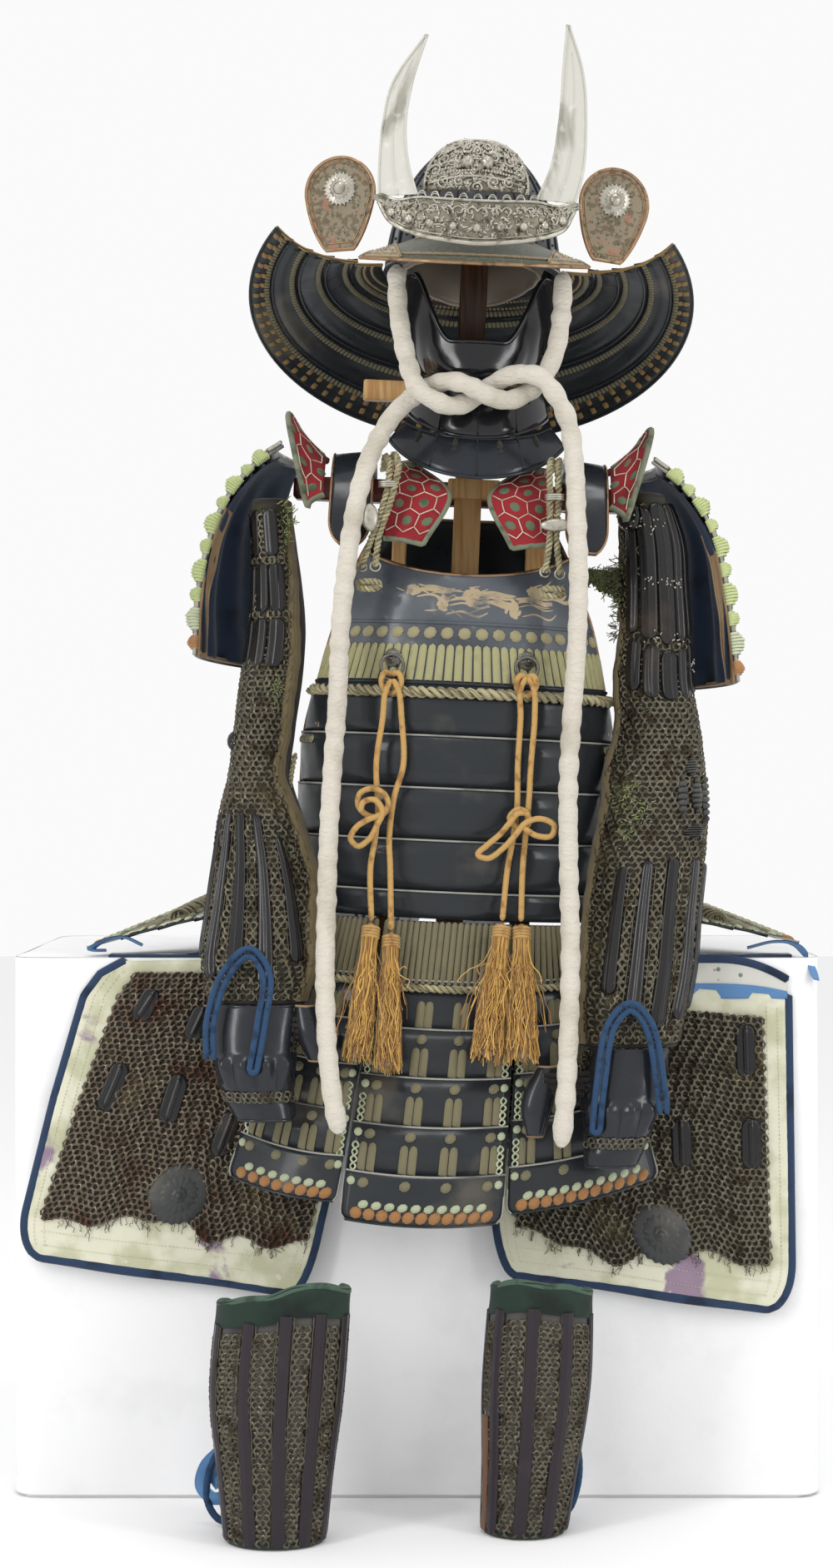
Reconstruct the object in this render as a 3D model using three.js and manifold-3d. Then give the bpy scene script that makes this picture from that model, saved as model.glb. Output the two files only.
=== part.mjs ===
// A samurai armour on its wooden stand, over a cloth-covered plinth, with the shin guards on the floor.
// Millimetres, +Z up, the wearer's front towards -Y. The origin is the middle of the plinth's underside.

import * as THREE from 'three';
import Module from 'manifold-3d';
import { mergeVertices } from 'three/addons/utils/BufferGeometryUtils.js';

// ---- Driving sizes ----

const gap = 0.4; // between pieces that touch
const plateThick = 2; // lacquered iron and leather
const clothThick = 3; // mail on cloth, quilting
const plinth = { wide: 880, deep: 430, high: 588, corner: 26 };
const body = { x: 31, y: -150, z: 632, leanDegrees: 2.5 }; // the waist, and how far the body leans to +X
const bowl = { wide: 96, deep: 118, rim: 1345, high: 149, y: 5 };
const guardRim = { wide: 247, deep: 176, y: 4, z: 1316, slope: 0.72, reach: 119, topReach: 99 };
const guardTop = { wide: 101, deep: 123, y: 5, z: 1353, slope: 0.03 };
const guardLames = 5;
const waist = { x: 7, wide: 168, deep: 124, z: 634 };
const chinCord = { diameter: 22, twist: 13 };
const tasselCord = { diameter: 6.5 };
const tassetLames = 5;
const shoulderLames = 6;

const wasm = await Module();
wasm.setup();

// ---- Helpers ----

const point = (x, y, z) => new THREE.Vector3(x, y, z);
const radians = THREE.MathUtils.degToRad;
const mix = THREE.MathUtils.lerp;

function finish(hex, roughness, metalness) {
  return () => new THREE.MeshStandardMaterial({ color: hex, roughness, metalness });
}

const blackLacquer = finish(0x1d2024, 0.3, 0.2);
const slateLacquer = finish(0x4b5560, 0.35, 0.3);
const silver = finish(0xc9c4b4, 0.35, 0.9);
const lightWood = finish(0xb98a4c, 0.6, 0);
const redWood = finish(0x4a211c, 0.45, 0);
const whiteCloth = finish(0xf0efec, 0.9, 0);
const creamCloth = finish(0xe5dfd2, 0.85, 0);
const redCloth = finish(0xa02c3c, 0.85, 0);
const mailCloth = finish(0x4a4232, 0.7, 0.3);
const quiltedSilk = finish(0xd9d8bd, 0.7, 0);
const navyCord = finish(0x24406a, 0.8, 0);
const ochreCord = finish(0xb8893a, 0.7, 0);
const leather = finish(0x9b8257, 0.6, 0);

// The columns of a table at one value of its key, in straight lines between its rows.
function lookUp(table, key, value) {
  const rising = table[table.length - 1][key] > table[0][key];
  let upper = table.findIndex((row) => (rising ? row[key] >= value : row[key] <= value));
  if (upper < 0) {
    upper = table.length - 1;
  }
  upper = Math.max(upper, 1);
  const low = table[upper - 1];
  const high = table[upper];
  const share = THREE.MathUtils.clamp((value - low[key]) / (high[key] - low[key]), 0, 1);
  const columns = Object.keys(low).map((name) => [name, mix(low[name], high[name], share)]);
  return Object.fromEntries(columns);
}

// A closed body from its points and triangles, turned so that its faces point out.
function closedBody(points, triangles) {
  let volume = 0;
  for (const [a, b, c] of triangles) {
    volume += points[a].dot(new THREE.Vector3().crossVectors(points[b], points[c]));
  }
  const faces = volume < 0 ? triangles.map(([a, b, c]) => [a, c, b]) : triangles;
  const geometry = new THREE.BufferGeometry();
  const positions = points.flatMap((p) => [p.x, p.y, p.z]);
  geometry.setAttribute('position', new THREE.Float32BufferAttribute(positions, 3));
  geometry.setIndex(faces.flat());
  geometry.computeVertexNormals();
  return geometry;
}

// A wall: surface(s, t) is its outer face, lifted along its normal at each stop and made thick inwards.
function wallGeometry({ surface, stops, columns, thickness, inside, round = false }) {
  const step = 1e-3;
  const normalAt = (s, t) => {
    const s0 = Math.max(s - step, 0);
    const s1 = Math.min(s + step, 1);
    const t0 = round ? t - step : Math.max(t - step, 0);
    const t1 = round ? t + step : Math.min(t + step, 1);
    const along = surface(s1, t).sub(surface(s0, t));
    const across = surface(s, t1).sub(surface(s, t0));
    return along.cross(across).normalize();
  };
  const middle = surface(0.5, 0.5);
  const outwards = Math.sign(normalAt(0.5, 0.5).dot(middle.clone().sub(inside)));
  const count = round ? columns : columns + 1;
  const points = [];
  for (const depth of [0, thickness]) {
    for (const stop of stops) {
      for (let column = 0; column < count; column += 1) {
        const t = column / columns;
        const offset = outwards * (stop.lift - depth);
        points.push(surface(stop.s, t).addScaledVector(normalAt(stop.s, t), offset));
      }
    }
  }
  const rows = stops.length;
  const at = (side, row, column) => (side * rows + row) * count + (column % count);
  const triangles = [];
  const quad = (a, b, c, d) => triangles.push([a, b, c], [a, c, d]);
  for (let row = 0; row < rows - 1; row += 1) {
    for (let column = 0; column < columns; column += 1) {
      quad(at(0, row, column), at(0, row + 1, column), at(0, row + 1, column + 1), at(0, row, column + 1));
      quad(at(1, row, column), at(1, row, column + 1), at(1, row + 1, column + 1), at(1, row + 1, column));
    }
  }
  for (let column = 0; column < columns; column += 1) {
    quad(at(0, 0, column), at(0, 0, column + 1), at(1, 0, column + 1), at(1, 0, column));
    const last = rows - 1;
    quad(at(0, last, column), at(1, last, column), at(1, last, column + 1), at(0, last, column + 1));
  }
  if (!round) {
    for (let row = 0; row < rows - 1; row += 1) {
      quad(at(0, row, 0), at(1, row, 0), at(1, row + 1, 0), at(0, row + 1, 0));
      quad(at(0, row, columns), at(0, row + 1, columns), at(1, row + 1, columns), at(1, row, columns));
    }
  }
  return closedBody(points, triangles);
}

// Even stops down a smooth wall.
function evenStops(count) {
  return Array.from({ length: count + 1 }, (_, index) => ({ s: index / count, lift: 0 }));
}

// Stops down a laced wall, where each lame's top stands proud of the lame above it.
function lameStops(count, start, proud) {
  const stops = start > 0 ? [{ s: 0, lift: 0 }] : [];
  for (let lame = 0; lame < count; lame += 1) {
    const top = mix(start, 1, lame / count);
    const bottom = mix(start, 1, (lame + 1) / count);
    stops.push({ s: top + (lame > 0 || start > 0 ? 0.008 : 0), lift: proud });
    stops.push({ s: bottom, lift: 0 });
  }
  return stops;
}

// A curve through a few points, read from 0 to 1.
function curveThrough(points) {
  const curve = new THREE.CatmullRomCurve3(points, false, 'centripetal');
  return (t) => curve.getPoint(t);
}

function ringShape(radius, sides) {
  const corners = Array.from({ length: sides }, (_, index) => {
    const angle = ((index + 0.5) / sides) * 2 * Math.PI;
    return new THREE.Vector2(radius * Math.cos(angle), radius * Math.sin(angle));
  });
  return new THREE.Shape(corners);
}

function tubeGeometry(points, diameter, sides, steps) {
  const extrudePath = new THREE.CatmullRomCurve3(points, false, 'centripetal');
  return new THREE.ExtrudeGeometry(ringShape(diameter / 2, sides), { steps, extrudePath });
}

function toSolid(geometry) {
  const plain = geometry.index ? geometry.toNonIndexed() : geometry.clone();
  plain.deleteAttribute('normal');
  plain.deleteAttribute('uv');
  const merged = mergeVertices(plain, 1e-4);
  const vertProperties = new Float32Array(merged.attributes.position.array);
  const triVerts = new Uint32Array(merged.index.array);
  return new wasm.Manifold(new wasm.Mesh({ numProp: 3, vertProperties, triVerts }));
}

function joined(geometries) {
  const solid = geometries.map(toSolid).reduce((whole, next) => whole.add(next));
  const { vertProperties, triVerts } = solid.getMesh();
  const geometry = new THREE.BufferGeometry();
  geometry.setAttribute('position', new THREE.BufferAttribute(Float32Array.from(vertProperties), 3));
  geometry.setIndex(new THREE.BufferAttribute(Uint32Array.from(triVerts), 1));
  geometry.computeVertexNormals();
  return geometry;
}

function block(wide, deep, low, high, x, y) {
  return new THREE.BoxGeometry(wide, deep, high - low).translate(x, y, (low + high) / 2);
}

function mesh(name, geometry, material) {
  const piece = new THREE.Mesh(geometry, material());
  piece.name = name;
  return piece;
}

// The armour's body leans on its stand: pieces in this group are placed about its upright middle line.
const trunk = new THREE.Group();
trunk.rotation.y = radians(body.leanDegrees);
trunk.position.set(body.x, body.y, body.z);
trunk.position.sub(point(0, 0, body.z).applyAxisAngle(point(0, 1, 0), radians(body.leanDegrees)));
trunk.updateMatrixWorld();
const leaned = (x, y, z) => point(x, y, z).applyMatrix4(trunk.matrixWorld);

const floorPieces = new THREE.Group();
const sides = [
  { name: 'left', sign: -1 },
  { name: 'right', sign: 1 },
];

// ---- Plinth and wooden stand ----

function plinthGeometry() {
  const { wide, deep, high, corner } = plinth;
  const shape = new THREE.Shape();
  const x = wide / 2 - corner;
  const y = deep / 2 - corner;
  shape.absarc(x, y, corner, 0, Math.PI / 2);
  shape.absarc(-x, y, corner, Math.PI / 2, Math.PI);
  shape.absarc(-x, -y, corner, Math.PI, 1.5 * Math.PI);
  shape.absarc(x, -y, corner, 1.5 * Math.PI, 2 * Math.PI);
  return new THREE.ExtrudeGeometry(shape, { depth: high, bevelEnabled: false, curveSegments: 4 });
}

const stand = { barTop: 1118, barBottom: 1092, foot: plinth.high + gap };

function standFrameGeometry() {
  const upright = (wide, deep, low, high, x, y) => block(wide, deep, low, high, x, y).applyMatrix4(trunk.matrixWorld);
  const foot = block(230, 84, stand.foot, stand.foot + 20, body.x, body.y);
  return joined([
    foot,
    upright(30, 28, 600, 1240, 6, 1),
    upright(30, 24, 1090, 1432, 2, -14),
    upright(16, 24, 600, stand.barBottom - gap, -68, 0),
    upright(22, 24, 600, stand.barBottom - gap, 84, 0),
    upright(58, 22, 1096, 1118, 12, -10),
    upright(186, 20, 1200, 1222, -22, -22),
    upright(90, 110, 1425, 1440, 0, 5),
  ]);
}

floorPieces.add(mesh('plinth', plinthGeometry(), whiteCloth));
floorPieces.add(mesh('stand_frame', standFrameGeometry(), lightWood));
trunk.add(mesh('stand_shoulder_bar', block(396, 28, stand.barBottom, stand.barTop, 8, 30), redWood));

// ---- Helmet ----

function bowlGeometry() {
  const steps = 6;
  const profile = [];
  for (let step = 0; step <= steps; step += 1) {
    const angle = (step / steps) * (Math.PI / 2);
    profile.push(new THREE.Vector2(bowl.wide * Math.sin(angle), bowl.high * Math.cos(angle)));
  }
  for (let step = steps; step >= 0; step -= 1) {
    const angle = (step / steps) * (Math.PI / 2);
    const wide = (bowl.wide - plateThick) * Math.sin(angle);
    profile.push(new THREE.Vector2(wide, (bowl.high - plateThick) * Math.cos(angle)));
  }
  const geometry = new THREE.LatheGeometry(profile.reverse(), 20);
  geometry.rotateX(Math.PI / 2);
  geometry.scale(1, bowl.deep / bowl.wide, 1);
  return geometry.translate(0, bowl.y, bowl.rim);
}

// The peak: from the bowl's brow, s = 0, out and down to its rim, s = 1.
function visorSurface(s, t) {
  const side = 2 * t - 1;
  const angle = radians(74 * side);
  const inner = point(99 * Math.sin(angle), bowl.y - 122 * Math.cos(angle), 1374 - 16 * side * side);
  const outer = point(122 * side, -190 + 52 * side * side, 1325 + 11 * side * side);
  const across = inner.lerp(outer, s);
  across.z += 6 * Math.sin(Math.PI * s);
  return across;
}

const horns = {
  left: [
    { z: 1394, outer: -104, inner: -64 },
    { z: 1425, outer: -105, inner: -74 },
    { z: 1468, outer: -103, inner: -79 },
    { z: 1511, outer: -95, inner: -74 },
    { z: 1561, outer: -62, inner: -60 },
  ],
  right: [
    { z: 1394, outer: 102, inner: 62 },
    { z: 1424, outer: 109, inner: 74 },
    { z: 1477, outer: 111, inner: 82 },
    { z: 1537, outer: 104, inner: 84 },
    { z: 1580, outer: 88, inner: 86 },
  ],
};

// The crest is one plate: the band across the brow, and a horn rising from each end.
function crestGeometry() {
  const shape = new THREE.Shape();
  shape.moveTo(-104, 1394);
  const rise = (rows, column) => shape.splineThru(rows.slice(1).map((row) => new THREE.Vector2(row[column], row.z)));
  const fall = (rows, column) => {
    const down = rows.slice(0, -1).reverse();
    shape.splineThru(down.map((row) => new THREE.Vector2(row[column], row.z)));
  };
  rise(horns.left, 'outer');
  shape.lineTo(horns.left[4].inner, 1561);
  fall(horns.left, 'inner');
  shape.quadraticCurveTo(0, 1388, 62, 1394);
  rise(horns.right, 'inner');
  shape.lineTo(horns.right[4].outer, 1580);
  fall(horns.right, 'outer');
  shape.lineTo(94, 1372);
  shape.quadraticCurveTo(62, 1346, 44, 1350);
  shape.quadraticCurveTo(-4, 1340, -52, 1350);
  shape.quadraticCurveTo(-88, 1354, -104, 1394);
  const geometry = new THREE.ExtrudeGeometry(shape, { depth: 2.5, bevelEnabled: false, curveSegments: 4 });
  geometry.rotateX(Math.PI / 2);
  const positions = geometry.attributes.position;
  for (let index = 0; index < positions.count; index += 1) {
    const x = positions.getX(index);
    positions.setY(index, positions.getY(index) - 196 + (x * x) / 420);
  }
  geometry.computeVertexNormals();
  return geometry;
}

// The openwork ornament: a half dome that stands behind the crest's band.
function ornamentSurface(s, t) {
  const side = 2 * t - 1;
  const high = s * 0.995;
  const wide = 56 * Math.sqrt(1 - high ** 2.4) + 1;
  const bulge = 24 * Math.sqrt(Math.max(0, 1 - 0.96 * side * side)) * Math.sqrt(1 - 0.9 * high * high);
  return point(wide * side - 2, -168 - bulge, 1400 + 58 * high);
}

// A turnback: a rounded tongue of plate that flares from the neck guard's end.
function turnbackGeometry(sign) {
  const shape = new THREE.Shape();
  shape.absarc(0, 0, 38, radians(-8), radians(188));
  shape.quadraticCurveTo(-33, -42, -17, -62);
  shape.lineTo(14, -62);
  shape.quadraticCurveTo(30, -40, 38 * Math.cos(radians(-8)), 38 * Math.sin(radians(-8)));
  const geometry = new THREE.ExtrudeGeometry(shape, { depth: 3, bevelEnabled: false, curveSegments: 10 });
  geometry.rotateX(Math.PI / 2);
  geometry.rotateY(radians(4 * sign));
  geometry.rotateZ(radians(14 * sign));
  return geometry.translate(146 * sign, -134, 1404);
}

// The neck guard: a flaring skirt of lames from the bowl's rim, s = 0, to its hem, s = 1.
function guardSurface(s, t) {
  const angle = radians(mix(guardRim.topReach, guardRim.reach, s) * (2 * t - 1));
  const wide = mix(guardTop.wide, guardRim.wide, s);
  const deep = mix(guardTop.deep, guardRim.deep, s);
  const middle = mix(guardTop.y, guardRim.y, s);
  const y = middle + deep * Math.cos(angle);
  const top = guardTop.z - guardTop.slope * y;
  const rim = guardRim.z - guardRim.slope * y;
  return point(wide * Math.sin(angle), y, mix(top, rim, s ** 1.12));
}

function neckLameGeometry(lame) {
  const start = lame / guardLames;
  const end = Math.min((lame + 1.16) / guardLames, 1);
  const surface = (s, t) => guardSurface(mix(start, end, s), t);
  const proud = lame > 0 ? 5.5 : 0;
  const stops = [
    { s: 0, lift: proud },
    { s: 1, lift: lame < guardLames - 1 ? -0.4 : 0.6 },
  ];
  return wallGeometry({ surface, stops, columns: 20, thickness: plateThick, inside: point(0, 0, 1100) });
}

// The liner: a band of cloth inside the bowl that sags at the brow.
function linerSurface(s, t) {
  const angle = 2 * Math.PI * t;
  const brow = Math.max(0, -Math.cos(angle)) ** 2;
  const wide = mix(89, 74, s);
  const deep = mix(110, 92, s);
  return point(wide * Math.sin(angle), bowl.y + deep * Math.cos(angle), mix(1352, 1336 - 22 * brow, s));
}

const helmet = [
  ['helmet_bowl', bowlGeometry(), blackLacquer],
  ['crest', crestGeometry(), silver],
];
for (const [name, geometry, material] of helmet) {
  trunk.add(mesh(name, geometry, material));
}
trunk.add(mesh('visor', wallGeometry({
  surface: visorSurface,
  stops: evenStops(3),
  columns: 14,
  thickness: plateThick,
  inside: point(0, 0, 1200),
}), leather));
trunk.add(mesh('crest_ornament', wallGeometry({
  surface: ornamentSurface,
  stops: evenStops(5),
  columns: 10,
  thickness: plateThick,
  inside: point(0, 0, 1420),
}), silver));
for (const { name, sign } of sides) {
  trunk.add(mesh(`turnback_${name}`, turnbackGeometry(sign), leather));
}
for (let lame = 0; lame < guardLames; lame += 1) {
  trunk.add(mesh(`neck_lame_${lame + 1}`, neckLameGeometry(lame), blackLacquer));
}
trunk.add(mesh('helmet_liner', wallGeometry({
  surface: linerSurface,
  stops: evenStops(1),
  columns: 20,
  thickness: clothThick,
  inside: point(0, bowl.y, 1340),
  round: true,
}), creamCloth));

// ---- Half mask and throat guard ----

const maskRows = [
  { s: 0, wide: 84, deep: 96, y: -14, reach: 96 },
  { s: 0.5, wide: 81, deep: 100, y: -14, reach: 98 },
  { s: 0.8, wide: 74, deep: 100, y: -14, reach: 92 },
  { s: 1, wide: 62, deep: 92, y: -14, reach: 84 },
];

// The mask wraps the jaw: its top edge dips to a wide notch at the mouth.
function maskSurface(s, t) {
  const row = lookUp(maskRows, 's', s);
  const side = 2 * t - 1;
  const angle = radians(row.reach * side);
  const notch = THREE.MathUtils.smoothstep(Math.abs(side), 0.2, 0.62);
  const top = mix(1256, 1334, notch);
  const bottom = mix(1213, 1236, side * side);
  const x = 8 + row.wide * Math.sin(angle);
  return point(x, row.y - row.deep * Math.cos(angle), mix(top, bottom, s));
}

const throatUpper = { wide: 76, deep: 98, y: -12, flare: 10, reach: 64, high: 1206, low: 1152, rise: 16 };
const throatLower = { wide: 92, deep: 106, y: -14, flare: 18, reach: 60, high: 1150, low: 1107, rise: 22 };

function throatSurface(lame) {
  return (s, t) => {
    const side = 2 * t - 1;
    const angle = radians(lame.reach * side);
    const wide = lame.wide + lame.flare * s;
    const deep = lame.deep + lame.flare * s;
    const z = mix(lame.high + lame.rise * side * side, lame.low + 2 * lame.rise * side * side, s);
    return point(12 + wide * Math.sin(angle), lame.y - deep * Math.cos(angle), z);
  };
}

trunk.add(mesh('face_mask', wallGeometry({
  surface: maskSurface,
  stops: evenStops(4),
  columns: 14,
  thickness: plateThick,
  inside: point(8, 0, 1260),
}), blackLacquer));
const throatPieces = [
  ['throat_lame_upper', throatUpper],
  ['throat_lame_lower', throatLower],
];
for (const [name, lame] of throatPieces) {
  trunk.add(mesh(name, wallGeometry({
    surface: throatSurface(lame),
    stops: evenStops(2),
    columns: 12,
    thickness: plateThick,
    inside: point(12, 0, 1150),
  }), blackLacquer));
}

// ---- Cuirass ----

const frontRows = [
  { z: 1030, wide: 147, deep: 112, reach: 50 },
  { z: 1000, wide: 153, deep: 121, reach: 53 },
  { z: 957, wide: 163, deep: 128, reach: 59 },
  { z: 925, wide: 167, deep: 130, reach: 63 },
  { z: 880, wide: 171, deep: 131, reach: 69 },
  { z: 838, wide: 174, deep: 131, reach: 79 },
  { z: 800, wide: 174, deep: 131, reach: 88 },
  { z: 718, wide: 174, deep: 129, reach: 88 },
  { z: 634, wide: 168, deep: 124, reach: 88 },
];
const backRows = [
  { z: 1082, wide: 120, deep: 96, reach: 52 },
  { z: 1030, wide: 147, deep: 112, reach: 56 },
  { z: 957, wide: 163, deep: 122, reach: 62 },
  { z: 880, wide: 171, deep: 124, reach: 72 },
  { z: 838, wide: 174, deep: 124, reach: 82 },
  { z: 800, wide: 174, deep: 124, reach: 91 },
  { z: 718, wide: 174, deep: 122, reach: 91 },
  { z: 634, wide: 168, deep: 118, reach: 91 },
];

// One half of the cuirass, from its neck edge, s = 0, to the waist, s = 1; front is -1 and back is +1.
function cuirassSurface(rows, front, dip) {
  const top = rows[0].z;
  return (s, t) => {
    const side = 2 * t - 1;
    const row = lookUp(rows, 'z', mix(top, waist.z, s));
    const angle = radians(row.reach * side);
    const lowered = dip * (1 - side * side) * Math.max(0, 1 - s * 8);
    const x = waist.x + row.wide * Math.sin(angle);
    return point(x, front * row.deep * Math.cos(angle), row.z - lowered);
  };
}

const plateEdges = [880, 830, 774, 718, 663];

// Stops down the cuirass: smooth above, then one plate over the next.
function cuirassStops(rows) {
  const top = rows[0].z;
  const share = (z) => (top - z) / (top - waist.z);
  const stops = rows.filter((row) => row.z > plateEdges[0] + 10).map((row) => ({ s: share(row.z), lift: 0 }));
  for (const edge of plateEdges) {
    stops.push({ s: share(edge + 1.5), lift: 0 }, { s: share(edge), lift: 2.2 });
  }
  stops.push({ s: 1, lift: 0 });
  return stops;
}

trunk.add(mesh('breastplate', wallGeometry({
  surface: cuirassSurface(frontRows, -1, 26),
  stops: cuirassStops(frontRows),
  columns: 14,
  thickness: plateThick,
  inside: point(waist.x, 0, 800),
}), slateLacquer));
trunk.add(mesh('backplate', wallGeometry({
  surface: cuirassSurface(backRows, 1, 0),
  stops: cuirassStops(backRows),
  columns: 12,
  thickness: plateThick,
  inside: point(waist.x, 0, 800),
}), blackLacquer));

// ---- Shoulder straps, collar fronts and shoulder wings ----

const strapLine = curveThrough([
  point(0, 104, 1096), point(0, 72, 1128), point(0, 24, 1136), point(0, -30, 1140),
  point(0, -82, 1116), point(0, -114, 1074), point(0, -131, 1030),
]);
const strap = { middle: 127, half: 23 };

function strapSurface(sign) {
  return (s, t) => {
    const middle = strapLine(s);
    const end = Math.max(0, (s - 0.9) / 0.1);
    const half = strap.half * Math.sqrt(1 - 0.8 * end * end);
    const x = 6 + sign * strap.middle + half * (2 * t - 1);
    return point(x, middle.y, middle.z - 5 * (2 * t - 1) * sign * (1 - s));
  };
}

// A collar front: a quilted lapel that hangs from the strap's inner edge.
function collarSurface(sign) {
  const held = curveThrough([point(88, -66, 1126), point(92, -102, 1088), point(90, -128, 1040)]);
  const free = curveThrough([point(64, -80, 1128), point(22, -124, 1088), point(48, -136, 1034)]);
  return (s, t) => {
    const across = held(t).lerp(free(t), s);
    across.x = 6 + sign * across.x;
    across.y -= 10 * Math.sin(Math.PI * s) * Math.sin(Math.PI * t);
    return across;
  };
}

// A shoulder wing: a padded leaf that stands up from the strap's outer edge.
function wingSurface(sign) {
  const held = curveThrough([point(155, 6, 1136), point(156, -44, 1130), point(156, -92, 1088)]);
  const free = curveThrough([point(178, 22, 1150), point(198, -38, 1180), point(172, -100, 1072)]);
  return (s, t) => {
    const across = held(t).lerp(free(t), s);
    across.x = 4 + sign * (across.x + 5 * Math.sin(Math.PI * s));
    return across;
  };
}

for (const { name, sign } of sides) {
  trunk.add(mesh(`shoulder_strap_${name}`, wallGeometry({
    surface: strapSurface(sign),
    stops: evenStops(12),
    columns: 2,
    thickness: plateThick + 1,
    inside: point(sign * strap.middle, 0, 1000),
  }), blackLacquer));
  trunk.add(mesh(`collar_${name}`, wallGeometry({
    surface: collarSurface(sign),
    stops: evenStops(4),
    columns: 6,
    thickness: 5,
    inside: point(sign * 60, 0, 1060),
  }), redCloth));
  trunk.add(mesh(`shoulder_wing_${name}`, wallGeometry({
    surface: wingSurface(sign),
    stops: evenStops(3),
    columns: 8,
    thickness: 5,
    inside: point(sign * 300, 0, 1000),
  }), redCloth));
}

// ---- Breast rings, their cords, knots and tassels ----

const frontDepth = 131;
const rings = {
  left: { x: -69, z: 903 },
  right: { x: 75, z: 906 },
};

function breastSurface(x) {
  return -frontDepth * Math.sqrt(1 - ((x - waist.x) / 172) ** 2);
}

function torusGeometry(radius, tube, around, through) {
  const profile = Array.from({ length: through + 1 }, (_, index) => {
    const angle = ((index % through) / through) * 2 * Math.PI;
    return new THREE.Vector2(radius + tube * Math.cos(angle), tube * Math.sin(angle));
  });
  return new THREE.LatheGeometry(profile, around);
}

for (const { name } of sides) {
  const { x, z } = rings[name];
  const ring = mesh(`breast_ring_${name}`, torusGeometry(12, 1.8, 16, 6), silver);
  ring.position.set(x, breastSurface(x) - 6.5, z);
  ring.rotation.x = radians(6);
  trunk.add(ring);
}

// Each tassel cord hangs doubled over its ring: up from one tassel, round, and down to the other.
const tasselRoutes = {
  left: [
    point(-48, -296, 634), point(-49, -289, 690), point(-44, -286, 722), point(-41, -285, 750),
    point(-43, -284, 800), point(-36, -283, 850), point(-33, -283, 878), point(-26, -284, 890),
    point(-19, -283, 878), point(-16, -283, 850), point(-14, -284, 800), point(-24, -285, 764),
    point(-29, -286, 722), point(-28, -289, 690), point(-27, -295, 624),
  ],
  right: [
    point(91, -296, 634), point(97, -289, 690), point(103, -286, 722), point(107, -285, 750),
    point(108, -284, 800), point(111, -283, 850), point(111, -283, 880), point(118, -284, 892),
    point(125, -283, 880), point(126, -283, 850), point(122, -284, 800), point(120, -285, 764),
    point(116, -286, 722), point(113, -289, 690), point(111, -295, 633),
  ],
};
// The bow knots stand in front of the cords.
const knotRoutes = {
  left: [
    point(-30, -293, 733), point(-50, -293, 742), point(-64, -293, 726), point(-66, -293, 748),
    point(-50, -294, 762), point(-36, -294, 758), point(-22, -294, 766), point(-18, -294, 748),
    point(-30, -301, 738), point(-46, -301, 750), point(-58, -301, 768),
  ],
  right: [
    point(117, -293, 731), point(104, -293, 738), point(88, -293, 726), point(70, -293, 714),
    point(76, -293, 702), point(92, -293, 712), point(106, -301, 728), point(116, -301, 744),
    point(132, -293, 745), point(144, -293, 736), point(146, -293, 724), point(134, -293, 724),
  ],
};
for (const { name } of sides) {
  floorPieces.add(mesh(`tassel_cord_${name}`, tubeGeometry(tasselRoutes[name], tasselCord.diameter, 6, 32), ochreCord));
  floorPieces.add(mesh(`tassel_knot_${name}`, tubeGeometry(knotRoutes[name], tasselCord.diameter, 6, 22), ochreCord));
}

const tasselProfile = [
  { down: 0, radius: 4 },
  { down: 4, radius: 8.5 },
  { down: 13, radius: 8.5 },
  { down: 18, radius: 7 },
  { down: 60, radius: 12 },
  { down: 146, radius: 17 },
];
const tassels = [
  { name: 'tassel_left_outer', top: point(-48, -296.5, 629), foot: point(-63, -338, 482), spread: 0.9 },
  { name: 'tassel_left_inner', top: point(-27, -295.5, 619), foot: point(-30, -338, 474), spread: 0.9 },
  { name: 'tassel_right_inner', top: point(91, -296.5, 629), foot: point(72, -338, 482), spread: 1.05 },
  { name: 'tassel_right_outer', top: point(111.6, -295.5, 628), foot: point(110, -338, 482), spread: 1.05 },
];
for (const { name, top, foot, spread } of tassels) {
  const profile = tasselProfile.map(({ down, radius }) => new THREE.Vector2(down > 20 ? radius * spread : radius, -down));
  profile.unshift(new THREE.Vector2(0, 0));
  profile.push(new THREE.Vector2(0, -tasselProfile[tasselProfile.length - 1].down));
  profile.reverse();
  const tassel = mesh(name, new THREE.LatheGeometry(profile, 10), ochreCord);
  tassel.position.copy(top);
  tassel.quaternion.setFromUnitVectors(point(0, -1, 0), foot.clone().sub(top).normalize());
  floorPieces.add(tassel);
}

// ---- Chin cord: two padded strands, twisted once round each other at the chin ----

const chinTwist = { from: point(2, -292, 1197), to: point(132, -292, 1209), sag: 8, points: 8 };

function twistPoints(phase) {
  return Array.from({ length: chinTwist.points + 1 }, (_, index) => {
    const share = index / chinTwist.points;
    const turn = 2 * Math.PI * share + phase;
    const middle = chinTwist.from.clone().lerp(chinTwist.to, share);
    middle.z -= chinTwist.sag * Math.sin(Math.PI * share);
    middle.y -= chinCord.twist * Math.cos(turn);
    middle.z -= chinCord.twist * Math.sin(turn);
    return middle;
  });
}

const chinRoutes = {
  left: [
    point(-22, -252, 1338), point(-19, -260, 1284), point(-10, -282, 1232),
    ...twistPoints(0),
    point(152, -298, 1184), point(163, -290, 1158), point(168, -290, 1118), point(170, -296, 1065),
    point(172, -298, 994), point(170, -296, 922), point(165, -297, 851), point(161, -300, 780),
    point(161, -306, 692), point(162, -322, 605), point(159, -342, 519), point(155, -355, 451),
    point(150, -360, 402),
  ],
  right: [
    point(158, -252, 1331), point(156, -258, 1284), point(148, -268, 1240),
    ...twistPoints(Math.PI).reverse(),
    point(-22, -280, 1176), point(-38, -282, 1152), point(-53, -288, 1119), point(-66, -296, 1066),
    point(-75, -298, 1003), point(-81, -294, 941), point(-84, -292, 869), point(-89, -295, 798),
    point(-93, -300, 727), point(-95, -312, 648), point(-96, -328, 570), point(-93, -345, 502),
    point(-87, -356, 451), point(-80, -361, 416),
  ],
};
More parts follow.
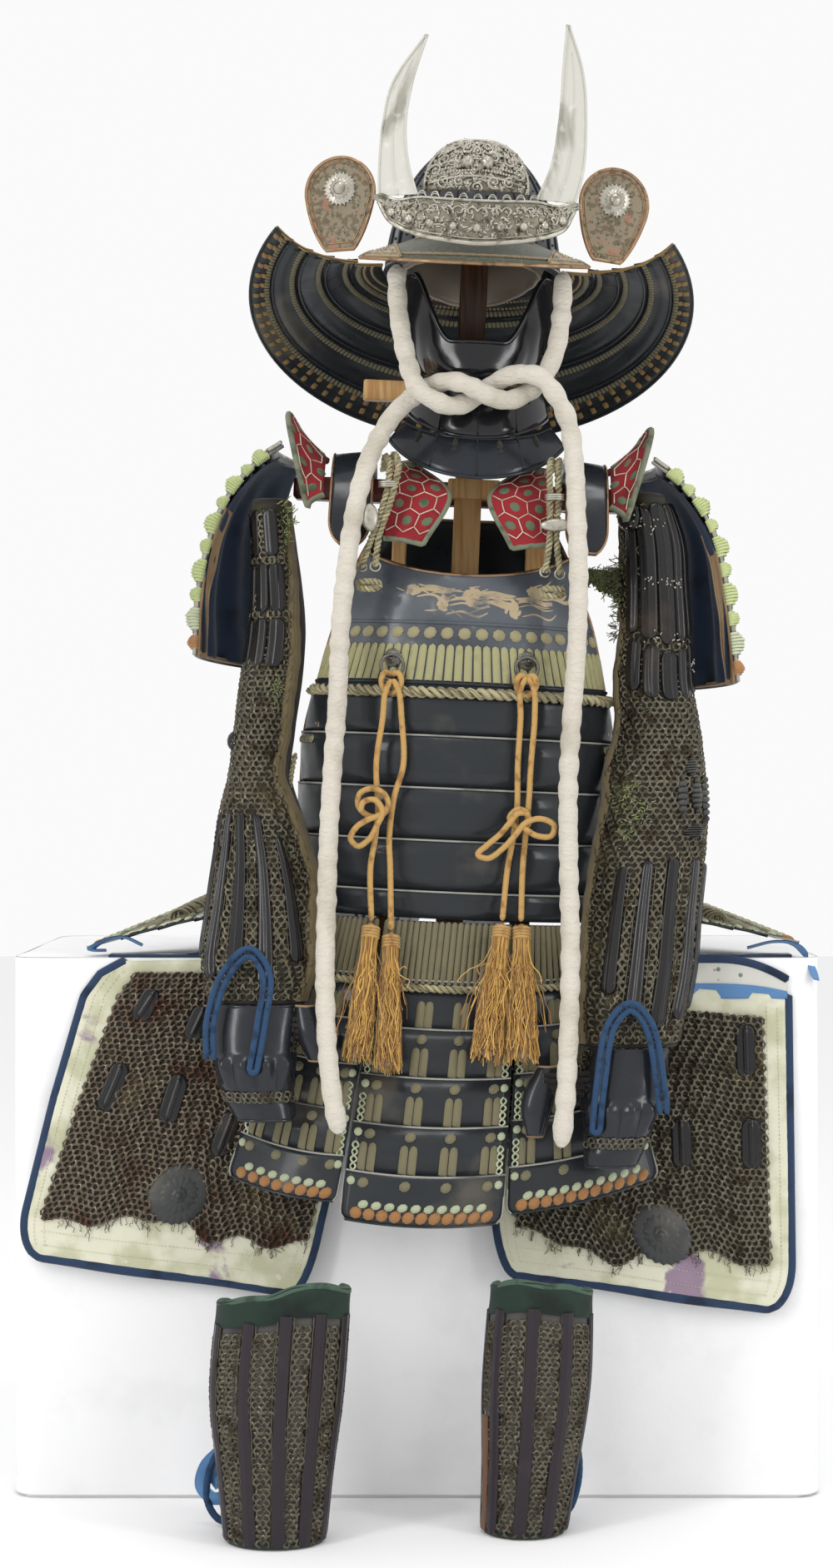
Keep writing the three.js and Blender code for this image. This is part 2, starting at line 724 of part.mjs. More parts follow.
for (const { name } of sides) {
  floorPieces.add(mesh(`chin_cord_${name}`, tubeGeometry(chinRoutes[name], chinCord.diameter, 8, 44), creamCloth));
}

// ---- Tassets ----

// Each tasset hangs from the waist between two angles, front being 0, and ends on its two lower corners.
const tassets = [
  { name: 'front_center', from: -25, to: 25, start: leaned(-99, -186, 320), end: leaned(72, -186, 322), bow: 12 },
  { name: 'front_left', from: -58, to: -27, start: leaned(-221, -128, 352), end: leaned(-102, -178, 336), bow: 10 },
  { name: 'front_right', from: 27, to: 58, start: leaned(76, -178, 330), end: leaned(240, -128, 370), bow: 10 },
  { name: 'side_left', from: -101, to: -61, start: point(-258, -18, 640), end: point(-366, -196, 598), bow: 4 },
  { name: 'side_right', from: 61, to: 101, start: point(424, -196, 604), end: point(330, -18, 640), bow: 4 },
  { name: 'back_left', from: -177, to: -103, start: point(-4, 208, 600), end: point(-226, 40, 634), bow: -12 },
  { name: 'back_right', from: 103, to: 177, start: point(290, 40, 634), end: point(40, 208, 600), bow: -12 },
];
const lacingShare = 0.2;

function tassetSurface({ from, to, start, end, bow }) {
  return (s, t) => {
    const angle = radians(mix(from, to, t));
    const x = waist.x + (waist.wide + 1) * Math.sin(angle);
    const held = leaned(x, -(waist.deep + 1) * Math.cos(angle), waist.z - 2.5);
    const hem = start.clone().lerp(end, t);
    hem.y -= bow * (1 - (2 * t - 1) ** 2);
    const place = held.lerp(hem, s);
    place.y -= 5 * Math.sign(bow) * Math.sin(Math.PI * s) * (Math.abs(bow) > 4 ? 1 : 0);
    place.z += Math.abs(from) > 60 ? 14 * Math.sin(Math.PI * s ** 0.7) : 0;
    return place;
  };
}

for (const tasset of tassets) {
  floorPieces.add(mesh(`tasset_${tasset.name}`, wallGeometry({
    surface: tassetSurface(tasset),
    stops: lameStops(tassetLames, lacingShare, 2.4),
    columns: 5,
    thickness: plateThick,
    inside: Math.abs(tasset.from) > 60 ? point(body.x, body.y, 200) : point(body.x, body.y, 500),
  }), blackLacquer));
}

// ---- Shoulder guards ----

const shoulderGuards = {
  left: {
    line: curveThrough([point(-200, 0, 1142), point(-232, 0, 1118), point(-264, 0, 1070), point(-284, 0, 990), point(-286, 0, 908)]),
    front: -66, back: 104, tuck: 84,
  },
  right: {
    line: curveThrough([point(206, 0, 1142), point(242, 0, 1116), point(276, 0, 1066), point(296, 0, 990), point(309, 0, 905)]),
    front: -66, back: 96, tuck: 76,
  },
};

function shoulderGuardSurface({ line, front, back, tuck }, sign) {
  return (s, t) => {
    const edge = line(s);
    const x = edge.x - sign * (tuck * t ** 1.5 * Math.min(1, 0.1 + 1.4 * s) - 12 * Math.sin(Math.PI * t));
    return point(x, mix(front + 16 * (1 - s), back, t), edge.z - 10 * t * s);
  };
}

for (const { name, sign } of sides) {
  trunk.add(mesh(`shoulder_guard_${name}`, wallGeometry({
    surface: shoulderGuardSurface(shoulderGuards[name], sign),
    stops: lameStops(shoulderLames, 0, 2.4),
    columns: 6,
    thickness: clothThick,
    inside: point(0, 20, 1000),
  }), blackLacquer));
}

// ---- Sleeves: half-open channels of cloth, mail and splints ----

const sleeves = {
  left: [
    { z: 1090, x: -161, y: -168, half: 22, deep: 40 },
    { z: 1040, x: -157, y: -170, half: 24, deep: 44 },
    { z: 1000, x: -154, y: -174, half: 27, deep: 46 },
    { z: 945, x: -153, y: -180, half: 31, deep: 46 },
    { z: 890, x: -159, y: -190, half: 33, deep: 44 },
    { z: 835, x: -166, y: -200, half: 32, deep: 42 },
    { z: 789, x: -170, y: -212, half: 33, deep: 42 },
    { z: 744, x: -168, y: -222, half: 45, deep: 44 },
    { z: 691, x: -163, y: -236, half: 56, deep: 46 },
    { z: 638, x: -163, y: -252, half: 61, deep: 44 },
    { z: 592, x: -165, y: -270, half: 63, deep: 38 },
    { z: 549, x: -168, y: -290, half: 52, deep: 32 },
  ],
  right: [
    { z: 1096, x: 251, y: -168, half: 24, deep: 44 },
    { z: 1040, x: 260, y: -170, half: 33, deep: 48 },
    { z: 1000, x: 261, y: -174, half: 34, deep: 48 },
    { z: 945, x: 261, y: -180, half: 38, deep: 46 },
    { z: 890, x: 259, y: -190, half: 42, deep: 46 },
    { z: 835, x: 263, y: -200, half: 46, deep: 46 },
    { z: 789, x: 258, y: -212, half: 55, deep: 48 },
    { z: 744, x: 256, y: -222, half: 58, deep: 48 },
    { z: 691, x: 248, y: -236, half: 61, deep: 46 },
    { z: 638, x: 241, y: -252, half: 61, deep: 44 },
    { z: 586, x: 235, y: -272, half: 61, deep: 38 },
    { z: 504, x: 224, y: -298, half: 52, deep: 32 },
  ],
};
const sleeveReach = { outer: -128, inner: 96 };

// A channel round a middle line: s runs down it, t from its outer edge round the front to its inner edge.
function channelSurface(rows, sign, reach) {
  const top = rows[0].z;
  const bottom = rows[rows.length - 1].z;
  return (s, t) => {
    const row = lookUp(rows, 'z', mix(top, bottom, s));
    const angle = radians(mix(reach.outer, reach.inner, t));
    return point(row.x - sign * row.half * Math.sin(angle), row.y - row.deep * Math.cos(angle), row.z);
  };
}

function channelStops(rows) {
  const top = rows[0].z;
  const length = top - rows[rows.length - 1].z;
  return rows.map((row) => ({ s: (top - row.z) / length, lift: 0 }));
}

for (const { name, sign } of sides) {
  const rows = sleeves[name];
  floorPieces.add(mesh(`sleeve_${name}`, wallGeometry({
    surface: channelSurface(rows, sign, sleeveReach),
    stops: channelStops(rows),
    columns: 10,
    thickness: clothThick,
    inside: point(rows[6].x, rows[6].y, rows[6].z),
  }), mailCloth));
}

// ---- Hand guards, each with its thumb plate ----

const hands = {
  left: [
    { z: 545, x: -167, y: -300, half: 47, deep: 30 },
    { z: 520, x: -170, y: -306, half: 46, deep: 30 },
    { z: 484, x: -170, y: -314, half: 42, deep: 28 },
    { z: 456, x: -167, y: -318, half: 38, deep: 27 },
    { z: 427, x: -158, y: -322, half: 32, deep: 24 },
  ],
  right: [
    { z: 500, x: 222, y: -310, half: 46, deep: 28 },
    { z: 484, x: 218, y: -314, half: 44, deep: 28 },
    { z: 452, x: 214, y: -320, half: 42, deep: 28 },
    { z: 420, x: 212, y: -324, half: 36, deep: 26 },
    { z: 379, x: 203, y: -328, half: 28, deep: 22 },
  ],
};
const thumbs = {
  left: [
    { z: 545, x: -118, y: -312, half: 12, deep: 9 },
    { z: 520, x: -110, y: -316, half: 17, deep: 12 },
    { z: 488, x: -103, y: -322, half: 11, deep: 8 },
  ],
  right: [
    { z: 482, x: 138, y: -322, half: 11, deep: 9 },
    { z: 446, x: 127, y: -328, half: 16, deep: 12 },
    { z: 410, x: 124, y: -334, half: 9, deep: 7 },
  ],
};
const webs = {
  left: [point(-135, -318, 522), point(-111, -326.5, 522)],
  right: [point(184, -332, 466), point(133, -335, 464)],
};
const handReach = { outer: -84, inner: 84 };

for (const { name, sign } of sides) {
  const channel = (rows, columns) => wallGeometry({
    surface: channelSurface(rows, sign, handReach),
    stops: channelStops(rows),
    columns,
    thickness: plateThick,
    inside: point(rows[1].x, rows[1].y, rows[1].z),
  });
  const web = tubeGeometry(webs[name], 6, 6, 2);
  const pieces = [channel(hands[name], 8), channel(thumbs[name], 6), web];
  floorPieces.add(mesh(`hand_guard_${name}`, joined(pieces), blackLacquer));
}

// The finger cords: one doubled loop on the back of each hand.
const handLoops = {
  left: [
    point(-216, -338, 490), point(-216, -334, 530), point(-200, -326, 580), point(-176, -324, 602),
    point(-158, -328, 580), point(-162, -342, 530), point(-170, -350, 482),
  ],
  right: [
    point(187, -352, 420), point(192, -354, 470), point(204, -343, 528), point(224, -340, 546),
    point(242, -343, 528), point(254, -346, 470), point(258, -344, 434),
  ],
};
for (const { name } of sides) {
  floorPieces.add(mesh(`hand_loop_${name}`, tubeGeometry(handLoops[name], 9, 6, 18), navyCord));
}

// ---- Thigh guards: quilted panels with mail, hung before the plinth ----

const thighs = {
  left: {
    outer: { top: point(-318, -220, 586), foot: point(-436, -236, 268) },
    inner: { top: point(-40, -220, 590), foot: point(-122, -236, 226) },
    corner: 0.16, waves: 4,
  },
  right: {
    outer: { top: point(405, -220, 548), foot: point(408, -236, 204) },
    inner: { top: point(60, -220, 575), foot: point(92, -236, 250) },
    corner: 0.16, waves: 5,
  },
};

function thighSurface({ outer, inner, corner, waves }) {
  return (s, t) => {
    const round = Math.max(0, (s - (1 - corner)) / corner);
    const inset = 0.1 * (1 - Math.sqrt(Math.max(0, 1 - round * round * 0.98)));
    const from = outer.top.clone().lerp(outer.foot, s);
    const to = inner.top.clone().lerp(inner.foot, s);
    const place = from.lerp(to, mix(inset, 1 - inset * 0.5, t));
    place.y += waves * s * Math.cos(2 * Math.PI * (t * 1.3 + 0.1));
    return place;
  };
}

for (const { name } of sides) {
  floorPieces.add(mesh(`thigh_guard_${name}`, wallGeometry({
    surface: thighSurface(thighs[name]),
    stops: [0, 0.2, 0.4, 0.6, 0.8, 0.88, 0.94, 0.98, 1].map((s) => ({ s, lift: 0 })),
    columns: 8,
    thickness: 4,
    inside: point(0, 0, 400),
  }), quiltedSilk));
}

// The waistband lies along the plinth's front edge.
const bandLine = curveThrough([
  point(-336, -201, 0), point(-180, -205, 0), point(40, -203, 0), point(240, -205, 0), point(410, -201, 0),
]);
floorPieces.add(mesh('thigh_guard_waistband', wallGeometry({
  surface: (s, t) => bandLine(t).add(point(0, mix(-9, 9, s), plinth.high + gap + 4)),
  stops: evenStops(1),
  columns: 10,
  thickness: 4,
  inside: point(0, -203, 0),
}), quiltedSilk));

// ---- Shin guards, standing on the floor, and their ties ----

const shins = {
  left: [
    { z: 256, x: -137, y: -372, half: 67, deep: 48 },
    { z: 144, x: -145, y: -372, half: 66, deep: 50 },
    { z: 70, x: -146, y: -374, half: 57, deep: 46 },
    { z: 0, x: -146, y: -378, half: 50, deep: 42 },
  ],
  right: [
    { z: 257, x: 131, y: -338, half: 51, deep: 44 },
    { z: 144, x: 125, y: -338, half: 53, deep: 46 },
    { z: 70, x: 119, y: -340, half: 47, deep: 42 },
    { z: 0, x: 112, y: -344, half: 42, deep: 38 },
  ],
};
const shinReach = { outer: -118, inner: 118 };

for (const { name, sign } of sides) {
  const rows = shins[name];
  const outline = channelSurface(rows, sign, shinReach);
  floorPieces.add(mesh(`shin_guard_${name}`, wallGeometry({
    surface: (s, t) => outline(s, t).add(point(0, 0, 7 * (1 - s) * Math.cos(Math.PI * (2 * t - 1)))),
    stops: channelStops(rows),
    columns: 12,
    thickness: 4,
    inside: point(rows[1].x, rows[1].y, rows[1].z),
  }), mailCloth));
}

const shinTies = {
  left: [point(-200, -330, 88), point(-216, -322, 62), point(-220, -324, 26), point(-206, -328, 6), point(-176, -326, 5)],
  right: [point(164, -306, 92), point(172, -300, 66), point(170, -296, 30), point(158, -298, 6), point(132, -296, 5)],
};
for (const { name } of sides) {
  floorPieces.add(mesh(`shin_tie_${name}`, tubeGeometry(shinTies[name], 8, 6, 12), navyCord));
}

const armour = new THREE.Group();
armour.add(floorPieces, trunk);

export default armour;
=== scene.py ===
import math
import bpy
import numpy as np
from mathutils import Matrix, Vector


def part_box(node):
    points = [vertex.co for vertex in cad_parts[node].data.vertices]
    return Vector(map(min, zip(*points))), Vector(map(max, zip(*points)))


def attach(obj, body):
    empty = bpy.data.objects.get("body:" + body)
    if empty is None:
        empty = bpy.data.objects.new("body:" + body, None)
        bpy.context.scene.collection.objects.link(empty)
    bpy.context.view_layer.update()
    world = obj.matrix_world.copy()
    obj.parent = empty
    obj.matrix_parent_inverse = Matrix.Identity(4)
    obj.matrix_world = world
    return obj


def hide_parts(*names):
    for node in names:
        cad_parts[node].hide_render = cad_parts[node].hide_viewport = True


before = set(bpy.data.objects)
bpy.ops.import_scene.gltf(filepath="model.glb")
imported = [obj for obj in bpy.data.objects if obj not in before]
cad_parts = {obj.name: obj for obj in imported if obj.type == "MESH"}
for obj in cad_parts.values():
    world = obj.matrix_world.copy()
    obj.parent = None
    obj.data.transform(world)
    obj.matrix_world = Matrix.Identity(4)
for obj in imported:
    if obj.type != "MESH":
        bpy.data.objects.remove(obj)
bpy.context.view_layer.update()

# A samurai armour on its stand: lengths below are millimetres, and each mesh is made in metres.
mm = 0.001
tau = 2 * math.pi
sides = (("left", -1), ("right", 1))

# how the armour stands: its waist, and how far it leans to +X on its stand
body = {"x": 31.0, "y": -150.0, "z": 632.0, "lean": 2.5}
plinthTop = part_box("plinth")[1][2] / mm


# ---------- points, curves and walls ----------

def vec(x, y, z):
    x, y, z = np.broadcast_arrays(np.asarray(x, float), y, z)
    return np.stack([x, y, z], axis=-1).astype(float)


def leaned(points):
    turn = math.radians(body["lean"])
    x, y, z = points[..., 0], points[..., 1], points[..., 2] - body["z"]
    return vec(body["x"] + x * math.cos(turn) + z * math.sin(turn), body["y"] + y,
               body["z"] - x * math.sin(turn) + z * math.cos(turn))


def spot(*place):
    return np.array(place, float)


def trunkSpot(*place):
    return leaned(spot(*place))


def unit(v):
    return v / np.maximum(np.linalg.norm(v, axis=-1, keepdims=True), 1e-9)


def mix(a, b, share):
    return a + (b - a) * share


def ease(value, low, high):
    share = np.clip((value - low) / (high - low), 0, 1)
    return share * share * (3 - 2 * share)


def evenShares(count):
    return np.linspace(0, 1, count)


def middles(count):
    return (np.arange(count) + 0.5) / count


def fullTurn(count):
    return np.linspace(0, tau, count + 1)[:-1]


def both(s, t):  # two shares of a surface, as arrays of one shape
    return np.broadcast_arrays(np.asarray(s, float), np.asarray(t, float))


def smooth(xs, ys, x):  # a soft curve through a table's rows
    xs, ys = np.asarray(xs, float), np.asarray(ys, float)
    if xs[0] > xs[-1]:
        xs, ys = xs[::-1], ys[::-1]
    x = np.clip(x, xs[0], xs[-1])
    slopes = np.gradient(ys, xs)
    row = np.clip(np.searchsorted(xs, x) - 1, 0, len(xs) - 2)
    step = xs[row + 1] - xs[row]
    share = (x - xs[row]) / step
    a, b, m0, m1 = ys[row], ys[row + 1], slopes[row] * step, slopes[row + 1] * step
    return (a + share * m0 + share ** 2 * (3 * (b - a) - 2 * m0 - m1)
            + share ** 3 * (2 * (a - b) + m0 + m1))


def curveThrough(points, closed=False):  # a spline through a few points, read from 0 to 1
    points = np.asarray(points, float)
    if closed:
        points = np.vstack([points, points[:1]])
    lengths = np.sqrt(np.linalg.norm(np.diff(points, axis=0), axis=1))
    marks = np.concatenate([[0], np.cumsum(lengths)]) / lengths.sum()

    def at(t):
        return np.stack([smooth(marks, points[:, axis], np.asarray(t, float)) for axis in range(3)], axis=-1)
    return at


def marksAlong(path):  # the distance run at each point of a path
    return np.concatenate([[0], np.cumsum(np.linalg.norm(np.diff(path, axis=0), axis=1))])


def tangentsOf(path):
    return unit(np.gradient(path, axis=0))


def evenly(path, gap):  # a path with its points an even gap apart
    path = np.asarray(path, float)
    marks = marksAlong(path)
    steps = max(2, int(round(marks[-1] / gap)))
    wanted = np.linspace(0, marks[-1], steps + 1)
    return np.stack([np.interp(wanted, marks, path[:, axis]) for axis in range(3)], axis=-1)


def pathLength(path):
    return float(np.linalg.norm(np.diff(path, axis=0), axis=1).sum())


def placesOn(surface, s, t, inside):  # points, normals and the two directions of a surface
    s, t = both(s, t)
    step = 1e-3
    point = surface(s, t)
    along = unit(surface(np.minimum(s + step, 1), t) - surface(np.maximum(s - step, 0), t))
    across = unit(surface(s, t + step) - surface(s, t - step))
    normal = unit(np.cross(along, across))
    centre = surface(np.array(0.5), np.array(0.5))
    near = surface(np.array([0.499, 0.501, 0.5, 0.5]), np.array([0.5, 0.5, 0.499, 0.501]))
    middle = np.cross(near[1] - near[0], near[3] - near[2])
    if np.dot(middle, centre - np.asarray(inside, float)) < 0:
        normal = -normal
    return point, normal, along, across


def facePlaces(surface, s, t, inside, lift=0.0, thick=0.0):  # thick > 0 turns to the inner face
    point, normal, along, across = placesOn(surface, s, t, inside)
    lift = np.asarray(lift, float)[..., None] if np.ndim(lift) else lift
    if thick:
        return point + normal * (lift - thick), -normal, along, -across
    return point + normal * lift, normal, along, across


def facePoints(*where):
    return facePlaces(*where)[0]


def borderOf(surface, parts, inside, lift):  # the points along several edges, end to end
    return np.concatenate([facePoints(surface, s, t, inside, lift) for s, t in parts])


def quadsOf(index):  # the cells of a grid of point numbers
    return np.stack([index[:-1, :-1], index[1:, :-1], index[1:, 1:], index[:-1, 1:]], axis=-1).reshape(-1, 4)


class Bundle:  # many small shapes gathered into one mesh
    def __init__(self):
        self.verts, self.faces, self.uvs, self.slots, self.count = [], [], [], [], 0

    def add(self, verts, faces, uvs=None, slot=0):
        verts = np.asarray(verts, float).reshape(-1, 3)
        faces = np.asarray(faces, int)
        uvs = np.zeros((len(verts), 2)) if uvs is None else np.asarray(uvs, float).reshape(-1, 2)
        self.verts.append(verts)
        self.uvs.append(uvs)
        self.faces.append(faces + self.count)
        self.slots.append(np.full(len(faces), slot))
        self.count += len(verts)

    def grid(self, points, uvs=None, closedRows=False, closedCols=False, slot=0):
        rows, cols = points.shape[:2]
        index = np.arange(rows * cols).reshape(rows, cols)
        if closedCols:
            index = np.hstack([index, index[:, :1]])
        if closedRows:
            index = np.vstack([index, index[:1]])
        self.add(points, quadsOf(index), uvs, slot)

    def tube(self, path, radius, around=6, closed=False, slot=0, flat=1.0, caps=True, up=None):
        path = np.asarray(path, float)
        count = len(path)
        tangent = unit(np.roll(path, -1, axis=0) - np.roll(path, 1, axis=0)) if closed else tangentsOf(path)
        radius = np.broadcast_to(np.asarray(radius, float), (count,)).copy()
        if radius.max() < 4:  # thin cords need few sides
            around = max(3, round(around * 0.66))
        normals = np.zeros_like(path)
        normals[0] = unit(np.cross(tangent[0], (0.31, 0.42, 0.85)))
        for row in range(1, count):
            normals[row] = unit(normals[row - 1] - tangent[row] * np.dot(normals[row - 1], tangent[row]))
        if up is not None:
            normals = unit(np.cross(tangent, np.broadcast_to(up, path.shape)))
        sideways = np.cross(tangent, normals)
        angle = np.arange(around) / around * tau
        ring = (normals[:, None] * np.cos(angle)[None, :, None]
                + sideways[:, None] * np.sin(angle)[None, :, None] * flat)
        points = path[:, None] + ring * radius[:, None, None]
        uvs = np.stack(np.broadcast_arrays(angle[None] / tau, marksAlong(path)[:, None] * mm), axis=-1)
        base = self.count
        self.grid(points, uvs, closedRows=closed, closedCols=True, slot=slot)
        if caps and not closed:
            for row, order in ((0, 1), (count - 1, -1)):
                tip = path[row] - order * tangent[row] * radius[row] * 0.45
                rim = base + row * around + np.arange(around) - self.count
                faces = np.stack([np.zeros(around, int), rim, np.roll(rim, -1)], axis=-1)
                self.add(tip, faces if order < 0 else faces[:, ::-1], slot=slot)

    def copies(self, template, places, scale=1.0, slot=0):  # one template at many places
        verts, faces, uvs = template
        point, normal, along, across = places
        point = point.reshape(-1, 3)
        axes = np.stack([across.reshape(-1, 3), along.reshape(-1, 3), normal.reshape(-1, 3)], axis=1)
        scale = spot(scale) if isinstance(scale, tuple) else np.asarray(scale, float)
        scale = np.broadcast_to(scale if scale.ndim == 2 else np.atleast_1d(scale)[:, None], (len(point), 3))
        sized = verts[None] * scale[:, None]
        placed = point[:, None] + np.einsum("nvk,nkj->nvj", sized, axes)
        many = faces[None] + (np.arange(len(point)) * len(verts))[:, None, None]
        self.add(placed, many.reshape(-1, faces.shape[1]), np.tile(uvs, (len(point), 1)), slot)

    def build(self, name, shades):
        verts = np.concatenate(self.verts) * mm
        uvs = np.concatenate(self.uvs)
        sizes = np.concatenate([np.full(len(faces), faces.shape[1]) for faces in self.faces])
        loops = np.concatenate([faces.reshape(-1) for faces in self.faces])
        name = name.replace(" ", "_")
        mesh = bpy.data.meshes.new(name)
        mesh.vertices.add(len(verts))
        mesh.vertices.foreach_set("co", verts.ravel())
        mesh.loops.add(len(loops))
        mesh.loops.foreach_set("vertex_index", loops)
        mesh.polygons.add(len(sizes))
        mesh.polygons.foreach_set("loop_start", np.concatenate([[0], np.cumsum(sizes)[:-1]]))
        mesh.polygons.foreach_set("loop_total", sizes)
        mesh.polygons.foreach_set("material_index", np.concatenate(self.slots))
        mesh.uv_layers.new(name="laid").data.foreach_set("uv", uvs[loops].ravel())
        mesh.update(calc_edges=True)
        mesh.validate()
        mesh.polygons.foreach_set("use_smooth", np.ones(len(mesh.polygons), bool))
        for shade in shades if isinstance(shades, list) else [shades]:
            mesh.materials.append(shade.material)
        piece = bpy.data.objects.new(name, mesh)
        bpy.context.scene.collection.objects.link(piece)
        return piece


def wall(bundle, surface, rows, cols, thick, inside, lift=None, closed=False, slot=0):  # two faces and a rim
    s = np.asarray(rows, float) if np.ndim(rows) else evenShares(rows + 1)
    t = evenShares(cols + 1)
    if closed:
        t = t[:-1]
    gridS, gridT = np.meshgrid(s, t, indexing="ij")
    point, normal, along, across = placesOn(surface, gridS, gridT, inside)
    outer = point + normal * (0.0 if lift is None else lift(gridS, gridT)[..., None])
    inner = outer - normal * thick
    down, over = marksAlong(outer[:, len(t) // 2]), marksAlong(outer[len(s) // 2])
    uvs = np.stack(np.meshgrid(down, over, indexing="ij")[::-1], axis=-1) * mm
    start = bundle.count
    bundle.grid(outer, uvs, closedCols=closed, slot=slot)
    bundle.grid(inner[:, ::-1], uvs[:, ::-1], closedCols=closed, slot=slot)
    nRows, nCols = len(s), len(t)
    foot, end = nRows - 1, nCols - 1
    at = lambda side, row, col: start + side * nRows * nCols + row * nCols + (end - col if side else col)
    quads = []
    for col in range(nCols if closed else end):
        after = (col + 1) % nCols
        quads.append((at(0, 0, col), at(0, 0, after), at(1, 0, after), at(1, 0, col)))
        quads.append((at(0, foot, col), at(1, foot, col), at(1, foot, after), at(0, foot, after)))
    for row in range(0 if closed else foot):
        quads.append((at(0, row, 0), at(1, row, 0), at(1, row + 1, 0), at(0, row + 1, 0)))
        quads.append((at(0, row, end), at(0, row + 1, end), at(1, row + 1, end), at(1, row, end)))
    bundle.faces.append(np.asarray(quads))
    bundle.slots.append(np.full(len(quads), slot))


# templates: small shapes drawn once, about their own middle, and copied many times

def domeTemplate(around=10, rings=4, lobes=0, lobeDepth=0.0):
    verts, uvs = [], []
    for ring in range(rings + 1):
        tilt = ring / rings * math.pi / 2
        for side in range(around):
            angle = side / around * tau
            radius = math.cos(tilt) * (1 + lobeDepth * math.cos(lobes * angle))
            verts.append((radius * math.cos(angle), radius * math.sin(angle), math.sin(tilt)))
            uvs.append((radius * math.cos(angle), radius * math.sin(angle)))
    faces = []
    for ring in range(rings):
        for side in range(around):
            a, b, after = ring * around, (ring + 1) * around, (side + 1) % around
            faces.append((a + side, a + after, b + after, b + side))
    return np.array(verts), np.array(faces), np.array(uvs)


def laceTemplate(across=3, along=4):  # a flat plaited lace, ends tucked in, 1 wide and 1 long each way
    verts, uvs = [], []
    for row in range(along + 1):
        v = -1 + 2 * row / along
        tuck = math.sqrt(max(0.0, 1 - abs(v) ** 6))
        for col in range(across + 1):
            u = -1 + 2 * col / across
            crown = math.sqrt(max(0.0, 1 - 0.96 * u * u))
            verts.append((u * (0.86 + 0.14 * tuck), v, crown * tuck))
            uvs.append((u, v))
    faces = []
    for row in range(along):
        for col in range(across):
            a = row * (across + 1) + col
            faces.append((a, a + 1, a + across + 2, a + across + 1))
    return np.array(verts), np.array(faces), np.array(uvs)


def ringTemplate(around=6, wire=0.30):  # the upper half of one link of mail
    verts, uvs, faces = [], [], []
    for side in range(around):
        angle = side / around * tau
        for row, (radius, high) in enumerate(((1 - wire, 0), (1, wire), (1 + wire, 0))):
            verts.append((radius * math.cos(angle), radius * math.sin(angle), high))
            uvs.append((angle / tau, row / 2))
        after = (side + 1) % around
        for row in (0, 1):
            faces.append((side * 3 + row, side * 3 + row + 1, after * 3 + row + 1, after * 3 + row))
    return np.array(verts), np.array(faces), np.array(uvs)


knotTemplate = domeTemplate(8, 3)
leafTemplate = domeTemplate(6, 2)
flowerTemplate = domeTemplate(24, 3, 8, 0.16)
laceShape = laceTemplate()


def turnedPlaces(places, angle):  # the same places, turned about their normals
    point, normal, along, across = places
    angle = np.asarray(angle, float)[..., None]
    return (point, normal, along * np.cos(angle) + across * np.sin(angle),
            across * np.cos(angle) - along * np.sin(angle))


def raisedPlaces(places, lift):
    point, normal, along, across = places
    return point + normal * lift, normal, along, across


def ropeInto(bundle, path, radius, lead, slot=0, up=(0, 0, 1)):  # two strands laid round each other
    path = evenly(path, lead / 7)
    tangent = tangentsOf(path)
    first = unit(np.cross(tangent, np.broadcast_to(up, path.shape)))
    second = np.cross(tangent, first)
    for strand in (0, math.pi):
        turn = (marksAlong(path) / lead * tau + strand)[:, None]
        laid = path + (first * np.cos(turn) + second * np.sin(turn)) * radius * 0.52
        bundle.tube(laid, radius * 0.56, 6, slot=slot)


def grids(bundle, points, uvs, slot=0):  # many equal grids at once: (n, rows, cols, 3)
    n, rows, cols = points.shape[:3]
    index = np.arange(rows * cols).reshape(rows, cols)
    many = quadsOf(index)[None] + (np.arange(n) * rows * cols)[:, None, None]
    bundle.add(points.reshape(-1, 3), many.reshape(-1, 4), np.broadcast_to(uvs, (n, rows, cols, 2)), slot)


def roundedEnds(share, length, half, ends, least):  # how full a strip is along its length
    size = np.ones(len(share))
    for kept, distance in zip(ends, (share * length, (1 - share) * length)):
        if kept:
            size = size * np.sqrt(np.clip(1 - (1 - np.minimum(distance / half, 1)) ** 2, least, 1))
    return size


def softShares(steps):  # shares that lie closer together near both ends
    return (1 - np.cos(np.linspace(0, math.pi, steps + 1))) / 2


def lacesOn(bundle, surface, s0, s1, t, inside, half, high, lift=0.0, slot=0, ends=(1, 1), steps=7):
    share = softShares(steps)
    gridS, gridT = np.meshgrid(mix(s0, s1, share), t, indexing="ij")
    raised = lift(gridS, gridT) if callable(lift) else lift
    point, normal, along, across = facePlaces(surface, gridS, gridT, inside, raised)
    length = np.linalg.norm(point[-1] - point[0], axis=-1).mean()
    size = roundedEnds(share, length, half * 1.1, ends, 0.01)
    u = np.linspace(-1, 1, 5)
    crown = np.sqrt(1 - 0.95 * u * u)
    verts = (point[:, :, None] + across[:, :, None] * (u * half)[None, None, :, None] * size[:, None, None, None]
             + normal[:, :, None] * (crown * high)[None, None, :, None] * size[:, None, None, None])
    uvs = np.stack(np.broadcast_arrays(u[None], (share * length / half)[:, None]), axis=-1)
    grids(bundle, verts.transpose(1, 0, 2, 3), uvs, slot)


def braidOn(bundle, surface, s0, s1, t, inside, half, lead, radius, lift, slot=0):
    length = pathLength(facePoints(surface, np.linspace(s0, s1, 12), t, inside))
    count = max(8, int(length / lead * 6))
    s = np.linspace(s0, s1, count)
    point, normal, along, across = facePlaces(surface, s, t, inside, lift(s, t))
    turn = np.linspace(0, length, count) / lead * math.pi
    for phase in (0, math.pi):
        sway = np.sin(turn + phase)[:, None]
        over = np.cos(2 * turn + phase)[:, None]
        bundle.tube(point + across * sway * half + normal * radius * (0.9 + 0.35 * over), radius, 5, slot=slot)


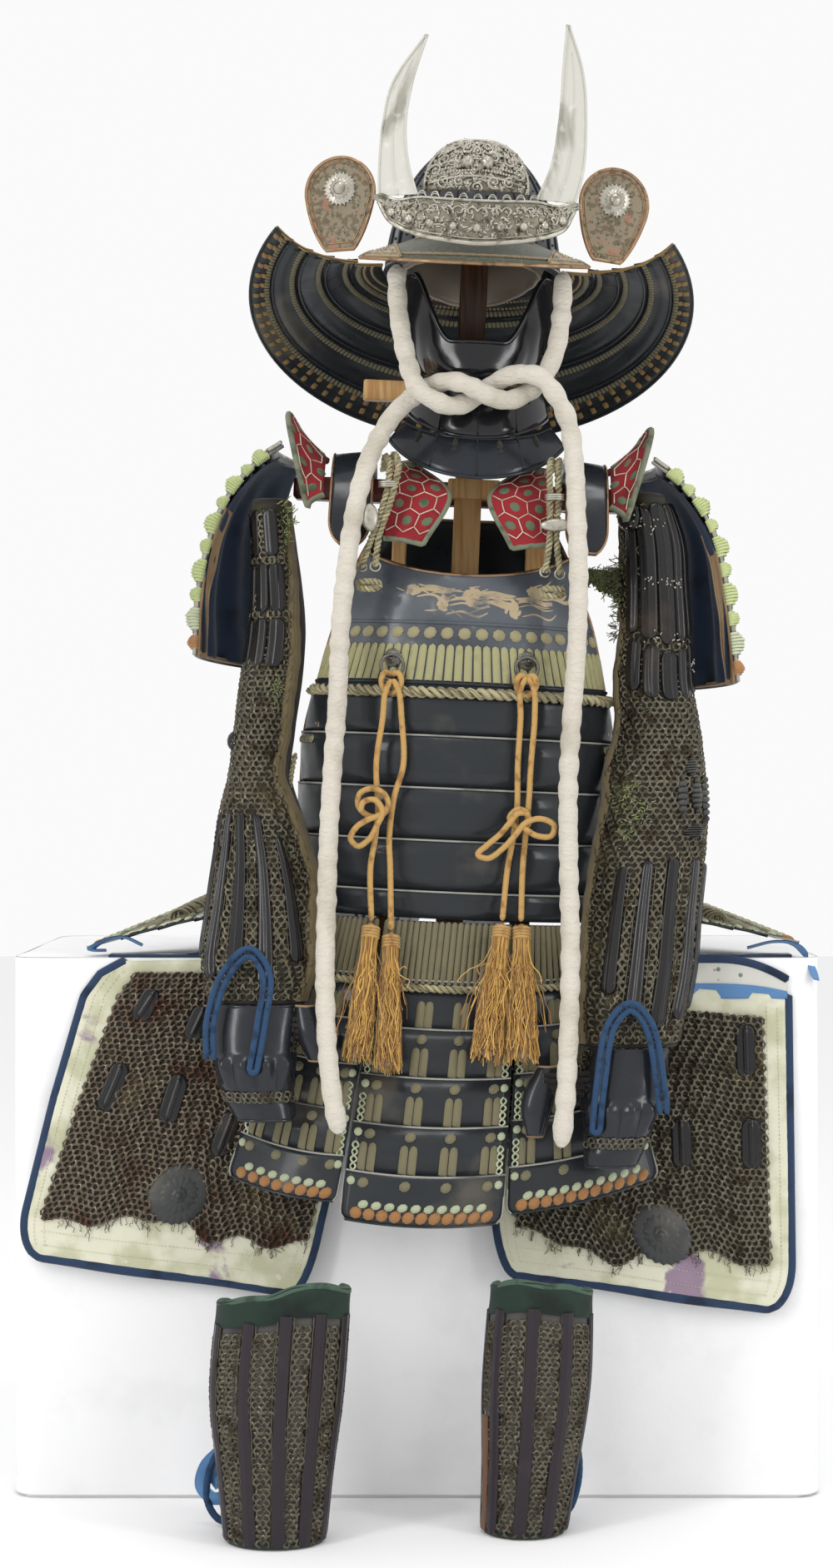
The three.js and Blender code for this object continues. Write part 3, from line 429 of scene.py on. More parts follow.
def knotsOn(bundle, surface, s, t, inside, size, lift=0.0, slot=0, turn=0.5):
    s, t = both(s, t)
    raised = lift(s, t) if callable(lift) else lift
    bundle.copies(knotTemplate, turnedPlaces(facePlaces(surface, s, t, inside, raised), turn), size, slot)


def edgeTube(bundle, surface, s, t, inside, radius, lift=0.0, slot=0, around=8, closed=False):
    raised = lift(np.asarray(s, float), t) if callable(lift) else lift
    points = facePoints(surface, s, t, inside, raised)
    bundle.tube(points[:-1] if closed else points, radius, around, closed=closed, slot=slot)


def finished(piece, slotName, *nodes):
    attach(piece, "root")
    if nodes:
        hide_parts(*nodes)
    return piece


# ---------- materials ----------

class Shade:
    def __init__(self, name, colour, rough, metal=0.0, sheen=0.0, coat=0.0):
        self.material = bpy.data.materials.new(name)
        self.material.use_nodes = True
        self.nodes = self.material.node_tree.nodes
        self.links = self.material.node_tree.links
        self.shader = self.nodes["Principled BSDF"]
        self.set(self.shader, {"Base Color": (*colour, 1), "Roughness": rough, "Metallic": metal,
                               "Sheen Weight": sheen * 0.5, "Coat Weight": coat * 0.5, "Coat Roughness": 0.12,
                               "Specular IOR Level": 0.5 if metal else 0.24})
        self.height = None

    def set(self, node, inputs):
        for key, value in inputs.items():
            socket = node.inputs[key]
            if hasattr(value, "links"):
                self.links.new(value, socket)
            else:
                socket.default_value = value
        return node

    def node(self, kind, inputs=None, **settings):
        made = self.nodes.new(kind)
        for key, value in settings.items():
            setattr(made, key, value)
        return self.set(made, inputs or {})

    def space(self, kind="Object", scale=(1, 1, 1)):
        source = self.node("ShaderNodeTexCoord").outputs[kind]
        return self.node("ShaderNodeMapping", {"Vector": source, "Scale": scale}).outputs[0]

    def noise(self, scale, detail, stretch=(1, 1, 1), distortion=0.0):
        return self.node("ShaderNodeTexNoise", {"Vector": self.space("Object", stretch), "Scale": scale,
                                                "Detail": detail, "Distortion": distortion}).outputs[0]

    def cells(self, scale):
        return self.node("ShaderNodeTexVoronoi", {"Vector": self.space(), "Scale": scale}).outputs["Distance"]

    def waves(self, scale, stretch):
        return self.node("ShaderNodeTexWave", {"Vector": self.space("UV", stretch), "Scale": scale,
                                               "Detail": 1.0}).outputs[1]

    def between(self, value, low, high, bottom=0.0, top=1.0):
        return self.node("ShaderNodeMapRange", {"Value": value, "From Min": low, "From Max": high, "To Min": bottom,
                                                "To Max": top}, interpolation_type="SMOOTHSTEP").outputs[0]

    def sum(self, operation, a, b):
        return self.node("ShaderNodeMath", {0: a, 1: b}, operation=operation).outputs[0]

    def blend(self, share, colour):
        base = self.shader.inputs["Base Color"]
        below = base.links[0].from_socket if base.links else tuple(base.default_value)
        made = self.node("ShaderNodeMix", {0: share, 6: below, 7: (*colour, 1)}, data_type="RGBA")
        self.links.new(made.outputs[2], base)

    def patches(self, scale, detail, low, high, colour, most=1.0, **how):  # cloudy patches of another colour
        self.blend(self.between(self.noise(scale, detail, **how), low, high, 0.0, most), colour)

    def dots(self, scale, low, high, colour, most=1.0):
        self.blend(self.between(self.cells(scale), low, high, most, 0.0), colour)

    def grain(self, scale, detail, depth, strength):
        self.bump(self.noise(scale, detail), depth, strength)

    def roughBy(self, value, low, high):
        self.links.new(self.between(value, 0.3, 0.7, low, high), self.shader.inputs["Roughness"])

    def bump(self, value, depth, strength):
        inputs = {"Height": value, "Distance": depth, "Strength": strength}
        if self.height is not None:
            inputs["Normal"] = self.height
        self.height = self.node("ShaderNodeBump", inputs).outputs[0]
        self.links.new(self.height, self.shader.inputs["Normal"])


def lacquer(name, colour, worn, wornShare=0.62, rough=(0.2, 0.42), coat=0.35):
    shade = Shade(name, colour, 0.3, coat=coat)
    shade.patches(9, 5, wornShare, wornShare + 0.16, worn)
    shade.roughBy(shade.noise(34, 4), *rough)
    shade.grain(26, 3, 0.0007, 0.5)
    shade.grain(420, 3, 0.00012, 0.4)
    return shade


def clothShade(name, colour, second, sheen=0.25, weave=1500, rough=0.85, patches=(0.5, 0.68), patchScale=14):
    shade = Shade(name, colour, rough, sheen=sheen)
    shade.patches(patchScale, 5, *patches, second)
    shade.grain(weave, 2, 0.0003, 0.45)
    shade.grain(90, 4, 0.0012, 0.35)
    return shade


def laceShade(name, colour, dark):  # a plaited lace: slanted strands that meet on its middle line
    shade = Shade(name, colour, 0.6, sheen=0.4)
    place = shade.node("ShaderNodeSeparateXYZ", {0: shade.node("ShaderNodeTexCoord").outputs["UV"]})
    across = shade.sum("ABSOLUTE", place.outputs[0], 0.0)
    slant = shade.sum("ADD", shade.sum("MULTIPLY", across, 0.7), place.outputs[1])
    strands = shade.sum("FRACT", shade.sum("MULTIPLY", slant, 3.4), 0.0)
    ridge = shade.sum("PINGPONG", strands, 0.5)
    shade.blend(shade.between(ridge, 0.02, 0.3, 1.0, 0.0), dark)
    shade.patches(70, 3, 0.55, 0.75, tuple(c * 0.55 for c in colour), 0.6)
    shade.bump(ridge, 0.0007, 0.7)
    return shade


def strandShade(name, colour, dark, scale=900, rough=0.5):
    shade = Shade(name, colour, rough, sheen=0.5)
    strands = shade.noise(scale, 2, stretch=(1, 1, 0.05))
    shade.blend(shade.between(strands, 0.4, 0.65, 1.0, 0.0), dark)
    shade.bump(strands, 0.0006, 0.6)
    return shade


def metalShade(name, colour, dark, rough=0.35, pits=60):
    shade = Shade(name, colour, rough, metal=1.0)
    shade.patches(pits, 5, 0.5, 0.72, dark)
    shade.roughBy(shade.noise(120, 3), rough * 0.7, rough * 1.5)
    shade.grain(210, 3, 0.0003, 0.5)
    return shade


def woodShade(name, colour, dark, rough=0.5):
    shade = Shade(name, colour, rough)
    grain = shade.noise(34, 6, stretch=(6, 6, 0.35), distortion=0.4)
    shade.blend(shade.between(grain, 0.4, 0.66), dark)
    shade.bump(grain, 0.0004, 0.35)
    return shade


maskShade = lacquer("mask lacquer", (0.006, 0.006, 0.008), (0.016, 0.014, 0.013), 0.66, (0.1, 0.24), 0.7)
blueBlackShade = lacquer("blue-black lacquer", (0.013, 0.016, 0.021), (0.04, 0.045, 0.05), rough=(0.16, 0.34))
lameShade = lacquer("plate lacquer", (0.016, 0.019, 0.022), (0.075, 0.068, 0.055), 0.56, (0.24, 0.5))
splintShade = lacquer("splint lacquer", (0.011, 0.010, 0.010), (0.05, 0.036, 0.026), 0.6, (0.14, 0.36), 0.5)
bowlShade = lacquer("bowl lacquer", (0.034, 0.038, 0.044), (0.10, 0.095, 0.085), 0.56, (0.22, 0.45))
# pale rims: partly rubbed lacquer, partly a painted highlight along the raised plate edges
rubbedAndHighlitEdgeShade = lacquer("worn edge with painted highlight", (0.30, 0.29, 0.26), (0.08, 0.085, 0.09), 0.52, (0.35, 0.6), 0.1)

slateShade = Shade("slate lacquer", (0.083, 0.094, 0.108), 0.3, coat=0.3)
slateShade.patches(11, 6, 0.42, 0.7, (0.047, 0.054, 0.063))
slateShade.patches(46, 6, 0.6, 0.72, (0.16, 0.165, 0.16), 0.7)
slateShade.roughBy(slateShade.noise(30, 4), 0.24, 0.5)
slateShade.grain(120, 5, 0.0004, 0.4)

silverShade = metalShade("old silver", (0.43, 0.41, 0.35), (0.14, 0.12, 0.085), 0.44, 75)
hornShade = Shade("worn silver horn", (0.52, 0.51, 0.455), 0.38)
hornShade.patches(15, 6, 0.50, 0.62, (0.27, 0.26, 0.21), stretch=(1, 1, 0.6), distortion=0.5)
hornShade.patches(70, 5, 0.55, 0.75, (0.66, 0.65, 0.60), 0.6)
hornShade.grain(60, 4, 0.0008, 0.5)
roseShade = metalShade("grey rosette", (0.17, 0.165, 0.145), (0.07, 0.062, 0.05), 0.42, 90)
# the ground behind the silver relief is darkened: painted shade in the recesses
recessShadedSilver = metalShade("silver ground with painted recess shade", (0.24, 0.22, 0.17), (0.05, 0.045, 0.033), 0.5, 130)
giltShade = metalShade("worn gilt", (0.32, 0.20, 0.115), (0.13, 0.09, 0.055), 0.44, 90)
rustShade = metalShade("brown mail iron", (0.150, 0.122, 0.090), (0.080, 0.036, 0.024), 0.42, 24)
ironShade = metalShade("mail iron", (0.135, 0.122, 0.088), (0.05, 0.036, 0.024), 0.42, 50)
goldShade = Shade("rubbed gold", (0.37, 0.29, 0.18), 0.42, 0.25)
goldShade.patches(45, 6, 0.5, 0.68, (0.115, 0.115, 0.11), 0.8)

leatherShade = Shade("printed leather", (0.215, 0.18, 0.12), 0.5)
leatherShade.dots(190, 0.1, 0.42, (0.24, 0.16, 0.09), 0.8)
leatherShade.dots(105, 0.08, 0.2, (0.25, 0.055, 0.035))
leatherShade.patches(230, 3, 0.6, 0.68, (0.035, 0.055, 0.03))
leatherShade.patches(170, 3, 0.50, 0.56, (0.105, 0.082, 0.048), 0.8)
leatherShade.patches(58, 2, 0.60, 0.66, (0.30, 0.15, 0.10), 0.75)
leatherShade.grain(170, 3, 0.0005, 0.5)
visorShade = Shade("grey-green leather", (0.085, 0.095, 0.072), 0.42)
visorShade.patches(240, 4, 0.5, 0.62, (0.13, 0.125, 0.085))
visorShade.dots(130, 0.1, 0.18, (0.19, 0.15, 0.08), 0.7)
visorShade.grain(420, 4, 0.0003, 0.5)
tanShade = clothShade("tan leather", (0.30, 0.205, 0.115), (0.17, 0.105, 0.055), 0.05, 600, 0.6)
strapLeatherShade = clothShade("brown leather", (0.135, 0.062, 0.030), (0.055, 0.030, 0.018), 0.05, 500, 0.5)

redShade = clothShade("red cloth", (0.25, 0.016, 0.022), (0.13, 0.010, 0.014), 0.1)
liningShade = clothShade("navy lining", (0.020, 0.036, 0.072), (0.010, 0.018, 0.036), patchScale=20)
navyShade = clothShade("navy binding", (0.022, 0.042, 0.085), (0.012, 0.022, 0.045), patchScale=30)
greenShade = clothShade("dark green binding", (0.018, 0.034, 0.026), (0.010, 0.016, 0.013), 0.1)
greyGreenShade = clothShade("grey-green piping", (0.16, 0.175, 0.115), (0.08, 0.085, 0.055), patchScale=60)
selvageShade = clothShade("woven band", (0.30, 0.245, 0.135), (0.17, 0.135, 0.065), patchScale=60)
bandRows, bandLines = selvageShade.waves(95, (0, 1, 0)), selvageShade.waves(120, (1, 0, 0))
woven = selvageShade.sum("MULTIPLY", bandRows, bandLines)
selvageShade.blend(selvageShade.between(woven, 0.05, 0.3, 0.75, 0.0), (0.10, 0.075, 0.035))
selvageShade.bump(bandRows, 0.0009, 0.7)
selvageShade.bump(bandLines, 0.0006, 0.6)
mailClothShade = clothShade("mail cloth", (0.024, 0.021, 0.015), (0.085, 0.070, 0.024), patches=(0.55, 0.74))
darkClothShade = clothShade("dark cloth", (0.022, 0.020, 0.018), (0.05, 0.042, 0.03))
floralShade = clothShade("flowered cloth", (0.60, 0.60, 0.55), (0.50, 0.50, 0.45))
floralShade.dots(75, 0.14, 0.22, (0.16, 0.24, 0.14))
floralShade.dots(52, 0.10, 0.15, (0.40, 0.05, 0.05))
linerShade = clothShade("beige cotton", (0.36, 0.31, 0.245), (0.25, 0.21, 0.16))
coverShade = clothShade("white cover", (0.84, 0.84, 0.845), (0.80, 0.80, 0.805), 0.1, 900)
cottonShade = clothShade("white cotton", (0.575, 0.535, 0.46), (0.46, 0.42, 0.345), 0.3, 700)
cottonShade.bump(cottonShade.noise(110, 3, stretch=(1, 1, 2.4), distortion=0.6), 0.0036, 0.7)

silkShade = clothShade("quilted silk", (0.64, 0.63, 0.49), (0.46, 0.46, 0.31), 0.4, 1100, 0.6, (0.42, 0.64), 22)
silkShade.patches(12, 5, 0.60, 0.66, (0.20, 0.12, 0.22), 0.85, distortion=0.3)
silkShade.patches(64, 5, 0.62, 0.72, (0.66, 0.64, 0.55), 0.7)

oliveLace = laceShade("olive lace", (0.225, 0.20, 0.115), (0.06, 0.052, 0.028))
oliveKnot = laceShade("olive knot", (0.205, 0.185, 0.108), (0.08, 0.07, 0.036))
limeLace = laceShade("lime lace", (0.47, 0.53, 0.24), (0.19, 0.23, 0.09))
paleLace = laceShade("pale green lace", (0.50, 0.54, 0.37), (0.15, 0.18, 0.09))
orangeLace = laceShade("orange lace", (0.37, 0.18, 0.062), (0.17, 0.075, 0.025))
tanLace = laceShade("tan lace", (0.42, 0.31, 0.16), (0.17, 0.11, 0.05))
strawLace = laceShade("straw lace", (0.37, 0.33, 0.19), (0.13, 0.11, 0.055))
oliveChestLace = laceShade("straw-olive lace", (0.44, 0.42, 0.215), (0.12, 0.105, 0.055))
brownLace = laceShade("brown-gold lace", (0.31, 0.19, 0.058), (0.05, 0.03, 0.014))
ochreShade = strandShade("ochre silk", (0.47, 0.26, 0.065), (0.17, 0.075, 0.015), 620)
ochreCordShade = clothShade("ochre cord", (0.45, 0.27, 0.085), (0.26, 0.13, 0.035), 0.4, 900, 0.6, patchScale=90)
navyCordShade = clothShade("navy cord", (0.018, 0.052, 0.115), (0.010, 0.026, 0.06), 0.1, 900, 0.7, patchScale=90)
limeFrayShade = strandShade("lime fray", (0.34, 0.42, 0.13), (0.14, 0.18, 0.05), 800, 0.8)
frayShade = strandShade("green fray", (0.20, 0.215, 0.085), (0.08, 0.09, 0.035), 800, 0.8)
woodLightShade = woodShade("light wood", (0.50, 0.31, 0.13), (0.36, 0.19, 0.07))
woodDarkShade = woodShade("dark wood", (0.085, 0.040, 0.022), (0.04, 0.018, 0.010), 0.4)
woodRedShade = woodShade("dark red wood", (0.085, 0.020, 0.016), (0.045, 0.010, 0.008), 0.35)
threadShade = clothShade("pale thread", (0.60, 0.53, 0.40), (0.42, 0.36, 0.25), patchScale=80)
dotShade = clothShade("olive-green dot", (0.105, 0.135, 0.078), (0.06, 0.08, 0.048), patchScale=60)
strandGold = Shade("gold silk strand", (0.62, 0.37, 0.085), 0.42, sheen=0.5)
strandBrown = Shade("brown silk strand", (0.33, 0.165, 0.045), 0.45, sheen=0.5)
bossShade = lacquer("boss iron", (0.045, 0.047, 0.046), (0.10, 0.095, 0.085), 0.5, (0.3, 0.5), 0.1)
skyShade = clothShade("blue band cloth", (0.10, 0.22, 0.42), (0.06, 0.14, 0.30))
creamLeather = Shade("patterned cream leather", (0.50, 0.42, 0.27), 0.55)
creamLeather.dots(150, 0.1, 0.2, (0.14, 0.085, 0.04))
handShade = lacquer("hand guard lacquer", (0.014, 0.016, 0.021), (0.05, 0.045, 0.04), 0.6, (0.16, 0.36), 0.5)
shinPlate = lacquer("shin lacquer", (0.022, 0.017, 0.021), (0.055, 0.048, 0.05), 0.58, (0.3, 0.5), 0.1)
shinClothShade = clothShade("shin cloth", (0.075, 0.072, 0.068), (0.045, 0.042, 0.045), patchScale=18)
pipingGreen = clothShade("pale green piping", (0.062, 0.105, 0.072), (0.035, 0.055, 0.040), 0.1, patchScale=50)


# ---------- the shapes that the pieces follow ----------

bowl = {"wide": 96.0, "deep": 118.0, "rim": 1345.0, "high": 149.0, "y": 5.0}
waist = {"x": 7.0, "wide": 168.0, "deep": 124.0, "z": 634.0}


def onTrunk(surface):
    return lambda s, t: leaned(surface(s, t))


def softly(table, key, column, value):
    return smooth([row[key] for row in table], [row[column] for row in table], value)


# camera: the armour is seen from the front, a little above its waist
camera = bpy.data.objects.new("camera", bpy.data.cameras.new("camera"))
camera.location = (0, -3.150, 0.779)
camera.rotation_euler = (math.pi / 2, 0, 0)
camera.data.sensor_fit = "VERTICAL"
camera.data.angle_y = math.radians(32.53)
bpy.context.scene.collection.objects.link(camera)
bpy.context.scene.camera = camera


# ---------- cords: the chin cord, the tassel cords and their bows, the hand loops, the ties ----------

def route(points, count=160):
    return curveThrough(points)(evenShares(count + 1))


def paddedCord(name, path, diameter, shade, slotName, node, pucker=0.0, seed=0):
    path = evenly(path, diameter * 0.16)
    chance = np.random.default_rng(seed)
    marks = np.arange(len(path)) * diameter * 0.16
    wobble = np.zeros(len(path))
    for cycle in range(7):  # uneven puckers along the stitched padding
        wave = diameter * chance.uniform(0.55, 1.5)
        wobble += np.sin(marks / wave * tau + chance.uniform(0, tau)) / 7
    radius = diameter / 2 * (1 - pucker * 0.5 + pucker * wobble)
    fade = np.minimum(np.arange(len(path)), np.arange(len(path))[::-1]) / 4
    radius *= np.sqrt(np.clip(1 - (1 - np.minimum(fade, 1)) ** 2, 0.12, 1))
    bundle = Bundle()
    bundle.tube(path, radius, 20)
    piece = finished(bundle.build(name, shade), slotName, node)
    length = pathLength(path) * mm
    [tuple(p * mm) for p in path[::4]]
    print("cord", name, round(length, 3))


chinCord = {"diameter": 22.0, "twist": 13.0, "start": (2, -292, 1197), "end": (132, -292, 1209), "sag": 8.0}


def twistPoints(phase):
    share = evenShares(9)
    turn = tau * share + phase
    middle = mix(spot(*chinCord["start"]), spot(*chinCord["end"]), share[:, None])
    middle[:, 2] -= chinCord["sag"] * np.sin(math.pi * share) + chinCord["twist"] * np.sin(turn)
    middle[:, 1] -= chinCord["twist"] * np.cos(turn)
    return middle


chinRoutes = {
    "left": [(-22, -252, 1338), (-19, -260, 1284), (-10, -282, 1232), *twistPoints(0),
             (152, -298, 1184), (163, -290, 1158), (168, -290, 1118), (170, -296, 1065), (172, -298, 994),
             (170, -296, 922), (165, -297, 851), (161, -300, 780), (161, -306, 692), (162, -322, 605),
             (159, -342, 519), (155, -355, 451), (150, -360, 402)],
    "right": [(158, -252, 1331), (156, -258, 1284), (148, -268, 1240), *twistPoints(math.pi)[::-1],
              (-22, -280, 1176), (-38, -282, 1152), (-53, -288, 1119), (-66, -296, 1066), (-75, -298, 1003),
              (-81, -294, 941), (-84, -292, 869), (-89, -295, 798), (-93, -300, 727), (-95, -312, 648),
              (-96, -328, 570), (-93, -345, 502), (-87, -356, 451), (-80, -361, 416)],
}
for seed, (side, sign) in enumerate(sides):
    paddedCord(f"padded chin cord {side}", route(chinRoutes[side], 400), chinCord["diameter"], cottonShade,
               "white_cotton", f"chin_cord_{side}", pucker=0.15, seed=seed)

tasselCord = 6.5  # its diameter
tasselRoutes = {
    "left": [(-48, -296, 634), (-49, -289, 690), (-44, -286, 722), (-41, -285, 750), (-43, -284, 800),
             (-36, -283, 850), (-33, -283, 878), (-26, -284, 890), (-19, -283, 878), (-16, -283, 850),
             (-14, -284, 800), (-24, -285, 764), (-29, -286, 722), (-28, -289, 690), (-27, -295, 624)],
    "right": [(91, -296, 634), (97, -289, 690), (103, -286, 722), (107, -285, 750), (108, -284, 800),
              (111, -283, 850), (111, -283, 880), (118, -284, 892), (125, -283, 880), (126, -283, 850),
              (122, -284, 800), (120, -285, 764), (116, -286, 722), (113, -289, 690), (111, -295, 633)],
}
knotRoutes = {
    "left": [(-30, -292, 752), (-41, -293, 744), (-54, -293, 747), (-62, -293, 757), (-60, -293, 769), (-48, -294, 774),
             (-35, -294, 769), (-30, -296, 757), (-38, -300, 747), (-52, -301, 741), (-64, -299, 733), (-70, -296, 721),
             (-62, -295, 713), (-50, -296, 721), (-42, -300, 735), (-36, -302, 750), (-44, -302, 762), (-56, -301, 760),
             (-60, -300, 749)],
    "right": [(119, -292, 748), (108, -293, 752), (99, -293, 743), (106, -294, 733), (118, -294, 735), (118, -296, 746),
              (108, -299, 748), (99, -300, 738), (89, -298, 726), (75, -296, 714), (65, -295, 704), (76, -296, 700),
              (91, -298, 710), (104, -301, 724), (116, -302, 738), (132, -300, 742), (146, -298, 735), (143, -298, 724),
              (128, -300, 724), (113, -302, 733)],
}
for side, sign in sides:
    path = route(tasselRoutes[side], 400)
    top = int(np.argmax(path[:, 2]))
    for half, part in zip(("outer", "inner"), (path[:top + 1][::-1], path[top:])[::-sign]):
        paddedCord(f"tassel cord {side} {half}", part, tasselCord, ochreCordShade,
                   "ochre_silk", f"tassel_cord_{side}", pucker=0.06, seed=5)
    paddedCord(f"bow knot {side}", route(knotRoutes[side], 300), tasselCord, ochreCordShade,
               "ochre_silk", f"tassel_knot_{side}", pucker=0.06, seed=6)

handLoops = {
    "left": [(-216, -338, 490), (-216, -334, 530), (-200, -326, 580), (-176, -324, 602), (-158, -328, 580),
             (-162, -342, 530), (-170, -350, 482)],
    "right": [(187, -352, 420), (192, -354, 470), (204, -343, 528), (224, -340, 546), (242, -343, 528),
              (254, -346, 470), (258, -344, 434)],
}
shinTies = {
    "left": [(-200, -330, 88), (-216, -322, 62), (-220, -324, 26), (-206, -328, 6), (-176, -326, 5)],
    "right": [(164, -306, 92), (172, -300, 66), (170, -296, 30), (158, -298, 6), (132, -296, 5)],
}


def doubled(path, apart):  # the loop is one cord that runs out, turns and comes back beside itself
    along = tangentsOf(path)
    beside = unit(np.cross(along, np.tile([0.0, 1.0, 0.0], (len(path), 1)))) * apart
    turn = np.linspace(0, math.pi, 12)[1:-1, None]
    bend = path[-1] + beside[-1] * np.cos(turn) + along[-1] * apart * np.sin(turn)
    return np.vstack([path + beside, bend, (path - beside)[::-1]])


for side, sign in sides:
    loop = route(handLoops[side])
    paddedCord(f"navy hand loop {side}", doubled(loop if side == "left" else loop[::-1], 3.9), 7.0,
               navyCordShade, "navy_cord", f"hand_loop_{side}", pucker=0.05, seed=8)
    paddedCord(f"dark shin tie {side}", route(shinTies[side]), 8.0, navyCordShade, "navy_cord",
               f"shin_tie_{side}", pucker=0.08, seed=9)
print("cords done")


# ---------- plinth cover ----------

plinth = {"wide": 880.0, "deep": 430.0, "high": plinthTop, "corner": 26.0}


def plinthOutline(t):
    x, y, r = plinth["wide"] / 2, plinth["deep"] / 2, plinth["corner"]
    line = []
    for cx, cy, start in ((x - r, -y + r, -90), (x - r, y - r, 0), (-x + r, y - r, 90), (-x + r, -y + r, 180)):
        for step in range(9):
            angle = math.radians(start + step * 90 / 8)
            line.append((cx + r * math.cos(angle), cy + r * math.sin(angle), 0))
    line = np.array([*line, line[0]])
    marks = marksAlong(line)
    place = np.mod(t, 1) * marks[-1]
    return np.interp(place, marks, line[:, 0]), np.interp(place, marks, line[:, 1])


def coverSide(s, t):
    x, y = plinthOutline(t)
    folds = 1.4 * np.sin(tau * (t * 7 + 0.2)) * s + 1.0 * np.sin(tau * t * 17 + 3 * s)
    out = 1.6 + np.maximum(folds, -0.6) * s
    size = 1 + out / plinth["deep"]
    return vec(x * size, y * size, mix(plinth["high"] + 1.2, 3.0, s))


cover = Bundle()
aroundCover = np.linspace(0, 1, 240, endpoint=False)
cover.grid(coverSide(*np.meshgrid(evenShares(16), aroundCover, indexing="ij")), closedCols=True)
x, y = plinthOutline(aroundCover)
rise = 1.2 + 0.5 * np.sin(x / 61 + 2) * np.sin(y / 43)
cover.grid(np.array([vec(x * ring, y * ring, plinth["high"] + rise) for ring in np.linspace(1, 0.02, 8)])[::-1],
           closedCols=True)
box = Bundle()  # the plinth itself, under its cover
x, y = plinthOutline(evenShares(121)[:-1])
boxTop = plinth["high"] - 1
box.grid(np.array([vec(x * k, y * k, z) for k, z in ((0.01, 0), (1, 0), (1, boxTop), (0.01, boxTop))]),
         closedCols=True)
finished(box.build("plinth box", Shade("white board", (0.8, 0.8, 0.8), 0.7)), "cover_cloth", "plinth")
piece = finished(cover.build("draped cover", coverShade), "cover_cloth", "plinth")


# ---------- wooden stand ----------

def beveled(bundle, wide, deep, low, high, x, y, edge=1.6, slot=0, lean=True):
    rounds = []
    for z, inset in ((low, edge), (low + edge, 0), (high - edge, 0), (high, edge)):
        halfX, halfY = wide / 2 - inset - edge, deep / 2 - inset - edge
        rounds.append([(x + cx * halfX + edge * math.cos(angle), y + cy * halfY + edge * math.sin(angle), z)
                       for cx, cy, start in ((1, 1, 0), (-1, 1, 90), (-1, -1, 180), (1, -1, 270))
                       for angle in np.radians([start, start + 30, start + 60, start + 90])])
    points = np.array(rounds, float)
    points = leaned(points) if lean else points
    bundle.grid(points, closedCols=True, slot=slot)
    for ring in (points[0], points[-1]):
        verts = np.vstack([ring, ring.mean(axis=0, keepdims=True)])
        bundle.add(verts, [(side, (side + 1) % 16, 16) for side in range(16)], slot=slot)


wood = Bundle()
foot = plinth["high"] + 1.9
beveled(wood, 230, 84, foot, foot + 18, body["x"], body["y"], 3, lean=False)
beveled(wood, 30, 28, 606, 1240, 6, 1)
beveled(wood, 16, 24, 606, 1091, -68, 0)
beveled(wood, 22, 24, 606, 1091, 84, 0)
beveled(wood, 58, 22, 1096, 1118, 12, -10)
beveled(wood, 186, 20, 1200, 1222, -22, -22)
beveled(wood, 30, 24, 1242, 1426, 2, -14, slot=1)
beveled(wood, 90, 110, 1425, 1440, 0, 5, 6)
finished(wood.build("wooden stand", [woodLightShade, woodDarkShade]), "wood_light", "stand_frame")
bar = Bundle()
beveled(bar, 396, 28, 1092, 1118, 8, 30, 4)
finished(bar.build("shoulder bar", woodRedShade), "wood_red", "stand_shoulder_bar")
print("stand done")


# ---------- helmet ----------

def bowlSurface(s, t):
    tilt, angle = s * math.pi / 2, tau * t
    return vec(bowl["wide"] * np.sin(tilt) * np.cos(angle),
               bowl["y"] + bowl["deep"] * np.sin(tilt) * np.sin(angle), bowl["rim"] + bowl["high"] * np.cos(tilt))


bowlInside = trunkSpot(0, 5, 1350)
onBowl = onTrunk(bowlSurface)
helmetBowl = Bundle()
wall(helmetBowl, onBowl, np.linspace(0.03, 1, 18), 84, 2, bowlInside, closed=True)
for rib in range(24):  # standing ridges where the bowl's plates are riveted
    edgeTube(helmetBowl, onBowl, np.linspace(0.10, 0.995, 26), rib / 24, bowlInside, 1.7, 0.9, around=6)
    rivets = facePlaces(onBowl, np.linspace(0.25, 0.95, 9), rib / 24 + 0.021, bowlInside)
    helmetBowl.copies(knotTemplate, rivets, 1.7)
edgeTube(helmetBowl, onBowl, 0.985, evenShares(97), bowlInside, 2.6, 1.2, closed=True)
finished(helmetBowl.build("ridged helmet bowl", bowlShade), "black_lacquer", "helmet_bowl")

visorWide = 74.0


def visorSurface(s, t):
    side = 2 * t - 1
    angle = np.radians(visorWide * side)
    inner = vec(99 * np.sin(angle), bowl["y"] - 122 * np.cos(angle), 1374 - 16 * side * side)
    outer = vec(122 * side, -190 + 52 * side * side, 1325 + 11 * side * side)
    place = mix(inner, outer, np.asarray(s)[..., None] if np.ndim(s) else s)
    place[..., 2] += 6 * np.sin(math.pi * np.asarray(s))
    return place


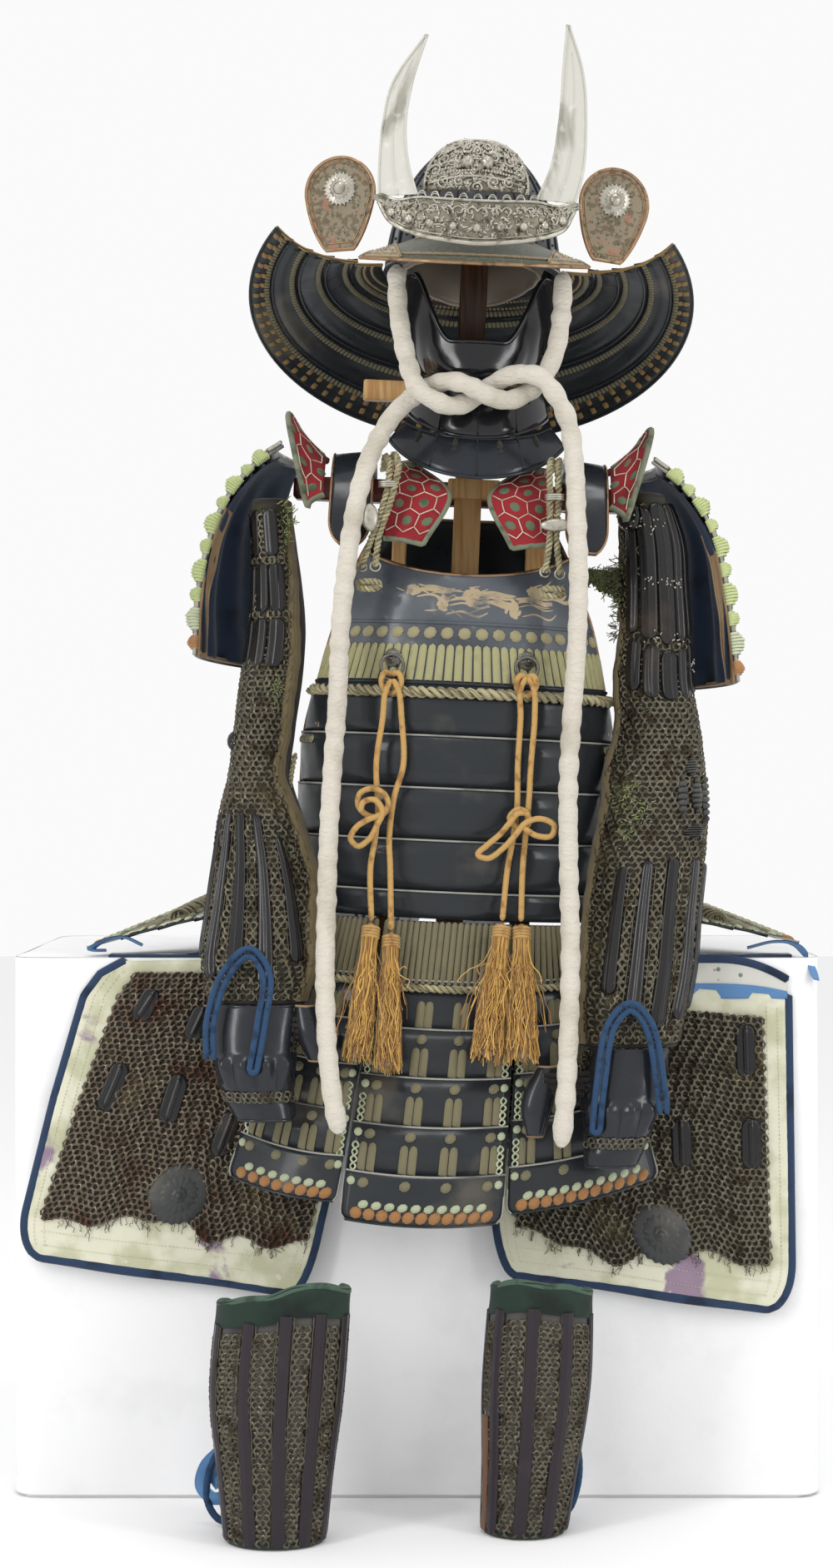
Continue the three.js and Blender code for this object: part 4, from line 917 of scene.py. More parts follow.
visorInside = trunkSpot(0, 0, 1200)
onVisor = onTrunk(visorSurface)
visor = Bundle()
wall(visor, onVisor, 8, 44, 2, visorInside)
edgeTube(visor, onVisor, 1.0, evenShares(121), visorInside, 2.1, -1, slot=1, around=10)
for edge in (0.0, 1.0):
    edgeTube(visor, onVisor, np.linspace(0.1, 1, 14), edge, visorInside, 2.2, -0.6, slot=1)
ropeInto(visor, facePoints(onVisor, 0.86, np.linspace(0.02, 0.98, 200), visorInside, 0.9), 1.6, 7, slot=2)
for corner, sign in ((0.0, 1), (1.0, -1)):  # stippled corner plates with a roped border
    cornerSurface = lambda s, t: onVisor(0.30 + 0.66 * s, corner + sign * (0.012 + t * (0.10 + 0.07 * s)))
    wall(visor, cornerSurface, 5, 8, 0.8, visorInside, lift=lambda s, t: 0.9 + 0 * s, slot=2)
    border = facePoints(onVisor, np.linspace(0.3, 0.96, 30), corner + sign * np.linspace(0.112, 0.182, 30),
                        visorInside, 1.4)
    ropeInto(visor, border, 1.3, 6, slot=2)
    chance = np.random.default_rng(4)
    s, t = chance.random(90), chance.random(90)
    dots = facePlaces(onVisor, 0.34 + 0.58 * s, corner + sign * (0.016 + t * (0.09 + 0.06 * s)), visorInside, 1.2)
    visor.copies(leafTemplate, dots, 0.9, slot=2)
bolts = facePlaces(onVisor, 0.25, [0.25, 0.42, 0.58, 0.75], visorInside, 0.3)
visor.copies(flowerTemplate, bolts, 4.6, slot=2)
piece = visor.build("curved peak", [visorShade, giltShade, goldShade])
finished(piece, "printed_leather", "visor")

# the crest: an openwork silver band with a horn at each end
horns = {
    "left": [(1394, -104, -64), (1425, -105, -74), (1468, -103, -79), (1511, -95, -74), (1561, -62, -60)],
    "right": [(1394, 62, 102), (1424, 74, 109), (1477, 82, 111), (1537, 84, 104), (1580, 86, 88)],
}


def crestY(x):
    return -196 + x * x / 420


def plateOn(bundle, points, front, thick, slot):  # a grid of (x, z) made into a curved plate
    x, z = points[..., 0], points[..., 1]
    y = crestY(x) - 1.2 - front
    face = leaned(vec(x, y - thick / 2, z))
    back = leaned(vec(x, y + thick / 2, z))
    bundle.grid(face, slot=slot)
    bundle.grid(back[:, ::-1], slot=slot)
    rim = lambda grid: np.concatenate([grid[0], grid[1:, -1], grid[-1, -2::-1], grid[-2:0:-1, 0]])
    edges = np.stack([rim(face), rim(back)])
    bundle.grid(edges, closedCols=True, slot=slot)


def crestTube(x, z, front, radius, around=6, slot=0, flat=1.0):  # a bead laid along the crest plate
    crest.tube(leaned(vec(x, crestY(x) - front, z)), radius, around, slot=slot, flat=flat)


crest = Bundle()
for side, sign in sides:
    table = horns[side]
    z = np.linspace(table[0][0], table[-1][0], 40)
    low, high = softly(table, 0, 1, z), softly(table, 0, 2, z)
    x = low[:, None] + (high - low)[:, None] * evenShares(9)[None]
    plateOn(crest, np.stack([x, np.repeat(z[:, None], 9, axis=1)], axis=-1), 0, 1.6, 1)
    crestTube(low, z, 2.4, 1.5, 8, slot=1)
    crestTube(high, z, 2.4, 1.5, 8, slot=1)
    crestTube(((low + high) / 2)[:34], z[:34], 1.9, np.linspace(1.5, 0.5, 34), 8, slot=1)
bandX = np.array([(-104, -84, -62, -32, 0, 32, 62, 84, 102), (-104, -90, -62, -32, 0, 32, 62, 90, 102)], float)
bandZ = np.array([(1396, 1389, 1391, 1389, 1388, 1389, 1391, 1389, 1396),
                  (1388, 1366, 1352, 1346, 1343, 1346, 1352, 1364, 1386)], float)
u = evenShares(80)
topLine, footLine = (np.stack([smooth(evenShares(9), axis[row], u) for axis in (bandX, bandZ)], axis=1) for row in (0, 1))
grid = topLine[None] + (footLine - topLine)[None] * np.linspace(0.04, 0.96, 8)[:, None, None]
# the solid ground plate behind the openwork, in silver darkened with painted shade
plateOn(crest, grid, -0.4, 0.8, 2)
for line, front, radius, around in ((footLine, 2.2, 2.4, 10), (topLine, 2.2, 1.5, 10),
                                    (mix(footLine, topLine, 0.12), 2.4, 0.9, 6)):
    crestTube(line[:, 0], line[:, 1], front, radius, around)


def facing(x, z, front):  # places on the crest that face the front
    points = leaned(vec(x, crestY(x) - front, z))
    normal = np.tile(unit(trunkSpot(0, -1000, 1370) - trunkSpot(0, 0, 1370)), (len(points), 1))
    along = np.tile(unit(trunkSpot(0, 0, 1) - trunkSpot(0, 0, 0)), (len(points), 1))
    return points, normal, along, np.cross(along, normal)


share = np.linspace(0.11, 0.89, 9)
x, z = (np.interp(share, u, mix(footLine, topLine, 0.36)[:, column]) for column in (0, 1))
crest.copies(flowerTemplate, facing(x, z, 2.0), 5.0)
crest.copies(knotTemplate, facing(x, z, 5.0), 1.9)
chance = np.random.default_rng(11)
for scroll in range(20):  # leaf scrolls between the rims, no two alike
    place = (scroll + 0.5) / 20
    x0 = np.interp(place, u, topLine[:, 0])
    z0 = np.interp(place, u, mix(footLine, topLine, 0.74)[:, 1])
    turn = 1 if scroll % 2 else -1
    angle = np.linspace(0, 1.6 * tau * 0.62, 20)
    radius = np.linspace(6.2, 1.0, 20) * chance.uniform(0.85, 1.1)
    crestTube(x0 + radius * np.cos(angle) * turn, z0 + radius * np.sin(angle) * 0.9, 2.3, np.linspace(1.3, 0.7, 20))


def randomSizes(count, *ranges):
    return np.stack([chance.uniform(low, high, count) for low, high in ranges], axis=1)


angles = chance.uniform(0, tau, 420)  # small chased leaves fill the ground
place, level = chance.uniform(0.03, 0.97, 420), chance.uniform(0.14, 0.94, 420)
low, high = np.interp(place, u, footLine[:, 1]), np.interp(place, u, topLine[:, 1])
places = turnedPlaces(facing(np.interp(place, u, topLine[:, 0]), mix(low, high, level), 1.8), angles)
crest.copies(leafTemplate, places, randomSizes(420, (0.9, 1.5), (2.2, 3.8), (1.0, 2.0)))
for end, outward in ((0, -1), (-1, 1)):  # leafy ends
    for leaf in range(5):
        base = mix(footLine, topLine, leaf / 4)[end]
        tip = base + np.array([outward * (5 + leaf % 2 * 2), 3.0 - leaf])
        crestTube(np.linspace(base[0] - outward * 8, tip[0], 12), np.linspace(base[1] - 2, tip[1], 12), 2.0,
                  2.6 * np.sin(np.linspace(0.5, 3.0, 12)) + 0.3, flat=0.5)
angle = np.linspace(0, math.pi, 10)
for row in range(2):  # upper scalloped edge
    for place in middles(17):
        x, z = np.interp(place, u, topLine[:, 0]), np.interp(place, u, topLine[:, 1]) + 1
        if abs(x) <= 60:
            crestTube(x + 4.2 * np.cos(angle), z + (3.6 + row * 2) * np.sin(angle), 2.2 + row * 0.5, 0.8)
finished(crest.build("silver crest", [silverShade, hornShade, recessShadedSilver]), "silver", "crest")


def ornamentSurface(s, t):
    side = 2 * t - 1
    high = np.asarray(s) * 0.995
    wide = 56 * np.sqrt(1 - high ** 2.4) + 1
    bulge = 24 * np.sqrt(np.maximum(0, 1 - 0.96 * side * side)) * np.sqrt(1 - 0.9 * high * high)
    return vec(wide * side - 2, -168 - bulge, 1400 + 58 * high)


ornamentInside = trunkSpot(0, 0, 1420)
onOrnament = onTrunk(ornamentSurface)
ornament = Bundle()
# the set-back ground, in silver darkened with painted shade
wall(ornament, onOrnament, 14, 28, 1.2, ornamentInside, lift=lambda s, t: -1.5 + 0 * s, slot=1)
rimPath = np.concatenate([facePoints(onOrnament, np.linspace(end, other, 40), end, ornamentInside)
                          for end, other in ((0.02, 0.98), (0.98, 0.02))])
ornament.tube(rimPath, 2.0, 8)
for high, size in ((0.10, 1.4), (0.42, 1.0), (0.80, 1.0)):  # arched ribs over the dome
    t = np.linspace(0.06, 0.94, 60)
    edgeTube(ornament, onOrnament, high + 0.16 * np.sin(math.pi * t), t, ornamentInside, size, 0.6)
for high in (0.22, 0.30):
    t = np.linspace(0.14, 0.86, 27)
    places = facePlaces(onOrnament, high + 0.15 * np.sin(math.pi * t), t, ornamentInside, 0.5)
    ornament.copies(knotTemplate, places, 1.7)
chance = np.random.default_rng(23)
spots = [(0.16, 0.20), (0.16, 0.34), (0.16, 0.66), (0.16, 0.80), (0.56, 0.16), (0.60, 0.32), (0.62, 0.68),
         (0.56, 0.84), (0.80, 0.36), (0.80, 0.64), (0.36, 0.10), (0.36, 0.90), (0.72, 0.50), (0.05, 0.50)]
for index, (high, place) in enumerate(spots):  # scrolls, each about its own eye
    turn = 1 if index % 2 else -1
    angle = np.linspace(0, 1.25 * tau, 26) + chance.uniform(0, tau)
    radius = np.linspace(8.0, 1.4, 26) * chance.uniform(0.75, 1.05)
    s = np.clip(high + radius * np.sin(angle) / 62, 0.01, 0.985)
    t = np.clip(place + turn * radius * np.cos(angle) / 118, 0.03, 0.97)
    edgeTube(ornament, onOrnament, s, t, ornamentInside, np.linspace(1.7, 0.9, 26), 0.9, around=6)
    ornament.copies(knotTemplate, facePlaces(onOrnament, s[-1:], t[-1:], ornamentInside, 0.9), 2.0)
bosses = facePlaces(onOrnament, 0.52, [0.40, 0.60], ornamentInside, 0.4)
ornament.copies(flowerTemplate, bosses, 7.2)
ornament.copies(knotTemplate, raisedPlaces(bosses, 6.0), 3.0)
places = turnedPlaces(facePlaces(onOrnament, chance.uniform(0.03, 0.95, 520), chance.uniform(0.03, 0.97, 520),
                                 ornamentInside, -0.6), chance.uniform(0, tau, 520))
ornament.copies(leafTemplate, places, randomSizes(520, (1.0, 1.7), (2.4, 4.4), (1.0, 2.2)))
for share in middles(15):  # leaf edge round the dome
    centre = rimPath[int(np.interp(share, evenShares(len(rimPath)), np.arange(len(rimPath))))]
    out = unit(centre - trunkSpot(-2, -168, 1405))
    line = np.linspace(centre - out * 4, centre + out * 2.4, 8)
    ornament.tube(line, 2.4 * np.sin(np.linspace(0.7, 2.9, 8)) + 0.3, 6, flat=0.6)
finished(ornament.build("pierced ornament", [silverShade, recessShadedSilver]), "silver", "crest_ornament")


# turnbacks: printed leather tongues with a gilt rim and a silver flower boss
def tongue(flatPlace, sign, back=0.0):  # (across, up) on the tongue's face to a place on the trunk
    x, z = flatPlace[..., 0], flatPlace[..., 1]
    y = np.full_like(x, -1.5 + back)
    turnY, turnZ = math.radians(4 * sign), math.radians(14 * sign)
    x, z = x * math.cos(turnY) + z * math.sin(turnY), -x * math.sin(turnY) + z * math.cos(turnY)
    x, y = x * math.cos(turnZ) - y * math.sin(turnZ), x * math.sin(turnZ) + y * math.cos(turnZ)
    return leaned(vec(x + 146 * sign, y - 134, z + 1404))


tongueRadius = 38
arc = np.radians(np.linspace(-8, 188, 50))
roundPart = np.stack([tongueRadius * np.cos(arc), tongueRadius * np.sin(arc)], axis=1)
bend = lambda a, b, c: np.array([(1 - k) ** 2 * a + 2 * k * (1 - k) * b + k * k * c for k in evenShares(14)])
outline = np.vstack([roundPart, bend(roundPart[-1], spot(-33, -42), spot(-17, -62))[1:],
                     bend(spot(14, -62), spot(30, -40), roundPart[0])[:-1]])
shares = np.array([1.0, 0.97, 0.8, 0.6, 0.4, 0.2, 0.02])
centre = spot(0, -6)
for side, sign in sides:
    turnback = Bundle()
    rings = centre + (outline - centre)[None] * shares[:, None, None]
    face = tongue(rings, sign)
    dish = 2.2 * (1 - shares)[:, None, None]
    turnback.grid(face + (tongue(rings, sign, 1.0) - face) * dish, closedCols=True)
    turnback.grid(tongue(rings, sign, 2.4)[::-1], closedCols=True)
    turnback.grid(np.stack([tongue(rings[0], sign, 2.4), face[0]]), closedCols=True)
    turnback.tube(tongue(outline * 0.985, sign, 0.4), 2.1, 8, closed=True, slot=1)
    turnback.tube(tongue(centre + (outline - centre) * 0.86, sign, 0.1), 0.7, 6, closed=True, slot=1)
    middle, above = np.zeros((1, 2)), np.array([[0.0, 1.0]])
    normal = unit(tongue(middle, sign, -1) - tongue(middle, sign))
    up = unit(tongue(above, sign) - tongue(middle, sign))
    for size, high, shape in ((17.0, 2.0, domeTemplate(72, 3, 24, 0.10)), (12.0, 4.6, domeTemplate(48, 3, 16, 0.10)),
                              (8.0, 8.0, domeTemplate(32, 5))):
        turnback.copies(shape, (tongue(above * 4, sign), normal, up, np.cross(up, normal)), (size, size, high), slot=2)
    piece = turnback.build(f"turned leather {side}", [leatherShade, giltShade, silverShade])
    finished(piece, "printed_leather", f"turnback_{side}")
print("helmet front done")

# the neck guard: five lames, laced to one another
guardRim = {"wide": 247.0, "deep": 176.0, "y": 4.0, "z": 1316.0, "slope": 0.72, "reach": 119.0, "topReach": 99.0}
guardTop = {"wide": 101.0, "deep": 123.0, "y": 5.0, "z": 1353.0, "slope": 0.03}
guardLames = 5


def guardSurface(s, t):
    s = np.asarray(s, float)
    angle = np.radians(mix(guardRim["topReach"], guardRim["reach"], s) * (2 * t - 1))
    wide = mix(guardTop["wide"], guardRim["wide"], s)
    deep = mix(guardTop["deep"], guardRim["deep"], s)
    y = mix(guardTop["y"], guardRim["y"], s) + deep * np.cos(angle)
    high = mix(guardTop["z"] - guardTop["slope"] * y, guardRim["z"] - guardRim["slope"] * y, s ** 1.12)
    return vec(wide * np.sin(angle), y, high)


guardInside = trunkSpot(0, 0, 1100)


for lame in range(guardLames):
    first, last = lame == 0, lame == guardLames - 1
    surface = lambda s, t: leaned(guardSurface(mix(lame / guardLames, min((lame + 1.16) / guardLames, 1), s), t))
    lift = lambda s, t: mix(0.0 if first else 5.5, 0.6 if last else -0.4, s)
    laced = lambda share, spots, thick=0.0: facePlaces(surface, share, spots, guardInside, lift(share, 0), thick)
    guard = Bundle()
    wall(guard, surface, 2, 80, 2, guardInside, lift=lift)
    edgeLine = facePoints(surface, 1.0, evenShares(91), guardInside, lift(1.0, 0) - 1)
    guard.tube(edgeLine, 1.7, 8, slot=1)
    for end in (0.0, 1.0):
        edgeTube(guard, surface, np.linspace(0.02, 0.98, 12), end, guardInside, 1.9, lift(0.5, 0) - 1, slot=2)
    beads = middles(int(pathLength(edgeLine) / 5.6))
    for share, thick in ((0.8, 0.0), (0.8, 2.0)) if first else ((0.30, 0.0), (0.78, 0.0), (0.36, 2.0)):
        guard.copies(laceShape, laced(share, beads, thick), (2.0, 3.4, 1.5), slot=3)
    if first:
        for share in (0.35, 0.6):
            guard.copies(knotTemplate, laced(share, beads, 2.0), 1.8, slot=4)
    if last:
        spots = middles(int(pathLength(edgeLine) / 17))
        for share in (0.52, 0.78):
            guard.copies(laceShape, laced(share, spots, 2.0), (3.2, 3.8, 2.2), slot=5)
            guard.copies(laceShape, turnedPlaces(laced(share, spots), 0.5), (2.6, 4.0, 1.8), slot=5)
    piece = guard.build(f"neck lame {lame + 1} laced",
                        [lameShade, blueBlackShade, brownLace, oliveLace, tanLace, brownLace])
    finished(piece, "black_lacquer", f"neck_lame_{lame + 1}")


# the liner: soft cotton whose lower edge sags lower towards the nape
def linerSurface(s, t):
    angle = tau * np.asarray(t)
    nape = np.maximum(0, np.cos(angle)) ** 2
    wide, deep = mix(87.0, 76.0, s), mix(108.0, 94.0, s)
    sag = 1.1 * np.sin(angle * 9 + 1) * np.sin(math.pi * s) + 0.8 * np.sin(angle * 17) * s
    return vec((wide + sag) * np.sin(angle), bowl["y"] + (deep + sag) * np.cos(angle),
               mix(1384.0, 1349 - 19 * nape, s))


liner = Bundle()
linerInside = trunkSpot(0, 5, 1340)
wall(liner, onTrunk(linerSurface), 8, 110, 2.4, linerInside, closed=True)
edgeTube(liner, onTrunk(linerSurface), 1.0, evenShares(111), linerInside, 2.1, -1.2, closed=True)
piece = finished(liner.build("soft liner", linerShade), "liner_cloth", "helmet_liner")
print("helmet done")


# ---------- half mask and throat guard ----------

maskRows = [{"s": 0, "wide": 84, "deep": 96, "reach": 96}, {"s": 0.5, "wide": 81, "deep": 100, "reach": 98},
            {"s": 0.8, "wide": 74, "deep": 100, "reach": 92}, {"s": 1, "wide": 62, "deep": 92, "reach": 84}]


def maskSurface(s, t):
    wide, deep, reach = (softly(maskRows, "s", column, s) for column in ("wide", "deep", "reach"))
    side = 2 * t - 1
    angle = np.radians(reach * side)
    notch = ease(np.abs(side), 0.2, 0.62)
    high = mix(mix(1256.0, 1334.0, notch), mix(1213.0, 1236.0, side * side), s)
    return vec(8 + wide * np.sin(angle), -14 - deep * np.cos(angle), high)


def maskRelief(s, t):  # full cheeks and a firm chin
    side = np.abs(2 * t - 1)
    cheek = np.exp(-((side - 0.56) / 0.16) ** 2 - ((s - 0.48) / 0.22) ** 2)
    crease = np.exp(-((side - 0.34 - 0.2 * s) / 0.035) ** 2) * ease(s, 0.1, 0.4)
    chin = np.exp(-(side / 0.16) ** 2 - ((s - 0.62) / 0.2) ** 2)
    return 3.2 * cheek - 1.4 * crease + 2.2 * chin


onMask = onTrunk(maskSurface)
maskInside = trunkSpot(8, 0, 1260)
mask = Bundle()
wall(mask, onMask, 24, 56, 2, maskInside, lift=maskRelief)
edgeTube(mask, onMask, 0.0, evenShares(121), maskInside, 3.0, -1, around=10)
edgeTube(mask, onMask, 1.0, evenShares(81), maskInside, 2.2, -1)
for end in (0.0, 1.0):
    edgeTube(mask, onMask, evenShares(20), end, maskInside, 1.8, -1)
knotsOn(mask, onMask, [0.2, 0.2, 0.75, 0.75], [0.06, 0.94, 0.1, 0.9], maskInside, (3, 3, 2), maskRelief)
finished(mask.build("half mask", maskShade), "black_lacquer", "face_mask")

throats = {
    "upper": {"wide": 76, "deep": 98, "y": -12, "flare": 10, "reach": 64, "high": 1206, "low": 1152, "rise": 16},
    "lower": {"wide": 92, "deep": 106, "y": -14, "flare": 18, "reach": 60, "high": 1150, "low": 1107, "rise": 22},
}


def throatSurface(lame):
    def surface(s, t):
        side = 2 * t - 1
        angle = np.radians(lame["reach"] * side)
        z = mix(lame["high"] + lame["rise"] * side ** 2, lame["low"] + 2 * lame["rise"] * side ** 2, s)
        return leaned(vec(12 + (lame["wide"] + lame["flare"] * s) * np.sin(angle),
                          lame["y"] - (lame["deep"] + lame["flare"] * s) * np.cos(angle), z))
    return surface


throatInside = trunkSpot(12, 0, 1150)
for name, lame in throats.items():
    surface = throatSurface(lame)
    guard = Bundle()
    wall(guard, surface, 6, 40, 2, throatInside, lift=lambda s, t: 1.2 * np.sin(math.pi * s))
    edgeTube(guard, surface, 1.0, evenShares(81), throatInside, 2.2, -1)
    edgeTube(guard, surface, 0.0, evenShares(81), throatInside, 1.6, -1)
    for end in (0.0, 1.0):
        edgeTube(guard, surface, evenShares(12), end, throatInside, 1.8, -1)
    knotsOn(guard, surface, 0.22, [0.16, 0.38, 0.62, 0.84], throatInside, (4.2, 3.4, 2.4), 1.0, slot=1)
    knotsOn(guard, surface, 0.36, [0.16, 0.38, 0.62, 0.84], throatInside, (3.4, 3.0, 2.0), 1.2, slot=1)
    lacesOn(guard, surface, 0.05, 0.2, [0.155, 0.38, 0.62, 0.845], throatInside, 3, 2, 0.6, slot=1)
    for seam in (0.27, 0.5, 0.73):
        edgeTube(guard, surface, np.linspace(0.02, 0.98, 14), seam, throatInside, 0.8, 0.9)
    shades = [maskShade if name == "upper" else blueBlackShade, darkClothShade]
    finished(guard.build(f"laced throat lame {name}", shades), "black_lacquer", f"throat_lame_{name}")
print("mask done")


# ---------- cuirass ----------

frontRows = [(1030, 147, 112, 50), (1000, 153, 121, 53), (957, 163, 128, 59), (925, 167, 130, 63),
             (880, 171, 131, 69), (838, 174, 131, 79), (800, 174, 131, 88), (718, 174, 129, 88), (634, 168, 124, 88)]
backRows = [(1082, 120, 96, 52), (1030, 147, 112, 56), (957, 163, 122, 62), (880, 171, 124, 72), (838, 174, 124, 82),
            (800, 174, 124, 91), (718, 174, 122, 91), (634, 168, 118, 91)]
plateEdges = [880, 830, 774, 718, 663]


def cuirassSurface(rows, front, dip):
    keys = [row[0] for row in rows]

    def surface(s, t):
        side = 2 * t - 1
        z = mix(float(rows[0][0]), waist["z"], np.asarray(s, float))
        wide, deep, reach = (smooth(keys, [row[c] for row in rows], z) for c in (1, 2, 3))
        angle = np.radians(reach * side)
        lowered = dip * (1 - side * side) * np.maximum(0, 1 - s * 8)
        return leaned(vec(waist["x"] + wide * np.sin(angle), front * deep * np.cos(angle), z - lowered))
    return surface


cuirassInside = leaned(np.array([waist["x"], 0.0, 800.0]))


def cuirassHalf(rows, front, dip):  # one half, and its height read as a share
    surface = cuirassSurface(rows, front, dip)
    at = lambda z: (rows[0][0] - z) / (rows[0][0] - waist["z"])
    half = Bundle()
    wall(half, surface, np.linspace(0, at(plateEdges[0] + 1), 22), 56, 2, cuirassInside)
    for upper, lower in zip(plateEdges, [*plateEdges[1:], waist["z"]]):
        rise = lambda s, t: 2.2 * (1 - (s - at(upper)) / (at(lower) - at(upper)))
        wall(half, surface, np.linspace(at(upper), at(lower), 4), 56, 2, cuirassInside, lift=rise, slot=1)
        # the raised rim at each plate joint is pale: rubbed lacquer and a painted highlight
        if upper != plateEdges[0]:
            edgeTube(half, surface, at(upper), evenShares(57), cuirassInside, 1.15, 1.7, slot=2)
    for end in (0.0, 1.0):
        edgeTube(half, surface, evenShares(60), end, cuirassInside, 2.0, -1, slot=3)
    edgeTube(half, surface, 0.0, evenShares(91), cuirassInside, 2.1, -1, slot=3)
    edgeTube(half, surface, at(951), np.linspace(0.01, 0.99, 91), cuirassInside, 2.0, 0.2)
    edgeTube(half, surface, at(886), evenShares(91), cuirassInside, 2.3, 1.0, slot=1)
    ropeInto(half, facePoints(surface, at(876), np.linspace(0.005, 0.995, 240), cuirassInside, 5.2), 6.4, 21, slot=4)
    width = pathLength(facePoints(surface, at(940), evenShares(60), cuirassInside))
    knotsOn(half, surface, at(940), middles(int(width / 17.4)), cuirassInside, (7.2, 6.6, 3.6), 0.4, 4, 0.2)
    lacesOn(half, surface, at(928), at(889), middles(int(width / 8.5)), cuirassInside, 4.15, 2.4, 0.4, 5, (1, 0))
    knotsOn(half, surface, at(822), [*np.linspace(0.02, 0.1, 5), *np.linspace(0.9, 0.98, 5)], cuirassInside,
            (5, 5, 2.6), 2, 4, 0.3)
    return half, surface, at


cuirassShades = [slateShade, lameShade, rubbedAndHighlitEdgeShade, giltShade, strawLace, oliveChestLace, goldShade]
chest, breastSurface, frontAt = cuirassHalf(frontRows, -1, 26)


def goldStroke(points, radius, count=24, bundle=chest, surface=breastSurface, at=frontAt):
    points = np.asarray(points, float)  # each a share across and a height
    path = curveThrough(np.stack([points[:, 0], 0 * points[:, 0], points[:, 1] * mm], axis=1))(evenShares(count))
    point, normal, along, across = facePlaces(surface, at(path[:, 2] * 1000), path[:, 0], cuirassInside, 0.15)
    width = radius * np.sin(np.linspace(0.25, math.pi - 0.25, count)) ** 0.6
    sideways = np.cross(tangentsOf(point), normal) * width[:, None]
    bundle.grid(np.stack([point + sideways, point + normal * 0.25, point - sideways]), slot=6)


chance = np.random.default_rng(31)
for place, high, size in ((0.30, 990, 1.0), (0.42, 972, 0.8), (0.52, 984, 1.15), (0.66, 968, 0.9), (0.76, 992, 0.95)):
    for arm in range(7):  # a curling cloud, laid from short brush strokes
        angle = arm / 7 * tau + chance.uniform(0, 0.4)
        reach = size * chance.uniform(0.018, 0.032)
        points = [(place + reach * k * math.cos(angle + k * 1.5), high + reach * 420 * k * math.sin(angle + k * 1.5))
                  for k in (0.1, 0.45, 0.8, 1.1)]
        goldStroke(points, 2.6 * size, 14)
    for streak in range(6):
        rise = chance.uniform(-12, 12)
        start = place + chance.uniform(0.01, 0.03)
        goldStroke([(start, high + rise), (start + 0.05, high + rise + 3), (start + 0.10, high + rise - 2),
                    (start + 0.135, high + rise + chance.uniform(-4, 5))], chance.uniform(0.8, 2.0), 16)
for spray in range(26):  # pine needles
    place, high = chance.uniform(0.2, 0.84), chance.uniform(962, 1004)
    angle = chance.uniform(-0.6, 0.6)
    goldStroke([(place, high), (place + 0.02 * math.cos(angle), high + 6 * math.sin(angle)),
                (place + 0.045 * math.cos(angle), high + 15 * math.sin(angle))], 0.8, 8)
for side, sign in sides:  # gold traces on the side plates
    for stroke in range(7):
        place = 0.5 + sign * chance.uniform(0.40, 0.47)
        high = chance.uniform(836, 868)
        goldStroke([(place, high), (place + 0.012, high + 5), (place + 0.02, high + chance.uniform(-6, 6))], 2.2, 8)
finished(chest.build("laced breastplate", cuirassShades), "slate_lacquer", "breastplate")
back, backSurface, backAt = cuirassHalf(backRows, 1, 0)
for place, high in ((0.3, 1010), (0.5, 990), (0.7, 1012)):
    for streak in range(9):
        rise = chance.uniform(-22, 22)
        goldStroke([(place - 0.06, high + rise), (place, high + rise + 5), (place + 0.07, high + rise)],
                   chance.uniform(1.0, 2.6), 16, back, backSurface, backAt)
finished(back.build("laced backplate", [lameShade, *cuirassShades[1:]]), "black_lacquer", "backplate")

sideRope = Bundle()  # the cord that ties the side plate
ropeInto(sideRope, route([(-132, -222, 812), (-136, -226, 790), (-139, -226, 760), (-136, -228, 735),
                          (-133, -228, 705)], 60), 3.2, 11)
finished(sideRope.build("side tie", strawLace), "ochre_silk")
print("cuirass done")


# ---------- shoulder straps, collar fronts and shoulder wings ----------

strapLine = curveThrough([(0, 104, 1096), (0, 72, 1128), (0, 24, 1136), (0, -30, 1140), (0, -82, 1116),
                          (0, -114, 1074), (0, -131, 1030)])


def strapSurface(sign):
    def surface(s, t):
        s, t = both(s, t)
        middle = strapLine(s)
        end = np.maximum(0, (s - 0.9) / 0.1)
        half = 23 * np.sqrt(1 - 0.8 * end * end)
        return leaned(vec(6 + sign * 127 + half * (2 * t - 1), middle[..., 1],
                          middle[..., 2] - 5 * (2 * t - 1) * sign * (1 - s)))
    return surface


def collarSurface(sign):
    held = curveThrough([(88, -66, 1126), (92, -102, 1088), (90, -128, 1040)])
    free = curveThrough([(64, -80, 1128), (22, -124, 1088), (48, -136, 1034)])

    def surface(s, t):
        s, t = both(s, t)
        across = mix(held(t), free(t), s[..., None])
        return leaned(vec(6 + sign * across[..., 0],
                          across[..., 1] - 10 * np.sin(math.pi * s) * np.sin(math.pi * t), across[..., 2]))
    return surface


def wingSurface(sign):
    held = curveThrough([(155, 6, 1136), (156, -44, 1130), (156, -92, 1088)])
    free = curveThrough([(178, 22, 1150), (198, -38, 1180), (172, -100, 1072)])

    def surface(s, t):
        s, t = both(s, t)
        across = mix(held(t), free(t), s[..., None])
        return leaned(vec(4 + sign * (across[..., 0] + 5 * np.sin(math.pi * s)), across[..., 1], across[..., 2]))
    return surface


